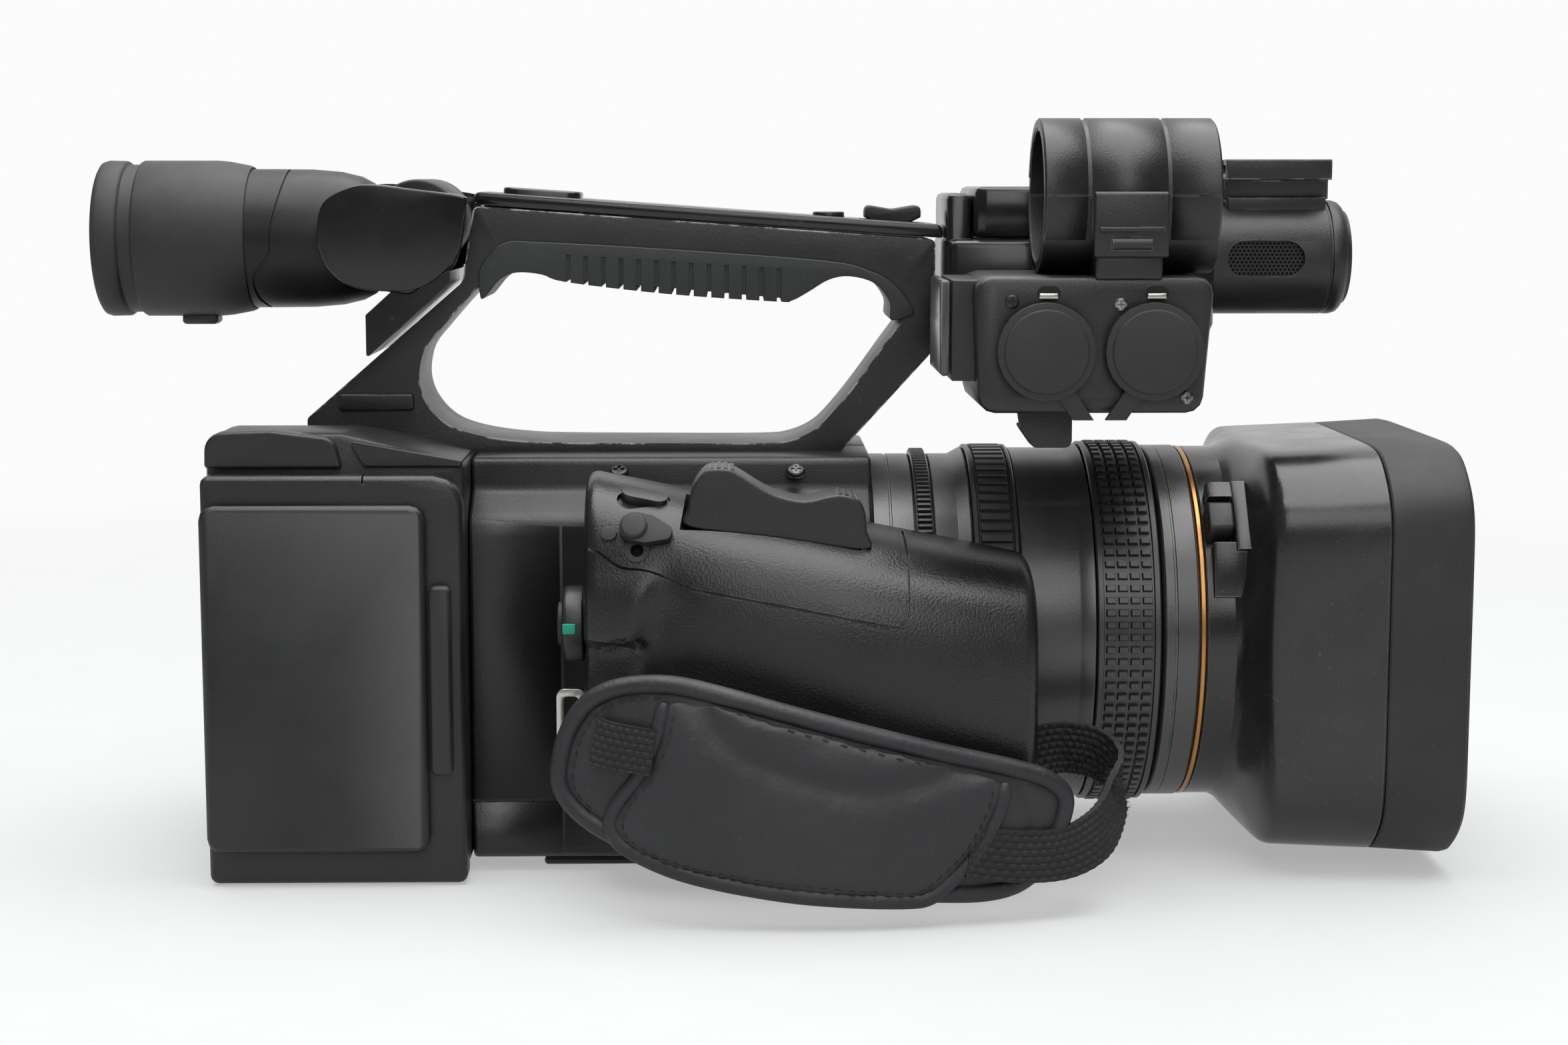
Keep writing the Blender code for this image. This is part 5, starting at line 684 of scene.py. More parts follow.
# %% Finish the inside and the battery bay
dress(refined("sensor_block", 0.4), DARK, "camera_body", "casing", "sensor_block")
dress(refined("main_board", 0.0), BOARD, "camera_body", "circuit_board", "main_board")
dress(refined("battery_plate", 0.4), CASING, "camera_body", "casing", "battery_plate")
contacts = joined(*[block("contact", (-116.0, y - 1.2, 28.0), (-113.2, y + 1.2, 40.0), 0.3)
                    for y in (-7, -2.4, 2.4, 7)])
contacts.name = "battery_contacts"
dress(contacts, METAL, "camera_body", "bright_metal")
print("battery contacts:", len(contacts.data.polygons), "faces")

# %% [markdown]
# ## Rear housing and media bay
# The rear housing carries a hump behind the handle, and a low wedge leads from it to the deck. Both are
# slabs, and the gap between them makes the cross groove. The media door lies on a bay frame, with a
# sliding tab beside it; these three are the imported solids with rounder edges.

# %% Finish the rear
rear = refined("rear_housing", 0.9)
dress(rear, CASING, "camera_body", "casing", "rear_housing")
hump_line = rounded([(-118.8, 99.8, 1.0), (-118.6, 108.3, 4.5), (-103.0, 108.8, 9.0), (-88.0, 107.0, 3.5),
                     (-86.2, 99.8, 0.8)])
hump = slab("rear_hump", [hump_line], "xz", -40.0, -45.4, 2.0, steps=5)
wedge_line = rounded([(-81.0, 100.2, 0.4), (-58.0, 100.2, 0.3), (-57.8, 101.6, 0.6), (-84.2, 106.4, 0.8),
                      (-83.8, 105.0, 0.3)])
wedge = slab("rear_wedge", [wedge_line], "xz", -20.0, -44.8, 0.9, steps=4)
dress(joined(hump, wedge), CASING, "camera_body", "casing", angle=45.0)
bay = refined("media_bay", 1.5, 5)
cut(bay, block("notch", (-80.9, -52.0, 96.6), (-80.4, -42.0, 100.0)))
dress(bay, CASING, "camera_body", "casing", "media_bay")
door = refined("media_door", 1.3, 5)
dress(door, DOOR, "media_door", "casing", "media_door")
tab = refined("door_latch", 0.6)
dress(tab, DOOR, "door_latch", "casing", "door_latch")
print("rear: bay", len(bay.data.polygons), "faces, door", len(door.data.polygons), "faces")

# %% [markdown]
# ## Handle
# The handle is a painted casting with a gloss cover on top and a rubber liner that wraps the underside
# of the bar. The liner's outline is drawn from the side as a smooth curve, extruded through the bar
# and rounded. Its finger grooves are U-shaped slots, made once for each groove and cut in together.

# %% Finish the casting and its cover
outer_line = rounded([(-57.0, 161.4, 1.5), (-60.0, 142.8, 3.0), (-99.0, 109.0, 1.5), (-99.0, 98.6, 1.0),
                      (32.0, 98.6, 4.0), (57.0, 126.0, 6.0), (57.0, 153.2, 1.5)])
loop_line = smooth_line([(-56.3, 141.5), (-61.3, 136.0), (-66.0, 130.6), (-69.5, 126.2), (-70.9, 121.5),
                         (-70.9, 117.0), (-69.2, 112.6), (-65.8, 108.6), (-61.2, 106.0), (-54.0, 104.2),
                         (-45.5, 103.2), (-36.0, 102.8), (-10.0, 102.6), (14.0, 102.6), (21.5, 103.4),
                         (27.5, 106.2), (32.3, 111.0), (38.0, 118.2), (44.6, 127.4), (49.0, 133.5),
                         (50.4, 137.0), (47.2, 141.2), (40.0, 144.0), (25.0, 144.6), (-40.0, 147.2),
                         (-49.0, 147.0), (-54.5, 144.6)], 5)
casting = slab("handle_frame_finish", [outer_line, loop_line[::-1]], "xz", -14.0, 14.0, 0.8, True, 3)
lug = slab("lug", [rectangle(-91.0, 111.0, -72.4, 115.2, 1.0)], "xz", -13.0, -15.6, 0.6)
dress(casting, CAST, "camera_body", "painted_casting", "handle_frame")
dress(lug, CAST, "camera_body", "painted_casting")
cover = refined("handle_top_cover", 1.1, 4)
plate = slab("cover_plate", [rectangle(-50.4, -8.0, -30.9, 8.0, 4.0)], "xy", 160.0, 165.4, 0.6)
COVER_SLOPE = math.radians(3.9)
pivot = Matrix.Translation((-40.4 * MM, 0.0, 165.0 * MM))
plate.data.transform(pivot @ Matrix.Rotation(COVER_SLOPE, 4, "Y") @ pivot.inverted())
dress(cover, GLOSS, "camera_body", "gloss_casing", "handle_top_cover")
dress(plate, GLOSS, "camera_body", "gloss_casing")
dress(refined("handle_zoom_lever", 0.5), RUBBER, "handle_lever", "casing", "handle_zoom_lever")
dress(refined("handle_rec_button", 0.4), CASING, "handle_button", "casing", "handle_rec_button")
print("handle casting:", len(casting.data.polygons), "faces")

# %% Wrap the liner
upper = [(-55.7, 139.8), (-55.8, 145.4), (-53.2, 149.5), (-49.0, 152.6), (-40.3, 152.6), (-9.5, 150.9),
         (29.7, 148.0), (41.0, 145.4), (47.2, 141.8), (51.2, 136.6), (51.2, 134.6)]
lower = [(46.1, 133.3), (45.7, 137.7), (42.1, 142.3), (35.9, 144.1), (30.7, 143.3), (25.6, 140.3),
         (21.4, 138.1), (17.3, 137.9), (-9.5, 139.8), (-34.2, 142.7), (-40.4, 144.6), (-46.5, 145.1),
         (-50.7, 143.4), (-54.7, 138.8)]
liner = slab("handle_liner", [smooth_line(upper + lower, 4)], "xz", -14.9, 14.9, 1.1, True, 4)
GROOVES = 13
tools = []
for index in range(GROOVES):
    share = index / (GROOVES - 1.0)
    x, top, foot = -33.8 + 52.1 * share, 149.5 - 3.4 * share, 142.6 - 4.7 * share
    hoop = [(-17.0, top), (-14.2, top), (-14.2, foot + 0.9), (14.2, foot + 0.9), (14.2, top), (17.0, top),
            (17.0, foot - 4.0), (-17.0, foot - 4.0)]
    tools.append(slab("slot", [hoop], "yz", x - 0.55, x + 0.55))
cut(liner, joined(*tools))
use(liner, "BEVEL", width=0.18 * MM, segments=2, limit_method="ANGLE", angle_limit=math.radians(50.0))
dress(liner, PAD_RUBBER, "camera_body", "rubber", "handle_grip")
print("liner:", len(liner.data.polygons), "faces")

# %% [markdown]
# ## Viewfinder
# The tube swings between two glossy cheeks. Its two halves meet in a seam that runs down the side with
# a small jog. The seam is a thin strip drawn from the side; a core is taken out of it first, so that
# it only scores the skin of the tube. The eyecup is soft rubber, turned from one section with a fold
# near its end.

# %% Finish the viewfinder
def strip(points, half):
    """An outline of a narrow strip that follows a line of (u, v) points."""
    sides = ([], [])
    for i, point in enumerate(points):
        ahead = Vector(points[min(i + 1, len(points) - 1)]) - Vector(points[max(i - 1, 0)])
        out = Vector((-ahead.y, ahead.x)).normalized() * half
        sides[0].append(tuple(Vector(point) + out))
        sides[1].append(tuple(Vector(point) - out))
    return sides[0] + sides[1][::-1]


EYE_Z = 153.2
tube = spun("evf_tube_finish", [(-96.0, 0.0), (-96.0, 15.2), (-121.0, 15.2), (-121.0, 17.0), (-120.7, 17.3),
                                (-108.0, 17.3), (-98.0, 17.2), (-91.0, 16.6), (-86.0, 15.4), (-83.0, 13.8),
                                (-81.6, 11.6), (-81.4, 0.0)],
            0.0, EYE_Z, 128, False)
line = smooth_line([(-103.6, 174.0), (-104.0, 168.0), (-106.6, 156.0), (-106.9, 150.4), (-109.2, 147.0),
                    (-111.3, 143.8), (-111.0, 139.0), (-108.4, 135.0), (-108.0, 131.0)], 5, False)
score = slab("score", [strip(line, 0.3)], "xz", -20.0, 20.0)
cut(score, spun("core", [(-125.0, 0.0), (-125.0, 16.8), (-90.0, 16.8), (-90.0, 0.0)], 0.0, EYE_Z, 64, False))
cut(tube, score)
hub = rod("hub", (-70.5, 0.0, 157.6), ALONG_Y, 10.4, 34.6, 64)
use(hub, "BEVEL", width=0.8 * MM, segments=3, limit_method="ANGLE", angle_limit=math.radians(50.0))
web = block("web", (-92.0, -11.0, 147.0), (-70.5, 11.0, 166.2), 2.0)
tube = joined(tube, hub, web)
TUBE = hard_finish("satin_tube", (0.005, 0.005, 0.0054), (0.008, 0.008, 0.0084), 0.42, 2400.0, 0.02, None,
                   0.06, 0.05, 0.0, 0.3)
dress(tube, TUBE, "viewfinder", "gloss_casing", "evf_tube")
cup = spun("eyecup_finish", [(-121.2, 17.4), (-113.3, 17.4), (-113.2, 17.8), (-114.0, 18.2), (-118.8, 19.1),
                             (-120.6, 19.3), (-122.0, 19.4), (-140.0, 19.4), (-140.5, 19.1), (-140.8, 18.4),
                             (-143.9, 18.4), (-144.2, 19.0), (-144.7, 19.3), (-148.9, 19.4), (-150.1, 19.0),
                             (-150.5, 18.3), (-150.2, 17.5), (-149.4, 17.0), (-121.2, 16.7)], 0.0, EYE_Z, 96)
dress(cup, RUBBER, "viewfinder", "rubber", "eyecup", angle=50.0)
dress(refined("eyepiece_lens", 0.0), LENS_GLASS, "viewfinder", "glass", "eyepiece_lens")
dress(refined("evf_screen", 0.0), SCREEN, "viewfinder", "glass", "evf_screen")
dress(refined("diopter_lever", 0.6), CASING, "diopter", "casing", "diopter_lever")
cheek_line = smooth_line([(-94.6, 155.4), (-93.7, 160.9), (-90.9, 164.1), (-85.4, 166.4), (-80.0, 166.7),
                          (-71.6, 165.7), (-60.0, 164.2), (-58.2, 162.6), (-58.8, 157.0), (-61.0, 148.6),
                          (-69.4, 141.6), (-79.6, 140.8), (-87.2, 142.3), (-92.0, 146.1), (-94.2, 151.0)], 5)
cheeks = [slab("evf_cheeks", [cheek_line], "xz", side * 17.7, side * 21.15, 1.1, steps=4)
          for side in (-1, 1)]
dress(joined(*cheeks), GLOSS, "camera_body", "gloss_casing", angle=45.0)
dress(refined("evf_fork", 0.0), GLOSS, "camera_body", "gloss_casing", "evf_fork")
dress(refined("evf_hinge_pin", 0.2), METAL, "camera_body", "bright_metal", "evf_hinge_pin")
print("viewfinder: tube", len(tube.data.polygons), "faces, cup", len(cup.data.polygons), "faces")

# %% [markdown]
# ## Front of the handle
# A glossy block holds the folding display and ends in a round microphone. The microphone is turned,
# then an oval recess is cut in each side. The grille in each recess is a real perforated sheet: a
# honeycomb of hexagonal cells, each a ring round its hole, welded together and thickened.

# %% Finish the front block and the display
dress(refined("front_housing", 0.9), GLOSS, "camera_body", "gloss_casing", "front_housing")
dress(refined("lcd_panel", 1.1, 4), GLOSS, "display", "gloss_casing", "lcd_panel")
dress(refined("lcd_screen", 0.0), SCREEN, "display", "glass", "lcd_screen")
dress(refined("accessory_shoe", 0.4), CAST, "camera_body", "painted_casting", "accessory_shoe")
dress(block("shoe_foot", (130.4, -8.0, 160.0), (155.2, 8.0, 163.6), 0.5), CAST, "camera_body",
      "painted_casting")

# %% Turn the microphone
METAL_BLACK = hard_finish("black_mesh", (0.02, 0.02, 0.021), (0.03, 0.03, 0.031), 0.36, 1500.0, 0.01, None,
                          0.05, 0.0, 0.4)
MIC_Z, OVAL_X = 148.4, 139.4
mic = spun("mic_housing_finish", [(124.3, 0.0), (124.3, 14.0), (124.6, 14.3), (155.5, 14.3), (155.7, 13.9),
                                  (156.2, 13.9), (156.4, 14.3), (157.8, 14.3), (159.2, 13.9), (160.0, 13.1),
                                  (160.3, 12.0), (160.6, 11.8), (161.2, 11.7), (161.4, 11.4), (161.4, 0.0)],
           0.0, MIC_Z, 96, False)
for side in (-1, 1):
    cut(mic, slab("recess", [oval(OVAL_X, MIC_Z, 9.6, 4.4)], "xz", side * 12.4, side * 16.0))
use(mic, "BEVEL", width=0.4 * MM, segments=3, limit_method="ANGLE", angle_limit=math.radians(50.0))
dress(mic, CASING, "camera_body", "casing", "mic_housing")
CELL, HOLE = 0.62, 0.4
ring_points = disc(0.0, 0.0, CELL, 6) + disc(0.0, 0.0, HOLE, 6)
cells, cell_faces = [], []
for row in range(-5, 6):
    for column in range(-9, 10):
        u, v = (column + 0.5 * (row % 2)) * CELL * math.sqrt(3.0), row * CELL * 1.5
        first = len(cells)
        cells += [(OVAL_X + u + b, 0.0, MIC_Z + v + a) for a, b in ring_points]
        cell_faces += [(first + k, first + (k + 1) % 6, first + 6 + (k + 1) % 6, first + 6 + k)
                       for k in range(6)]
for side, node in ((-1, "mic_grille_right"), (1, "mic_grille_left")):
    grille = drawn(node + "_sheet", [(x, side * 12.75, z) for x, y, z in cells], (), cell_faces)
    bpy.ops.object.mode_set(mode="EDIT")
    bpy.ops.mesh.select_all(action="SELECT")
    bpy.ops.mesh.remove_doubles(threshold=2e-5)
    bpy.ops.object.mode_set(mode="OBJECT")
    use(grille, "SOLIDIFY", thickness=0.3 * MM, offset=0.0)
    # A near-black sheet on the floor of the recess is painted shade behind the grille.
    back = slab("back", [oval(OVAL_X, MIC_Z, 9.5, 4.3)], "xz", side * 12.3, side * 12.45)
    dress(back, DARK, "camera_body", "casing")
    back.name = node + "_back"
    dress(grille, METAL_BLACK, "camera_body", "casing", node, angle=20.0)
print("grille cells:", len(cells) // 12)

# %% [markdown]
# ## Audio box and microphone holder
# The audio box hangs beside the handle. Each socket has a soft cap and a metal release tab that shows
# in a slot; the slot is not cut, but laid on as a dark oval of painted shade. The holder above is a
# hinged ring; two shallow grooves set off the band its latch closes on. The imported solid stays inside
# as a core, drawn in a little so that the turned ring covers it; its hinge knuckles, which stand
# further out, keep their place.

# %% Finish the audio box
BOX_Y, CAP_Z, TAB_Z = -72.0, 129.2, 142.3
dress(refined("xlr_housing", 1.1, 4), CASING, "camera_body", "casing", "xlr_housing")
for number, x in (("1", 77.9), ("2", 102.5)):
    dress(refined("xlr_socket_" + number, 0.3), CAST, "camera_body", "bright_metal", "xlr_socket_" + number)
    cap = refined("xlr_cap_" + number, 0.6)
    crown = slab("crown", [disc(x, CAP_Z, 9.7, 48)], "xz", BOX_Y - 2.6, BOX_Y - 3.4, 0.5)
    dress(joined(cap, crown), RUBBER, "cap_" + number, "rubber", "xlr_cap_" + number)
    # The slot is a dark oval of painted shade, laid a hair proud of the box face.
    slot = slab("release_slot_shade_" + number, [oval(x + 0.6, TAB_Z, 2.7, 1.7, 5)], "xz",
                BOX_Y + 0.5, BOX_Y - 0.06)
    dress(slot, DARK, "camera_body", "casing")
    lever = block("release_tab_" + number, (x - 1.7, BOX_Y - 0.9, 141.0), (x + 2.7, BOX_Y + 0.4, 142.4), 0.3)
    dress(lever, METAL, "camera_body", "bright_metal")
screw_places = [(70.2, 140.5), (94.9, 139.8), (110.3, 118.6)]
box_screws = copies(screw_head("box_screw", 1.65, 0.5), "box_screws",
                    [((x, BOX_Y - 0.05, z), (0, -1, 0)) for x, z in screw_places])
dress(box_screws, CAST, "camera_body", "casing")
dress(refined("cable_hook", 0.5), CASING, "camera_body", "casing", "cable_hook")
dress(refined("audio_cover", 0.5), CLEAR, "audio_cover", "clear_cover", "audio_cover")
print("audio box: two caps, two tabs, three screws")

# %% Finish the microphone holder
HOLDER_X, HOLDER_Y, HOLDER_Z = 97.75, -53.0, 164.3
KNUCKLE_R, CORE_SHORTER, CORE_SLIMMER = 17.95, 0.99, 0.975
hoop = [(77.5, 15.6), (77.5, 17.3), (78.0, 17.8), (87.2, 17.8), (87.5, 17.1), (88.2, 17.1), (88.5, 17.8),
        (105.4, 17.8), (105.7, 17.1), (106.4, 17.1), (106.7, 17.8), (117.5, 17.8), (118.0, 17.3),
        (118.0, 15.6), (117.6, 15.2), (77.9, 15.2)]
for node, body, keep in (("mic_holder_base", "camera_body", -1), ("mic_holder_clamp", "holder_clamp", 1)):
    half = spun(node + "_ring", hoop, HOLDER_Y, HOLDER_Z, 128)
    bpy.ops.object.mode_set(mode="EDIT")
    bpy.ops.mesh.select_all(action="SELECT")
    bpy.ops.mesh.bisect(plane_co=(0.0, 0.0, (HOLDER_Z + keep * 0.1) * MM), plane_no=(0.0, 0.0, 1.0),
                        use_fill=True, clear_inner=keep > 0, clear_outer=keep < 0)
    bpy.ops.object.mode_set(mode="OBJECT")
    if keep > 0:
        cut(half, block("hinge_room", (76.0, -38.0, 160.0), (119.5, -33.0, 168.4)))
    core = refined(node, 0.0)
    for vertex in core.data.vertices:
        x, y, z = vertex.co / MM
        if math.hypot(y - HOLDER_Y, z - HOLDER_Z) < KNUCKLE_R:
            vertex.co = Vector((HOLDER_X + (x - HOLDER_X) * CORE_SHORTER,
                                HOLDER_Y + (y - HOLDER_Y) * CORE_SLIMMER,
                                HOLDER_Z + (z - HOLDER_Z) * CORE_SLIMMER)) * MM
    dress(joined(half, core), CASING, body, "casing", node)
bracket = refined("mic_holder_latch", 0.5)
knuckle = rod("knuckle", (97.0, -73.0, 153.6), ALONG_X, 1.5, 9.0, 24)
lip = block("lip", (89.5, -74.2, 156.2), (104.4, -73.0, 157.4), 0.4)
dress(joined(bracket, knuckle, lip), CASING, "holder_latch", "casing", "mic_holder_latch")
foot = block("holder_foot", (89.0, BOX_Y - 0.3, 145.4), (104.3, -62.0, 151.4), 0.7)
dress(foot, CASING, "camera_body", "casing")
print("holder finished")

# %% [markdown]
# ## Lens
# Everything here is turned about the lens line, so each part is a section spun through a full circle.
# The grips are separate: one tooth, one rib or one row of rubber tiles is modelled on top of the ring,
# then spun as copies. The waffle pattern of the focus ring is four tiles wide and ninety-six rows
# round.

# %% Turn the barrel and the fixed rings
LENS_Z = 55.5


def lathe(name, section, closed=True):
    """Turn a section about the lens line."""
    return spun(name, section, 0.0, LENS_Z, 160, closed)


BARREL = hard_finish("lens_paint", (0.026, 0.026, 0.0267), (0.037, 0.037, 0.0377), 0.34, 1900.0, 0.03,
                     ((0.12, 0.12, 0.12), 0.4, 0.2), 0.12, 0.06, sheen=0.85)
barrel = lathe("lens_barrel_finish", [
    (33.0, 36.2), (33.0, 39.5), (40.9, 39.5), (40.9, 42.4), (41.3, 42.8), (45.0, 42.8), (45.2, 42.5),
    (45.6, 42.5), (45.8, 42.8), (50.9, 42.8), (51.2, 42.5), (51.2, 40.3), (56.0, 40.3), (56.0, 42.4),
    (56.3, 42.8), (61.7, 42.8), (64.6, 44.4), (65.0, 44.2), (65.0, 40.3), (76.5, 40.3), (76.5, 44.0),
    (76.8, 44.3), (90.4, 44.3), (91.0, 44.5), (93.4, 45.2), (94.1, 45.2), (94.3, 45.0), (94.3, 40.3),
    (110.7, 40.3), (110.7, 36.2)])
dress(barrel, BARREL, "camera_body", "casing", "lens_barrel", angle=25.0)
front = lathe("lens_front_ring_finish", [
    (111.0, 36.2), (111.0, 44.5), (111.4, 44.9), (113.4, 44.9), (113.6, 44.6), (114.0, 44.6),
    (114.2, 44.9), (118.9, 44.9), (119.4, 44.5), (119.4, 41.8), (120.9, 41.8), (120.9, 36.2)])
dress(front, BARREL, "camera_body", "casing", "lens_front_ring", angle=25.0)
gold = lathe("gold_ring_finish", [(119.7, 42.0), (119.7, 44.5), (119.9, 44.7), (120.7, 44.7), (120.9, 44.5),
                                  (120.9, 42.0)])
dress(gold, GOLD, "camera_body", "orange_ring", "gold_ring", angle=25.0)
GLASS_X, GLASS_BULGE, GLASS_R, GLASS_STEPS = 112.0, 9.6, 35.6, 16
dome = []
for number in range(GLASS_STEPS + 1):
    turn = math.radians(90.0 * number / GLASS_STEPS)
    dome.append((GLASS_X + GLASS_BULGE * math.cos(turn), GLASS_R * math.sin(turn)))
pane = lathe("front_glass", dome + [(111.2, GLASS_R), (111.2, 0.0)], False)
dress(pane, LENS_GLASS, "camera_body", "glass", "front_element")
print("barrel:", len(barrel.data.polygons), "faces")


# %% Turn the three rings and their grips
def tile(name, x0, x1, low, high, width, taper=0.25):
    """One raised block on top of a ring, its sides sloping inward."""
    half, z0, z1 = width / 2.0, LENS_Z + low, LENS_Z + high
    points = [(x0, -half, z0), (x1, -half, z0), (x1, half, z0), (x0, half, z0),
              (x0 + taper, -half + taper, z1), (x1 - taper, -half + taper, z1),
              (x1 - taper, half - taper, z1), (x0 + taper, half - taper, z1)]
    return drawn(name, points, (), [(4, 5, 6, 7), (0, 1, 5, 4), (1, 2, 6, 5), (2, 3, 7, 6), (3, 0, 4, 7)])


def round_ring(piece, count):
    """Spin copies of a grip round the lens line."""
    take(piece)
    bpy.ops.object.mode_set(mode="EDIT")
    bpy.ops.mesh.select_all(action="SELECT")
    bpy.ops.mesh.spin(steps=count - 1, dupli=True, angle=math.tau * (count - 1) / count,
                      center=(0.0, 0.0, LENS_Z * MM), axis=(1.0, 0.0, 0.0))
    bpy.ops.object.mode_set(mode="OBJECT")
    return piece


iris = lathe("iris_ring_finish", [(51.5, 40.6), (51.5, 42.9), (51.8, 43.2), (55.4, 43.2), (55.7, 42.9),
                                  (55.7, 40.6)])
teeth = round_ring(tile("iris_teeth", 51.8, 55.4, 43.1, 44.2, 1.1, 0.25), 168)
dress(iris, BARREL, "iris_ring", "casing", "iris_ring", angle=25.0)
dress(teeth, RING_RUBBER, "iris_ring", "casing")
zoom = lathe("zoom_ring_finish", [(65.3, 40.6), (65.3, 44.9), (65.6, 45.2), (66.4, 45.2), (66.7, 44.5),
                                  (75.0, 44.5), (75.3, 45.2), (75.9, 45.2), (76.2, 44.9), (76.2, 40.6)])
ridges = round_ring(tile("zoom_ribs", 66.9, 74.8, 44.4, 45.3, 2.2, 0.3), 92)
dress(zoom, RING_RUBBER, "zoom_ring", "rubber", "zoom_ring", angle=25.0)
dress(ridges, RING_RUBBER, "zoom_ring", "rubber")
focus = lathe("focus_ring_finish", [(94.6, 40.6), (94.6, 45.6), (94.9, 45.9), (96.0, 45.9), (96.2, 45.2),
                                    (108.3, 45.2), (108.5, 45.9), (109.6, 45.9), (109.9, 45.6),
                                    (109.9, 40.6)])
tiles = joined(*[tile("focus_tiles", 96.55 + 2.95 * i, 99.1 + 2.95 * i, 45.0, 46.2, 1.85, 0.3)
                 for i in range(4)])
round_ring(tiles, 96)
dress(focus, RING_RUBBER, "focus_ring", "rubber", "focus_ring", angle=25.0)
dress(tiles, RING_RUBBER, "focus_ring", "rubber")
print("grips:", len(teeth.data.polygons), len(ridges.data.polygons), len(tiles.data.polygons), "faces")

# %% [markdown]
# ## Hood
# The hood grows from a round collar into a square mouth. Each cross-section is a blend of a circle and of
# a superellipse of high power, nearly a square; a third term in its sum flattens the corners. The sections
# are skinned into a wall, out along the outside and back along the inside, so the hood is hollow. The
# rubber rim is a second wall, and the latch sits in a saddle wrapped on the collar.

# %% Skin the hood
def skinned(name, rings, ends=False):
    """Join rings of points in order; the last meets the first unless its ends are filled."""
    count, points, faces = len(rings[0]), [], []
    for ring in rings:
        points += ring
    for i in range(len(rings) - (1 if ends else 0)):
        j = (i + 1) % len(rings)
        for k in range(count):
            m = (k + 1) % count
            faces.append((i * count + k, i * count + m, j * count + m, j * count + k))
    if ends:
        faces += [tuple(range(count)), tuple(range((len(rings) - 1) * count, len(rings) * count))]
    piece = drawn(name, points, (), faces)
    bpy.ops.object.mode_set(mode="EDIT")
    bpy.ops.mesh.select_all(action="SELECT")
    bpy.ops.mesh.normals_make_consistent(inside=False)
    bpy.ops.object.mode_set(mode="OBJECT")
    return piece


COLLAR_R, HOOD_Z, CORNER_Y, CORNER_Z, POWER, HOOD_WALL = 44.6, 53.6, 14.0, 12.0, 24.0, 2.4


def mouth(x, half_y, half_z, share, inset, count=480):
    """One section of the hood: a circle at a share of 0, a square with flattened corners at 1."""
    half_y, half_z, middle, ring = half_y - inset, half_z - inset, LENS_Z + share * (HOOD_Z - LENS_Z), []
    for i in range(count):
        turn = math.tau * (i + 0.5) / count
        c, s = abs(math.cos(turn)), abs(math.sin(turn))
        facet = (CORNER_Z * c + CORNER_Y * s) / (CORNER_Z * half_y + CORNER_Y * (half_z - CORNER_Z))
        reach = ((c / half_y) ** POWER + (s / half_z) ** POWER + facet ** POWER) ** (-1.0 / POWER)
        reach = share * reach + (1.0 - share) * (COLLAR_R - inset)
        ring.append((x, reach * math.cos(turn), middle + reach * math.sin(turn)))
    return ring


def wall(rows):
    """Sections out along the outside of the hood's wall and back along its inside."""
    inside = [(x, half_y, half_z, share, inset + HOOD_WALL)
              for x, half_y, half_z, share, inset in rows[::-1]]
    return [mouth(*row) for row in rows + inside]


flare = [(121.2, 54.4, 49.0, 0.0, 0.3), (121.5, 54.4, 49.0, 0.0, 0.0), (127.8, 54.4, 49.0, 0.0, 0.0)]
flare += smooth_line([(128.3, 54.4, 49.0, 0.01, 0.0), (130.3, 54.4, 49.0, 0.17, 0.0),
                      (132.4, 54.4, 49.0, 0.48, 0.0), (134.6, 54.4, 49.0, 0.81, 0.0),
                      (136.6, 54.4, 49.0, 0.96, 0.0), (138.6, 54.4, 49.0, 1.0, 0.0)], 6, False)
flare += [(162.2, 55.4, 49.9, 1.0, 0.0), (162.6, 55.4, 49.9, 1.0, 0.3)]
hood = skinned("hood_body_finish", wall(flare))
dress(hood, HOOD_SKIN, "camera_body", "casing", "hood_body", angle=28.0)
edging = [(162.9, 55.4, 49.9, 1.0, 0.3), (163.3, 55.4, 49.9, 1.0, 0.0), (179.8, 56.3, 50.8, 1.0, 0.0),
          (181.4, 56.3, 50.8, 1.0, 0.3), (182.3, 56.3, 50.8, 1.0, 1.1), (182.5, 56.3, 50.8, 1.0, 1.9)]
rim = skinned("hood_rim_finish", wall(edging))
dress(rim, RUBBER, "camera_body", "rubber", "hood_rim", angle=28.0)
latch = refined("hood_latch", 0.7)
dress(latch, CASING, "hood_latch", "casing", "hood_latch")


SADDLE_STEPS, SADDLE_FOOT_R, SADDLE_EDGE = 24, 43.4, 0.7


def saddle(name, x0, x1, low, high, rise, fall):
    """A pad on the collar between two angles in degrees; its height runs from rise to fall."""
    rings, edge, foot = [], SADDLE_EDGE, SADDLE_FOOT_R
    for i in range(SADDLE_STEPS + 1):
        turn = math.radians(low + (high - low) * i / SADDLE_STEPS)
        top = COLLAR_R + rise + (fall - rise) * i / SADDLE_STEPS
        section = [(x0, foot), (x0, top - edge), (x0 + 0.3 * edge, top - 0.3 * edge), (x0 + edge, top),
                   (x1 - edge, top), (x1 - 0.3 * edge, top - 0.3 * edge), (x1, top - edge), (x1, foot)]
        rings.append([(x, -r * math.cos(turn), LENS_Z + r * math.sin(turn)) for x, r in section])
    return skinned(name, rings, True)


housing = joined(saddle("latch_housing", 128.1, 134.0, 29.0, 51.5, 5.6, 5.6),
                 saddle("shoulder", 122.2, 128.6, 46.2, 51.5, 5.2, 5.2),
                 saddle("ramp", 122.8, 132.5, 16.0, 31.6, 0.9, 4.4))
dress(housing, HOOD_SKIN, "camera_body", "casing", angle=40.0)
print("hood:", len(hood.data.polygons) + len(rim.data.polygons), "faces")

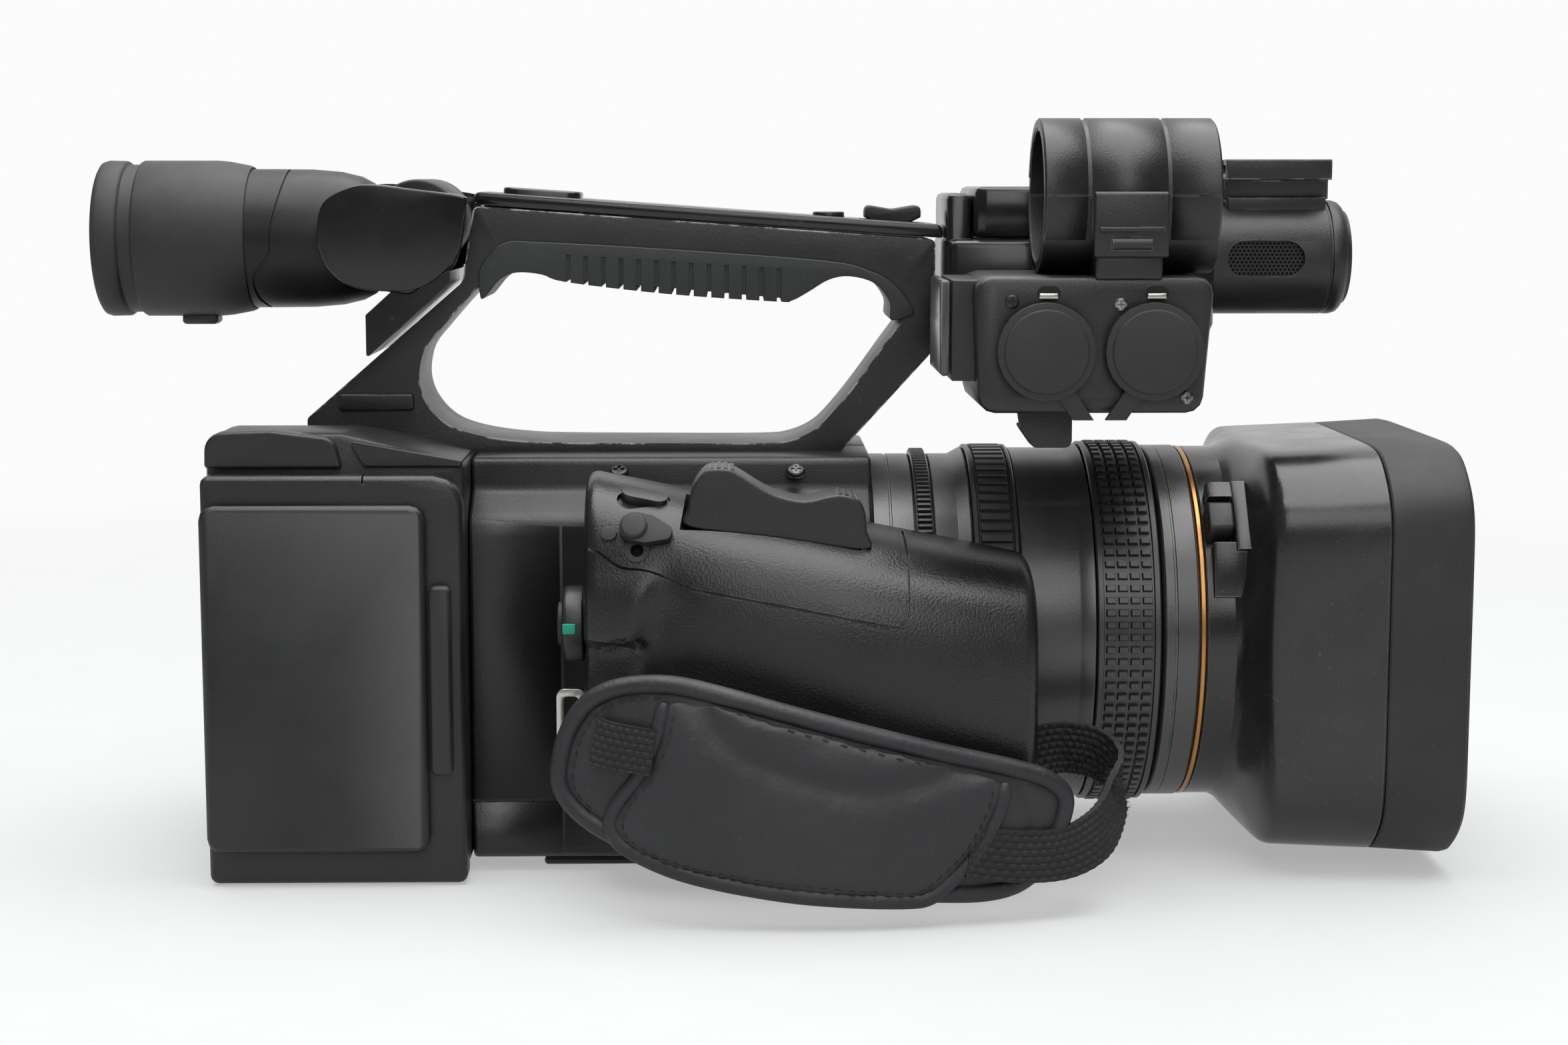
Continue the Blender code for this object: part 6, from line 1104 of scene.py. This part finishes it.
# %% [markdown]
# ## Grip
# The hand grip is one swelling moulding. It is skinned as a dense stack of rounded sections, dense
# enough for a seam to show as a real groove, which is cut along the edge of its top cover. The thumb
# rest at the rear is raised by moving points of the sections, with a hollow under it, and the room for
# the lens and for the rocker is cut out after.

# %% Shape the grip
GRIP_REAR, GRIP_FRONT, GRIP_FLAT, GRIP_OUT, GRIP_FOOT = -28.0, 77.6, -38.8, -76.0, 13.0
GRIP_TOP, GRIP_FALL, GRIP_END_R = 99.0, 20.5, 3.0
BOXY = 2.0 / 3.2


def grip_top(x):
    """Height of the grip's top at x; it falls towards the lens."""
    return GRIP_TOP - GRIP_FALL * (x - GRIP_REAR) / (GRIP_FRONT - GRIP_REAR)


def grip_frame(x):
    """Middle height, half height and outermost Y of the grip's section at x, rounded off at both ends."""
    share = (x - GRIP_REAR) / (GRIP_FRONT - GRIP_REAR)
    near = min(x - GRIP_REAR, GRIP_FRONT - x)
    inset = GRIP_END_R - math.sqrt(max(GRIP_END_R ** 2 - max(GRIP_END_R - near, 0.0) ** 2, 0.0))
    middle, half = (grip_top(x) + GRIP_FOOT) / 2.0, (grip_top(x) - GRIP_FOOT) / 2.0
    swell = 0.8 + 0.2 * math.sin(math.pi * (0.12 + 0.62 * share))
    return middle, half - inset, GRIP_OUT * swell + inset


def grip_skin_y(x, z):
    """Y of the grip's outer skin over a point of the side view."""
    middle, half, out = grip_frame(x)
    rise = min(abs(z - middle) / half, 1.0) ** (1.0 / BOXY)
    return GRIP_FLAT + (out - GRIP_FLAT) * math.sqrt(max(1.0 - rise * rise, 0.0)) ** BOXY


def line_gap(point, line):
    """Distance from a point to a line of points."""
    best = 1e9
    for a, b in zip(line, line[1:]):
        a, b = Vector(a), Vector(b)
        share = min(max((point - a).dot(b - a) / max((b - a).length_squared, 1e-9), 0.0), 1.0)
        best = min(best, (point - a - (b - a) * share).length)
    return best


cover_seam = smooth_line([(-28.5, 83.2), (-24.5, 82.4), (-19.3, 79.2), (-12.5, 78.4), (-4.1, 74.9),
                          (2.2, 73.6), (22.0, 70.2), (42.0, 66.3), (45.6, 67.0), (47.0, 70.0), (47.2, 76.0),
                          (47.2, 84.5)], 4, False)


def soft_step(value, steep):
    """A soft step from 0 to 1 about zero."""
    return 1.0 / (1.0 + math.exp(-max(min(value * steep, 60.0), -60.0)))


REST_FOOT, REST_HEAD, REST_FRONT = 61.2, 77.0, -15.5
REST_RISE, HOLLOW_FOOT, HOLLOW_DEPTH = 2.3, 52.0, 2.2


def thumb_rest(x, z):
    """How far the skin is pressed in: a hollow, less the rest that stands above it, and a dip in front."""
    behind = soft_step(REST_FRONT + (z - 61.0) * 0.25 - x, 0.9)
    shelf = soft_step(z - REST_FOOT, 3.2)
    hollow = HOLLOW_DEPTH * (1.0 - shelf) * behind * soft_step(z - HOLLOW_FOOT, 0.8)
    rest = REST_RISE * shelf * behind * soft_step(REST_HEAD - z, 0.5)
    dip = math.exp(-((x + 8.5) / 4.5) ** 2 - ((z - 68.0) / 8.0) ** 2)
    return hollow - rest + dip


STATIONS, ROUND = 176, 220
rings = []
for i in range(STATIONS + 1):
    x = GRIP_REAR + (GRIP_FRONT - GRIP_REAR) * i / STATIONS
    middle, half, out = grip_frame(x)
    ring = []
    for k in range(ROUND):
        turn = math.pi * (k / (ROUND - 1) - 0.5)
        c, s = math.cos(turn), math.sin(turn)
        y = GRIP_FLAT + (out - GRIP_FLAT) * abs(c) ** BOXY
        z = middle + math.copysign(abs(s) ** BOXY, s) * half
        near_rest = y < -42.0 and 40.0 < z < 90.0 and x < 12.0
        push = thumb_rest(x, z) if near_rest else 0.0
        ring.append((x, y + push * abs(c) ** 0.5, z))
    rings.append(ring)
grip = skinned("grip_finish", rings, True)
SEAM_DEPTH, CORE_STATIONS, CORE_ROUND = 0.7, 44, 80
inner_rings = []
for i in range(CORE_STATIONS + 1):
    x = GRIP_REAR - 4.0 + (GRIP_FRONT - GRIP_REAR) * i / CORE_STATIONS
    middle, half, out = grip_frame(max(min(x, GRIP_FRONT - 0.1), GRIP_REAR + GRIP_END_R))
    ring = []
    for k in range(CORE_ROUND):
        turn = math.pi * (k / (CORE_ROUND - 1.0) - 0.5) * 0.9999
        c, s = math.cos(turn), math.sin(turn)
        ring.append((x, GRIP_FLAT + 2.0 + (out + SEAM_DEPTH - GRIP_FLAT - 2.0) * c ** BOXY,
                     middle + math.copysign(abs(s) ** BOXY, s) * (half - SEAM_DEPTH)))
    inner_rings.append(ring)
score = slab("score", [strip(cover_seam, 0.3)], "xz", -90.0, -44.0)
cut(score, skinned("core", inner_rings, True))
cut(grip, score)
cut(grip, rod("lens_room", (67.0, 0.0, LENS_Z), ALONG_X, 47.0, 60.0, 160))
GRIP_SLOPE, ROCKER_X = math.atan2(GRIP_FALL, GRIP_FRONT - GRIP_REAR), 16.5
pocket = block("pocket", (-21.2, -64.6, -7.0), (21.2, -49.4, 6.0))
pocket.data.transform(Matrix.Translation((ROCKER_X * MM, 0.0, grip_top(ROCKER_X) * MM))
                      @ Matrix.Rotation(GRIP_SLOPE, 4, "Y"))
cut(grip, pocket)


def seat_on(x, z):
    """A frame on the grip's skin over a point of the side view: X along it, Z out of it."""
    here, ahead, up = (Vector((u, grip_skin_y(u, v), v)) for u, v in ((x, z), (x + 0.2, z), (x, z + 0.2)))
    ahead = (ahead - here).normalized()
    out = ahead.cross(up - here).normalized()
    return Matrix.Translation(here * MM) @ Matrix((ahead, out.cross(ahead), out)).transposed().to_4x4()


def seated(piece, x, z):
    """Move a piece made at the origin, facing +Z, onto the grip's skin."""
    piece.data.transform(seat_on(x, z))
    return piece


JACK = (-15.4, 82.9)
cut(grip, seated(slab("button_ring", [oval(0.0, 0.0, 6.4, 3.2, 10)], "xy", -1.0, 6.0), -14.1, 93.8))
cut(grip, seated(slab("jack_bore", [disc(0.0, 0.0, 1.5, 32)], "xy", -3.0, 6.0), *JACK))
dress(grip, GRIP_SKIN, "camera_body", "casing", "grip_shell", "grip_top_cover", angle=40.0)
print("grip:", len(grip.data.polygons), "faces")

# %% Fit the grip's controls
rocker_side = [(-3.6, 92.0), (-2.6, 97.2), (0.2, 101.0), (3.0, 101.6), (6.0, 101.4), (8.5, 100.1),
               (15.8, 95.8), (23.2, 94.1), (29.0, 95.2), (32.0, 95.5), (35.4, 94.5), (37.2, 92.2),
               (37.8, 87.0), (37.4, 82.4), (16.0, 85.0), (-3.4, 88.0)]
rocker = slab("zoom_rocker_finish", [smooth_line(rocker_side, 4)], "xz", -64.0, -50.0, 0.7, True, 4)
tips = [(2.0, 101.4), (3.5, 101.6), (5.0, 101.5), (6.5, 101.2), (31.6, 95.4), (33.1, 95.2), (34.6, 94.8),
        (36.0, 93.9)]
knurl = joined(*[rod("rocker_ribs", (x, -57.2, z - 0.2), ALONG_Y, 0.62, 12.6, 12) for x, z in tips])
dress(joined(rocker, knurl), CASING, "zoom_rocker", "casing", "zoom_rocker")
dress(refined("focus_button", 0.5), CASING, "focus_button", "rubber", "focus_button")
crown = seated(slab("plug_crown", [disc(0.0, 0.0, 3.2, 40)], "xy", 1.0, 3.4, 0.8), -16.0, 87.3)
dress(joined(refined("jack_plug", 0.5), crown), RUBBER, "jack_plug", "rubber", "jack_plug")
anchor = seated(slab("plug_anchor", [oval(0.0, 0.0, 1.9, 1.6, 8)], "xy", -0.6, 0.8, 0.4), -22.0, 86.4)
collar = seated(slab("jack_collar", [disc(0.0, 0.0, 2.8, 48), disc(0.0, 0.0, 1.6, 48)], "xy", -0.6, 0.4),
                *JACK)
dress(joined(anchor, collar), RUBBER, "camera_body", "rubber")
# A dark disc at the bottom of the jack bore is painted shade in the hole.
dress(seated(slab("jack_hole_shade", [disc(0.0, 0.0, 1.5, 32)], "xy", -3.0, -2.6), *JACK), DARK, "camera_body",
      "casing")
dress(refined("power_dial", 0.5), CASING, "power_dial", "casing", "power_dial")
dress(refined("rec_button", 0.5), RUBBER, "rec_button", "rubber", "rec_button")
dress(refined("strap_loop_rear", 0.4), METAL, "camera_body", "bright_metal", "strap_loop_rear")
GREEN = hard_finish("green_mark", (0.0, 0.22, 0.13), (0.0, 0.28, 0.17), 0.5, 900.0, 0.01, None, 0.05, 0.0)
dress(block("power_mark", (-33.0, -64.5, 63.0), (-30.0, -63.7, 65.4), 0.2), GREEN, "power_dial", "casing")
print("controls fitted")

# %% [markdown]
# ## Strap
# The hand strap is a soft pad with a corded edge, a leather flap over it and a length of webbing. The
# pad and the flap start as pillows: rings that shrink from the outline to a middle point, bowed out
# over the hand. A cloth simulation with a little pressure inside fills them; creases, cords and
# stitches follow.

# %% Mix the soft finishes
def leather_finish(name, dark, light, rough):
    """Artificial leather: a fine pebbled skin with some dust in it."""
    made = bpy.data.materials.new(name)
    made.use_nodes = True
    tree = made.node_tree
    shader = tree.nodes["Principled BSDF"]
    skin = placed(tree, grain, Scale=700.0)
    film = placed(tree, dust, Amount=0.22)
    colour = mixed(tree, skin.outputs["Tone"], dark, light)
    tree.links.new(mixed(tree, film.outputs["Mask"], colour, (0.14, 0.14, 0.135)),
                   shader.inputs["Base Color"])
    base = math_node(tree, "MULTIPLY_ADD", skin.outputs["Tone"], 0.12)
    base.node.inputs[2].default_value = rough
    tree.links.new(base, shader.inputs["Roughness"])
    where = put(tree, "ShaderNodeTexCoord").outputs["Object"]
    cells = put(tree, "ShaderNodeTexVoronoi", [("Vector", where), ("Scale", 900.0)], feature="SMOOTH_F1")
    relief = put(tree, "ShaderNodeBump", [("Height", cells.outputs["Distance"]), ("Strength", 0.5),
                                          ("Distance", 0.0002)])
    tree.links.new(relief.outputs["Normal"], shader.inputs["Normal"])
    return made


LEATHER = leather_finish("strap_leather", (0.0125, 0.013, 0.0142), (0.0185, 0.0192, 0.021), 0.54)
CORD = leather_finish("strap_cord", (0.0095, 0.0098, 0.0115), (0.014, 0.0147, 0.0175), 0.5)
WEB = hard_finish("webbing", (0.0045, 0.0045, 0.005), (0.008, 0.008, 0.0085), 0.7, 2600.0, 0.05,
                  None, 0.2, 0.0)
THREAD = hard_finish("thread", (0.005, 0.005, 0.006), (0.009, 0.009, 0.01), 0.55, 3000.0, 0.03,
                     None, 0.1, 0.0)
print("soft finishes ready")


# %% Fill the pad and the flap
STRAP_REAR, STRAP_LONG, STRAP_Y, STRAP_BOW = -37.0, 122.0, -79.0, 10.0


def strap_y(x):
    """Y of the strap's middle at x; it bows out over the hand."""
    share = min(max((x - STRAP_REAR) / STRAP_LONG, 0.0), 1.0)
    return STRAP_Y - STRAP_BOW * math.sin(math.pi * share)


def pillow(name, outline, centre, lift, front, back, steps=14):
    """Rings from the outline to a middle point, on the front and on the back of the strap's bow."""
    rings = []
    for side, swell in ((-1, front), (1, back)):
        half = []
        for step in range(steps):
            t = 1.0 - step / steps
            ring = []
            for u, v in outline:
                x, z = centre[0] + t * (u - centre[0]), centre[1] + t * (v - centre[1])
                thick = 1.2 + swell * math.sqrt(max(1.0 - t ** 4, 0.0))
                ring.append((x, strap_y(x) + lift + side * thick, z))
            half.append(ring)
        rings += half[::-1] if side < 0 else half
    return skinned(name, rings, True)


def puffed(piece, pressure, cap=1.0):
    """Simulate cloth with pressure inside, then hold every point near where it began."""
    use(piece, "REMESH", mode="VOXEL", voxel_size=1.6 * MM)
    start = [vert.co.copy() for vert in piece.data.vertices]
    take(piece)
    cloth = piece.modifiers.new("cloth", "CLOTH")
    cloth.settings.use_pressure = True
    cloth.settings.uniform_pressure_force = pressure
    cloth.settings.effector_weights.gravity = 0.0
    cloth.settings.tension_stiffness = 30.0
    cloth.settings.compression_stiffness = 30.0
    for number in range(1, 13):
        bpy.context.scene.frame_set(number)
    bpy.ops.object.modifier_apply(modifier=cloth.name)
    bpy.context.scene.frame_set(1)
    for vert, old in zip(piece.data.vertices, start):
        move = vert.co - old
        if move.length > cap * MM:
            vert.co = old + move.normalized() * cap * MM
    use(piece, "SMOOTH", factor=0.5, iterations=6)
    use(piece, "SUBSURF", levels=1, render_levels=1)
    return piece


def creased(piece, depth, broad, lines):
    """Press creases along lines of (x, z) points, and a fine unevenness everywhere."""
    paths = [smooth_line(line, 4, False) for line in lines]
    for vert in piece.data.vertices:
        here = Vector((vert.co.x / MM, vert.co.z / MM))
        dip = 0.22 * noise.noise(vert.co * 70.0) + 0.1 * noise.noise(vert.co * 220.0)
        for path in paths:
            dip += depth * math.exp(-(line_gap(here, path) / broad) ** 2)
        vert.co.y += dip * MM
    return piece


pad_line = [(-32.8, 34.2), (-31.1, 42.3), (-26.9, 49.5), (-20.2, 53.7), (-10.5, 55.2), (0.5, 53.8),
            (23.4, 47.7), (50.0, 40.4), (72.2, 34.4), (79.4, 31.2), (82.5, 27.3), (81.5, 21.5), (78.0, 14.0),
            (72.5, 8.6), (64.0, 6.6), (50.0, 7.2), (32.0, 8.4), (18.0, 9.8), (1.2, 12.6), (-10.0, 15.6),
            (-20.5, 20.0), (-27.8, 24.5), (-31.9, 29.3)]
flap_edge = [(-8.6, 51.6), (-10.6, 43.5), (-14.2, 35.0), (-19.4, 27.8), (-21.0, 22.9), (-18.4, 18.2),
             (-9.4, 13.8), (1.2, 10.9), (18.0, 8.1), (32.2, 6.7), (46.0, 6.0), (51.0, 6.6), (55.0, 9.4),
             (61.6, 16.0), (66.6, 25.2), (68.4, 32.4)]
flap_line = flap_edge + [(60.0, 35.8), (50.0, 38.6), (23.4, 45.9), (-0.4, 52.2)]
fold = [(-1.2, 51.7), (2.2, 46.4), (6.6, 41.9), (14.5, 37.4), (25.0, 33.8), (36.5, 31.9), (49.6, 33.6),
        (61.9, 37.2)]
pad = pillow("strap_pad_finish", smooth_line(pad_line, 5), (24.0, 30.0), 0.0, 1.6, 1.8)
flap = pillow("strap_flap", smooth_line(flap_line, 5), (22.0, 27.0), -2.4, 1.2, 0.4)
puffed(pad, 2.0)
puffed(flap, 2.0)
creased(flap, 1.5, 3.3, [fold])
creased(flap, 0.3, 1.3, [[(-15.0, 24.0), (-4.0, 27.0), (6.0, 27.0)],
                         [(-4.0, 14.5), (4.0, 18.0), (9.0, 24.0)],
                         [(62.0, 25.0), (52.0, 22.0), (44.0, 22.5)]])
creased(pad, 0.5, 1.2, [[(-29.0, 38.0), (-25.0, 42.0), (-22.0, 50.0)],
                        [(72.0, 31.0), (75.0, 24.0), (73.0, 15.0)]])
dress(pad, LEATHER, "camera_body", "strap_leather", "strap_pad", angle=70.0)
dress(flap, LEATHER, "camera_body", "strap_leather", angle=70.0)
print("strap:", len(pad.data.polygons), "and", len(flap.data.polygons), "faces")


# %% Lay the cords and sew the stitches
def cord_along(name, path, wide, deep, sides=14, closed=True):
    """A flattened cord along a line of (x, y, z) points."""
    rings, count = [], len(path)
    for i, point in enumerate(path):
        ahead = Vector(path[(i + 1) % count if closed else min(i + 1, count - 1)])
        ahead = (ahead - Vector(path[i - 1 if closed else max(i - 1, 0)])).normalized()
        side = ahead.cross(Vector((0, 1, 0))).normalized()
        up = side.cross(ahead)
        shrink = 1.0 if closed else min(1.0, 0.35 + 0.25 * min(i, count - 1 - i))
        rings.append([tuple(Vector(point) + shrink * (wide * math.cos(math.tau * k / sides) * side
                                                      + deep * math.sin(math.tau * k / sides) * up))
                      for k in range(sides)])
    return skinned(name, rings, not closed)


def sewn_along(path, cloth, pitch=2.3):
    """Stitches laid on a piece along a line of (x, z) points, found by looking in from the front."""
    spots, walked, made = [], 0.0, []
    for a, b in zip(path, path[1:]):
        walked += (Vector(b) - Vector(a)).length
        if walked > pitch:
            walked = 0.0
            spots.append((a, math.atan2(b[1] - a[1], b[0] - a[0])))
    for (x, z), turn in spots:
        found, place, facing, face = cloth.ray_cast(Vector((x * MM, -0.2, z * MM)), Vector((0, 1, 0)))
        if found:
            one = bpy.data.objects.new("strap_stitches", stitch.data.copy())
            bpy.context.scene.collection.objects.link(one)
            one.data.transform(Matrix.Translation(place) @ Matrix.Rotation(math.pi / 2, 4, "X")
                               @ Matrix.Rotation(turn, 4, "Z"))
            made.append(one)
    return made


def pulled(path, centre, inward):
    """A line moved towards a middle point by a length."""
    moved = []
    for x, z in path:
        to = Vector(centre) - Vector((x, z))
        moved.append(tuple(Vector((x, z)) + to.normalized() * inward))
    return moved


pad_path = smooth_line(pad_line, 8)
pad_cord = cord_along("strap_cord", [(x, strap_y(x) - 0.6, z) for x, z in pad_path], 2.3, 2.5)
dress(pad_cord, CORD, "camera_body", "strap_leather", angle=70.0)
edge_path = smooth_line(flap_edge, 8, False)
flap_cord = cord_along("flap_cord", [(x, strap_y(x) - 2.9, z) for x, z in edge_path], 1.9, 1.5, closed=False)
dress(flap_cord, CORD, "camera_body", "strap_leather", angle=70.0)
stitch = slab("stitch", [oval(0.0, 0.0, 0.75, 0.2, 3)], "xy", 0.0, 0.3, 0.12)
bpy.context.view_layer.update()
sewn = sewn_along(pulled(smooth_line(flap_edge, 12, False), (22.0, 30.0), 2.5), flap)
sewn += sewn_along(pulled(smooth_line(pad_line[3:10], 12, False), (24.0, 10.0), 3.0), flap)
sewn += sewn_along(pulled(smooth_line(pad_line[-2:] + pad_line[:5], 12, False), (0.0, 30.0), 3.0), pad)
bpy.data.objects.remove(stitch)
dress(joined(*sewn), THREAD, "camera_body", "strap_leather")
print("stitches:", len(sewn))


# %% Weave the webbing
def woven(name, path, width, tilt=0.0, thick=1.2, pitch=1.6):
    """A flat strap along a path of (x, y, z) points, its threads raised in a plain weave."""
    path = smooth_line(path, 40, False)
    line, walked = [Vector(path[0])], 0.0
    for a, b in zip(path, path[1:]):
        walked += (Vector(b) - Vector(a)).length
        if walked > pitch / 4.0:
            walked = 0.0
            line.append(Vector(b))
    rows = int(width / pitch * 4)
    rings = []
    for i, point in enumerate(line):
        ahead = (line[min(i + 1, len(line) - 1)] - line[max(i - 1, 0)]).normalized()
        lean = Vector((math.sin(tilt), 0.0, math.cos(tilt)))
        across = (lean - ahead * lean.dot(ahead)).normalized()
        out = ahead.cross(across)
        ring = []
        for side in (1, -1):
            for k in range(rows + 1):
                u = (k / rows - 0.5) * width * side
                high = thick / 2 + 0.5 * abs(math.sin(math.pi * u / pitch)) * (
                    0.6 + 0.4 * math.sin(math.pi * i / 2.0 + math.pi * math.floor(u / pitch)))
                ring.append(tuple(point + across * u + out * side * high))
        rings.append(ring)
    return skinned(name, rings, True)


loop_out = woven("strap_webbing_finish", [(60.0, -88.6, 17.0), (72.0, -85.5, 15.0), (83.0, -82.0, 15.0),
                                          (91.0, -78.0, 18.5), (95.5, -71.5, 24.0), (96.5, -66.0, 29.5),
                                          (92.5, -61.5, 33.5), (85.0, -58.5, 34.5), (78.2, -57.2, 33.0)],
                 12.0, -0.12)
dress(loop_out, WEB, "camera_body", "webbing", "strap_webbing")


def fuzz(name, path, width, count, reach):
    """Loose fibres of the hook-and-loop end: thin bent spikes of three sides."""
    random.seed(7)
    line = [Vector(point) for point in smooth_line(path, 40, False)]
    points, faces = [], []
    for _ in range(count):
        i = random.randrange(1, len(line) - 1)
        ahead = (line[i + 1] - line[i - 1]).normalized()
        across = (Vector((-0.12, 0.0, 1.0)) - ahead * ahead.z).normalized()
        out, side = ahead.cross(across), random.choice((-1.0, 1.0))
        root = line[i] + across * random.uniform(-0.5, 0.5) * width + out * side * 0.5
        lean = (out * side * random.uniform(0.3, 1.0) + across * random.uniform(-0.9, 0.9)
                + ahead * random.uniform(-0.8, 0.8)).normalized()
        curl = Vector([random.uniform(-0.5, 0.5) for _ in range(3)])
        length = reach * random.uniform(0.4, 1.0)
        first = len(points)
        for step, thick in enumerate((0.09, 0.08, 0.06, 0.03)):
            share = step / 3.0
            spot = root + (lean * share + curl * share * share) * length
            points += [tuple(spot + (ahead * math.cos(turn) + across * math.sin(turn)) * thick)
                       for turn in (0.0, math.tau / 3, math.tau * 2 / 3)]
        for step in range(3):
            low, high = first + 3 * step, first + 3 * step + 3
            faces += [(low + k, low + (k + 1) % 3, high + (k + 1) % 3, high + k) for k in range(3)]
    return drawn(name, points, (), faces)


fibres = fuzz("strap_fuzz", [(95.5, -71.5, 24.0), (96.5, -66.0, 29.5), (92.5, -61.5, 33.5),
                             (85.0, -58.5, 34.5)], 12.0, 1600, 1.9)
dress(fibres, WEB, "camera_body", "webbing")
window = woven("strap_webbing_rear", [(-24.4, -85.4, 42.4), (-22.5, -87.0, 42.0), (-18.0, -88.2, 41.2),
                                      (-11.0, -89.4, 40.2)],
               10.4, 0.26)
dress(window, WEB, "camera_body", "webbing")
print("webbing:", len(loop_out.data.polygons), "faces")

# %% [markdown]
# ## The sides the photograph does not show
# A camcorder of this kind is worked with the left hand, so that side carries buttons, switches and
# dials, and the rear has covered sockets. Nothing is known of the real ones, so these are plain and
# unlabelled, of ordinary size, and fixed.

# %% Fit the left side and the rear
LEFT_Y = 46.0
left_panel = slab("left_panel", [rectangle(-42.0, 30.0, 36.0, 80.0, 6.0)], "xz",
                  LEFT_Y - 1.0, LEFT_Y + 0.9, 0.6)
dress(left_panel, CASING, "camera_body", "casing")
keys = [slab("left_keys", [disc(x, z, radius, 32)], "xz", LEFT_Y, LEFT_Y + 2.2, 0.7)
        for x, z, radius in ((6.0, 72.0, 3.2), (16.0, 72.0, 3.2), (26.0, 72.0, 3.2), (-33.0, 38.0, 2.6),
                             (-23.0, 38.0, 2.6))]
dress(joined(*keys), RUBBER, "camera_body", "casing", angle=45.0)
# The lever slots are dark ovals of painted shade, a hair proud of the panel.
slot_shades = [slab("left_slot_shades", [oval(x, z, half_x, half_z, 6)], "xz", LEFT_Y, LEFT_Y + 1.0)
         for x, z, half_x, half_z in ((24.0, 54.0, 2.6, 9.0), (8.0, 54.0, 2.6, 9.0), (-10.0, 38.0, 8.0, 2.6),
                                      (12.0, 38.0, 8.0, 2.6))]
dress(joined(*slot_shades), DARK, "camera_body", "casing")
levers = [slab("left_levers", [rectangle(x - 2.0, z - 3.0, x + 2.0, z + 3.0, 0.8)], "xz",
               LEFT_Y, LEFT_Y + 3.4, 0.7)
          for x, z in ((24.0, 58.0), (8.0, 51.0), (-12.0, 38.0), (15.0, 38.0))]
dress(joined(*levers), CASING, "camera_body", "casing", angle=45.0)
DIAL = (-26.0, 62.0)
knob = slab("left_dial", [disc(*DIAL, 9.0, 64), disc(*DIAL, 5.2, 48)[::-1]], "xz", LEFT_Y, LEFT_Y + 3.0, 0.8)
centre = slab("left_dial_key", [disc(*DIAL, 4.6, 48)], "xz", LEFT_Y, LEFT_Y + 2.4, 0.8)
dress(joined(knob, centre), GLOSS, "camera_body", "gloss_casing", angle=45.0)
TOGGLES_X = (-34.0, -20.0, -6.0)
toggles = [slab("left_toggles", [disc(x, 15.0, 2.4, 24)], "xz", LEFT_Y - 0.5, LEFT_Y + 1.2, 0.5)
           for x in TOGGLES_X]
toggles += [slab("left_toggles", [oval(x, 17.5, 1.0, 3.4, 5)], "xz", LEFT_Y, LEFT_Y + 4.2, 0.8)
            for x in TOGGLES_X]
dress(joined(*toggles), DARK_METAL, "camera_body", "bright_metal", angle=45.0)
side_plate = slab("rear_left_plate", [rectangle(-113.0, 13.0, -63.0, 86.0, 5.0)], "xz",
                  LEFT_Y - 1.0, LEFT_Y + 0.8, 0.6)
VENTS, VENT_PITCH = 9, 3.0
for row in range(VENTS):
    cut(side_plate, slab("vent", [oval(-88.0, 56.0 + VENT_PITCH * row, 17.0, 0.8, 6)], "xz",
                         LEFT_Y + 0.1, LEFT_Y + 3.0))
dress(side_plate, CASING, "camera_body", "casing", angle=45.0)
# A dark floor showing at the bottom of the vent grooves is painted shade in the vents.
vent_shade_floor = slab("vent_shade_floor", [rectangle(-106.0, 54.0, -70.0, 82.0, 1.0)], "xz",
                  LEFT_Y - 0.4, LEFT_Y + 0.2)
dress(vent_shade_floor, DARK, "camera_body", "casing")
REAR_X = -119.0
caps = [slab("rear_caps", [disc(y, z, radius, 40)], "yz", REAR_X + 0.5, REAR_X - 1.8, 0.7)
        for y, z, radius in ((-36.5, 82.0, 3.4), (-36.5, 60.0, 3.4), (-36.5, 32.0, 4.2), (38.0, 74.0, 4.6),
                             (38.0, 56.0, 4.6), (38.0, 38.0, 4.6))]
flat = slab("rear_cover", [rectangle(33.0, 12.0, 43.0, 28.0, 2.0)], "yz", REAR_X + 0.5, REAR_X - 1.4, 0.6)
dress(joined(*caps, flat), RUBBER, "camera_body", "rubber", angle=45.0)
print("left side and rear: generic controls fitted")

# %% [markdown]
# ## Measure and finish
# The finished visual model is measured against the imported one, so that a piece that grew out of place
# shows up as a number.

# %% Print the sizes
visual_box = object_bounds()
sizes = {"cad": [list(corner) for corner in cad_box], "visual": [list(corner) for corner in visual_box]}
for label, (low, high) in sizes.items():
    print(label, [round((b - a) / MM, 1) for a, b in zip(low, high)])
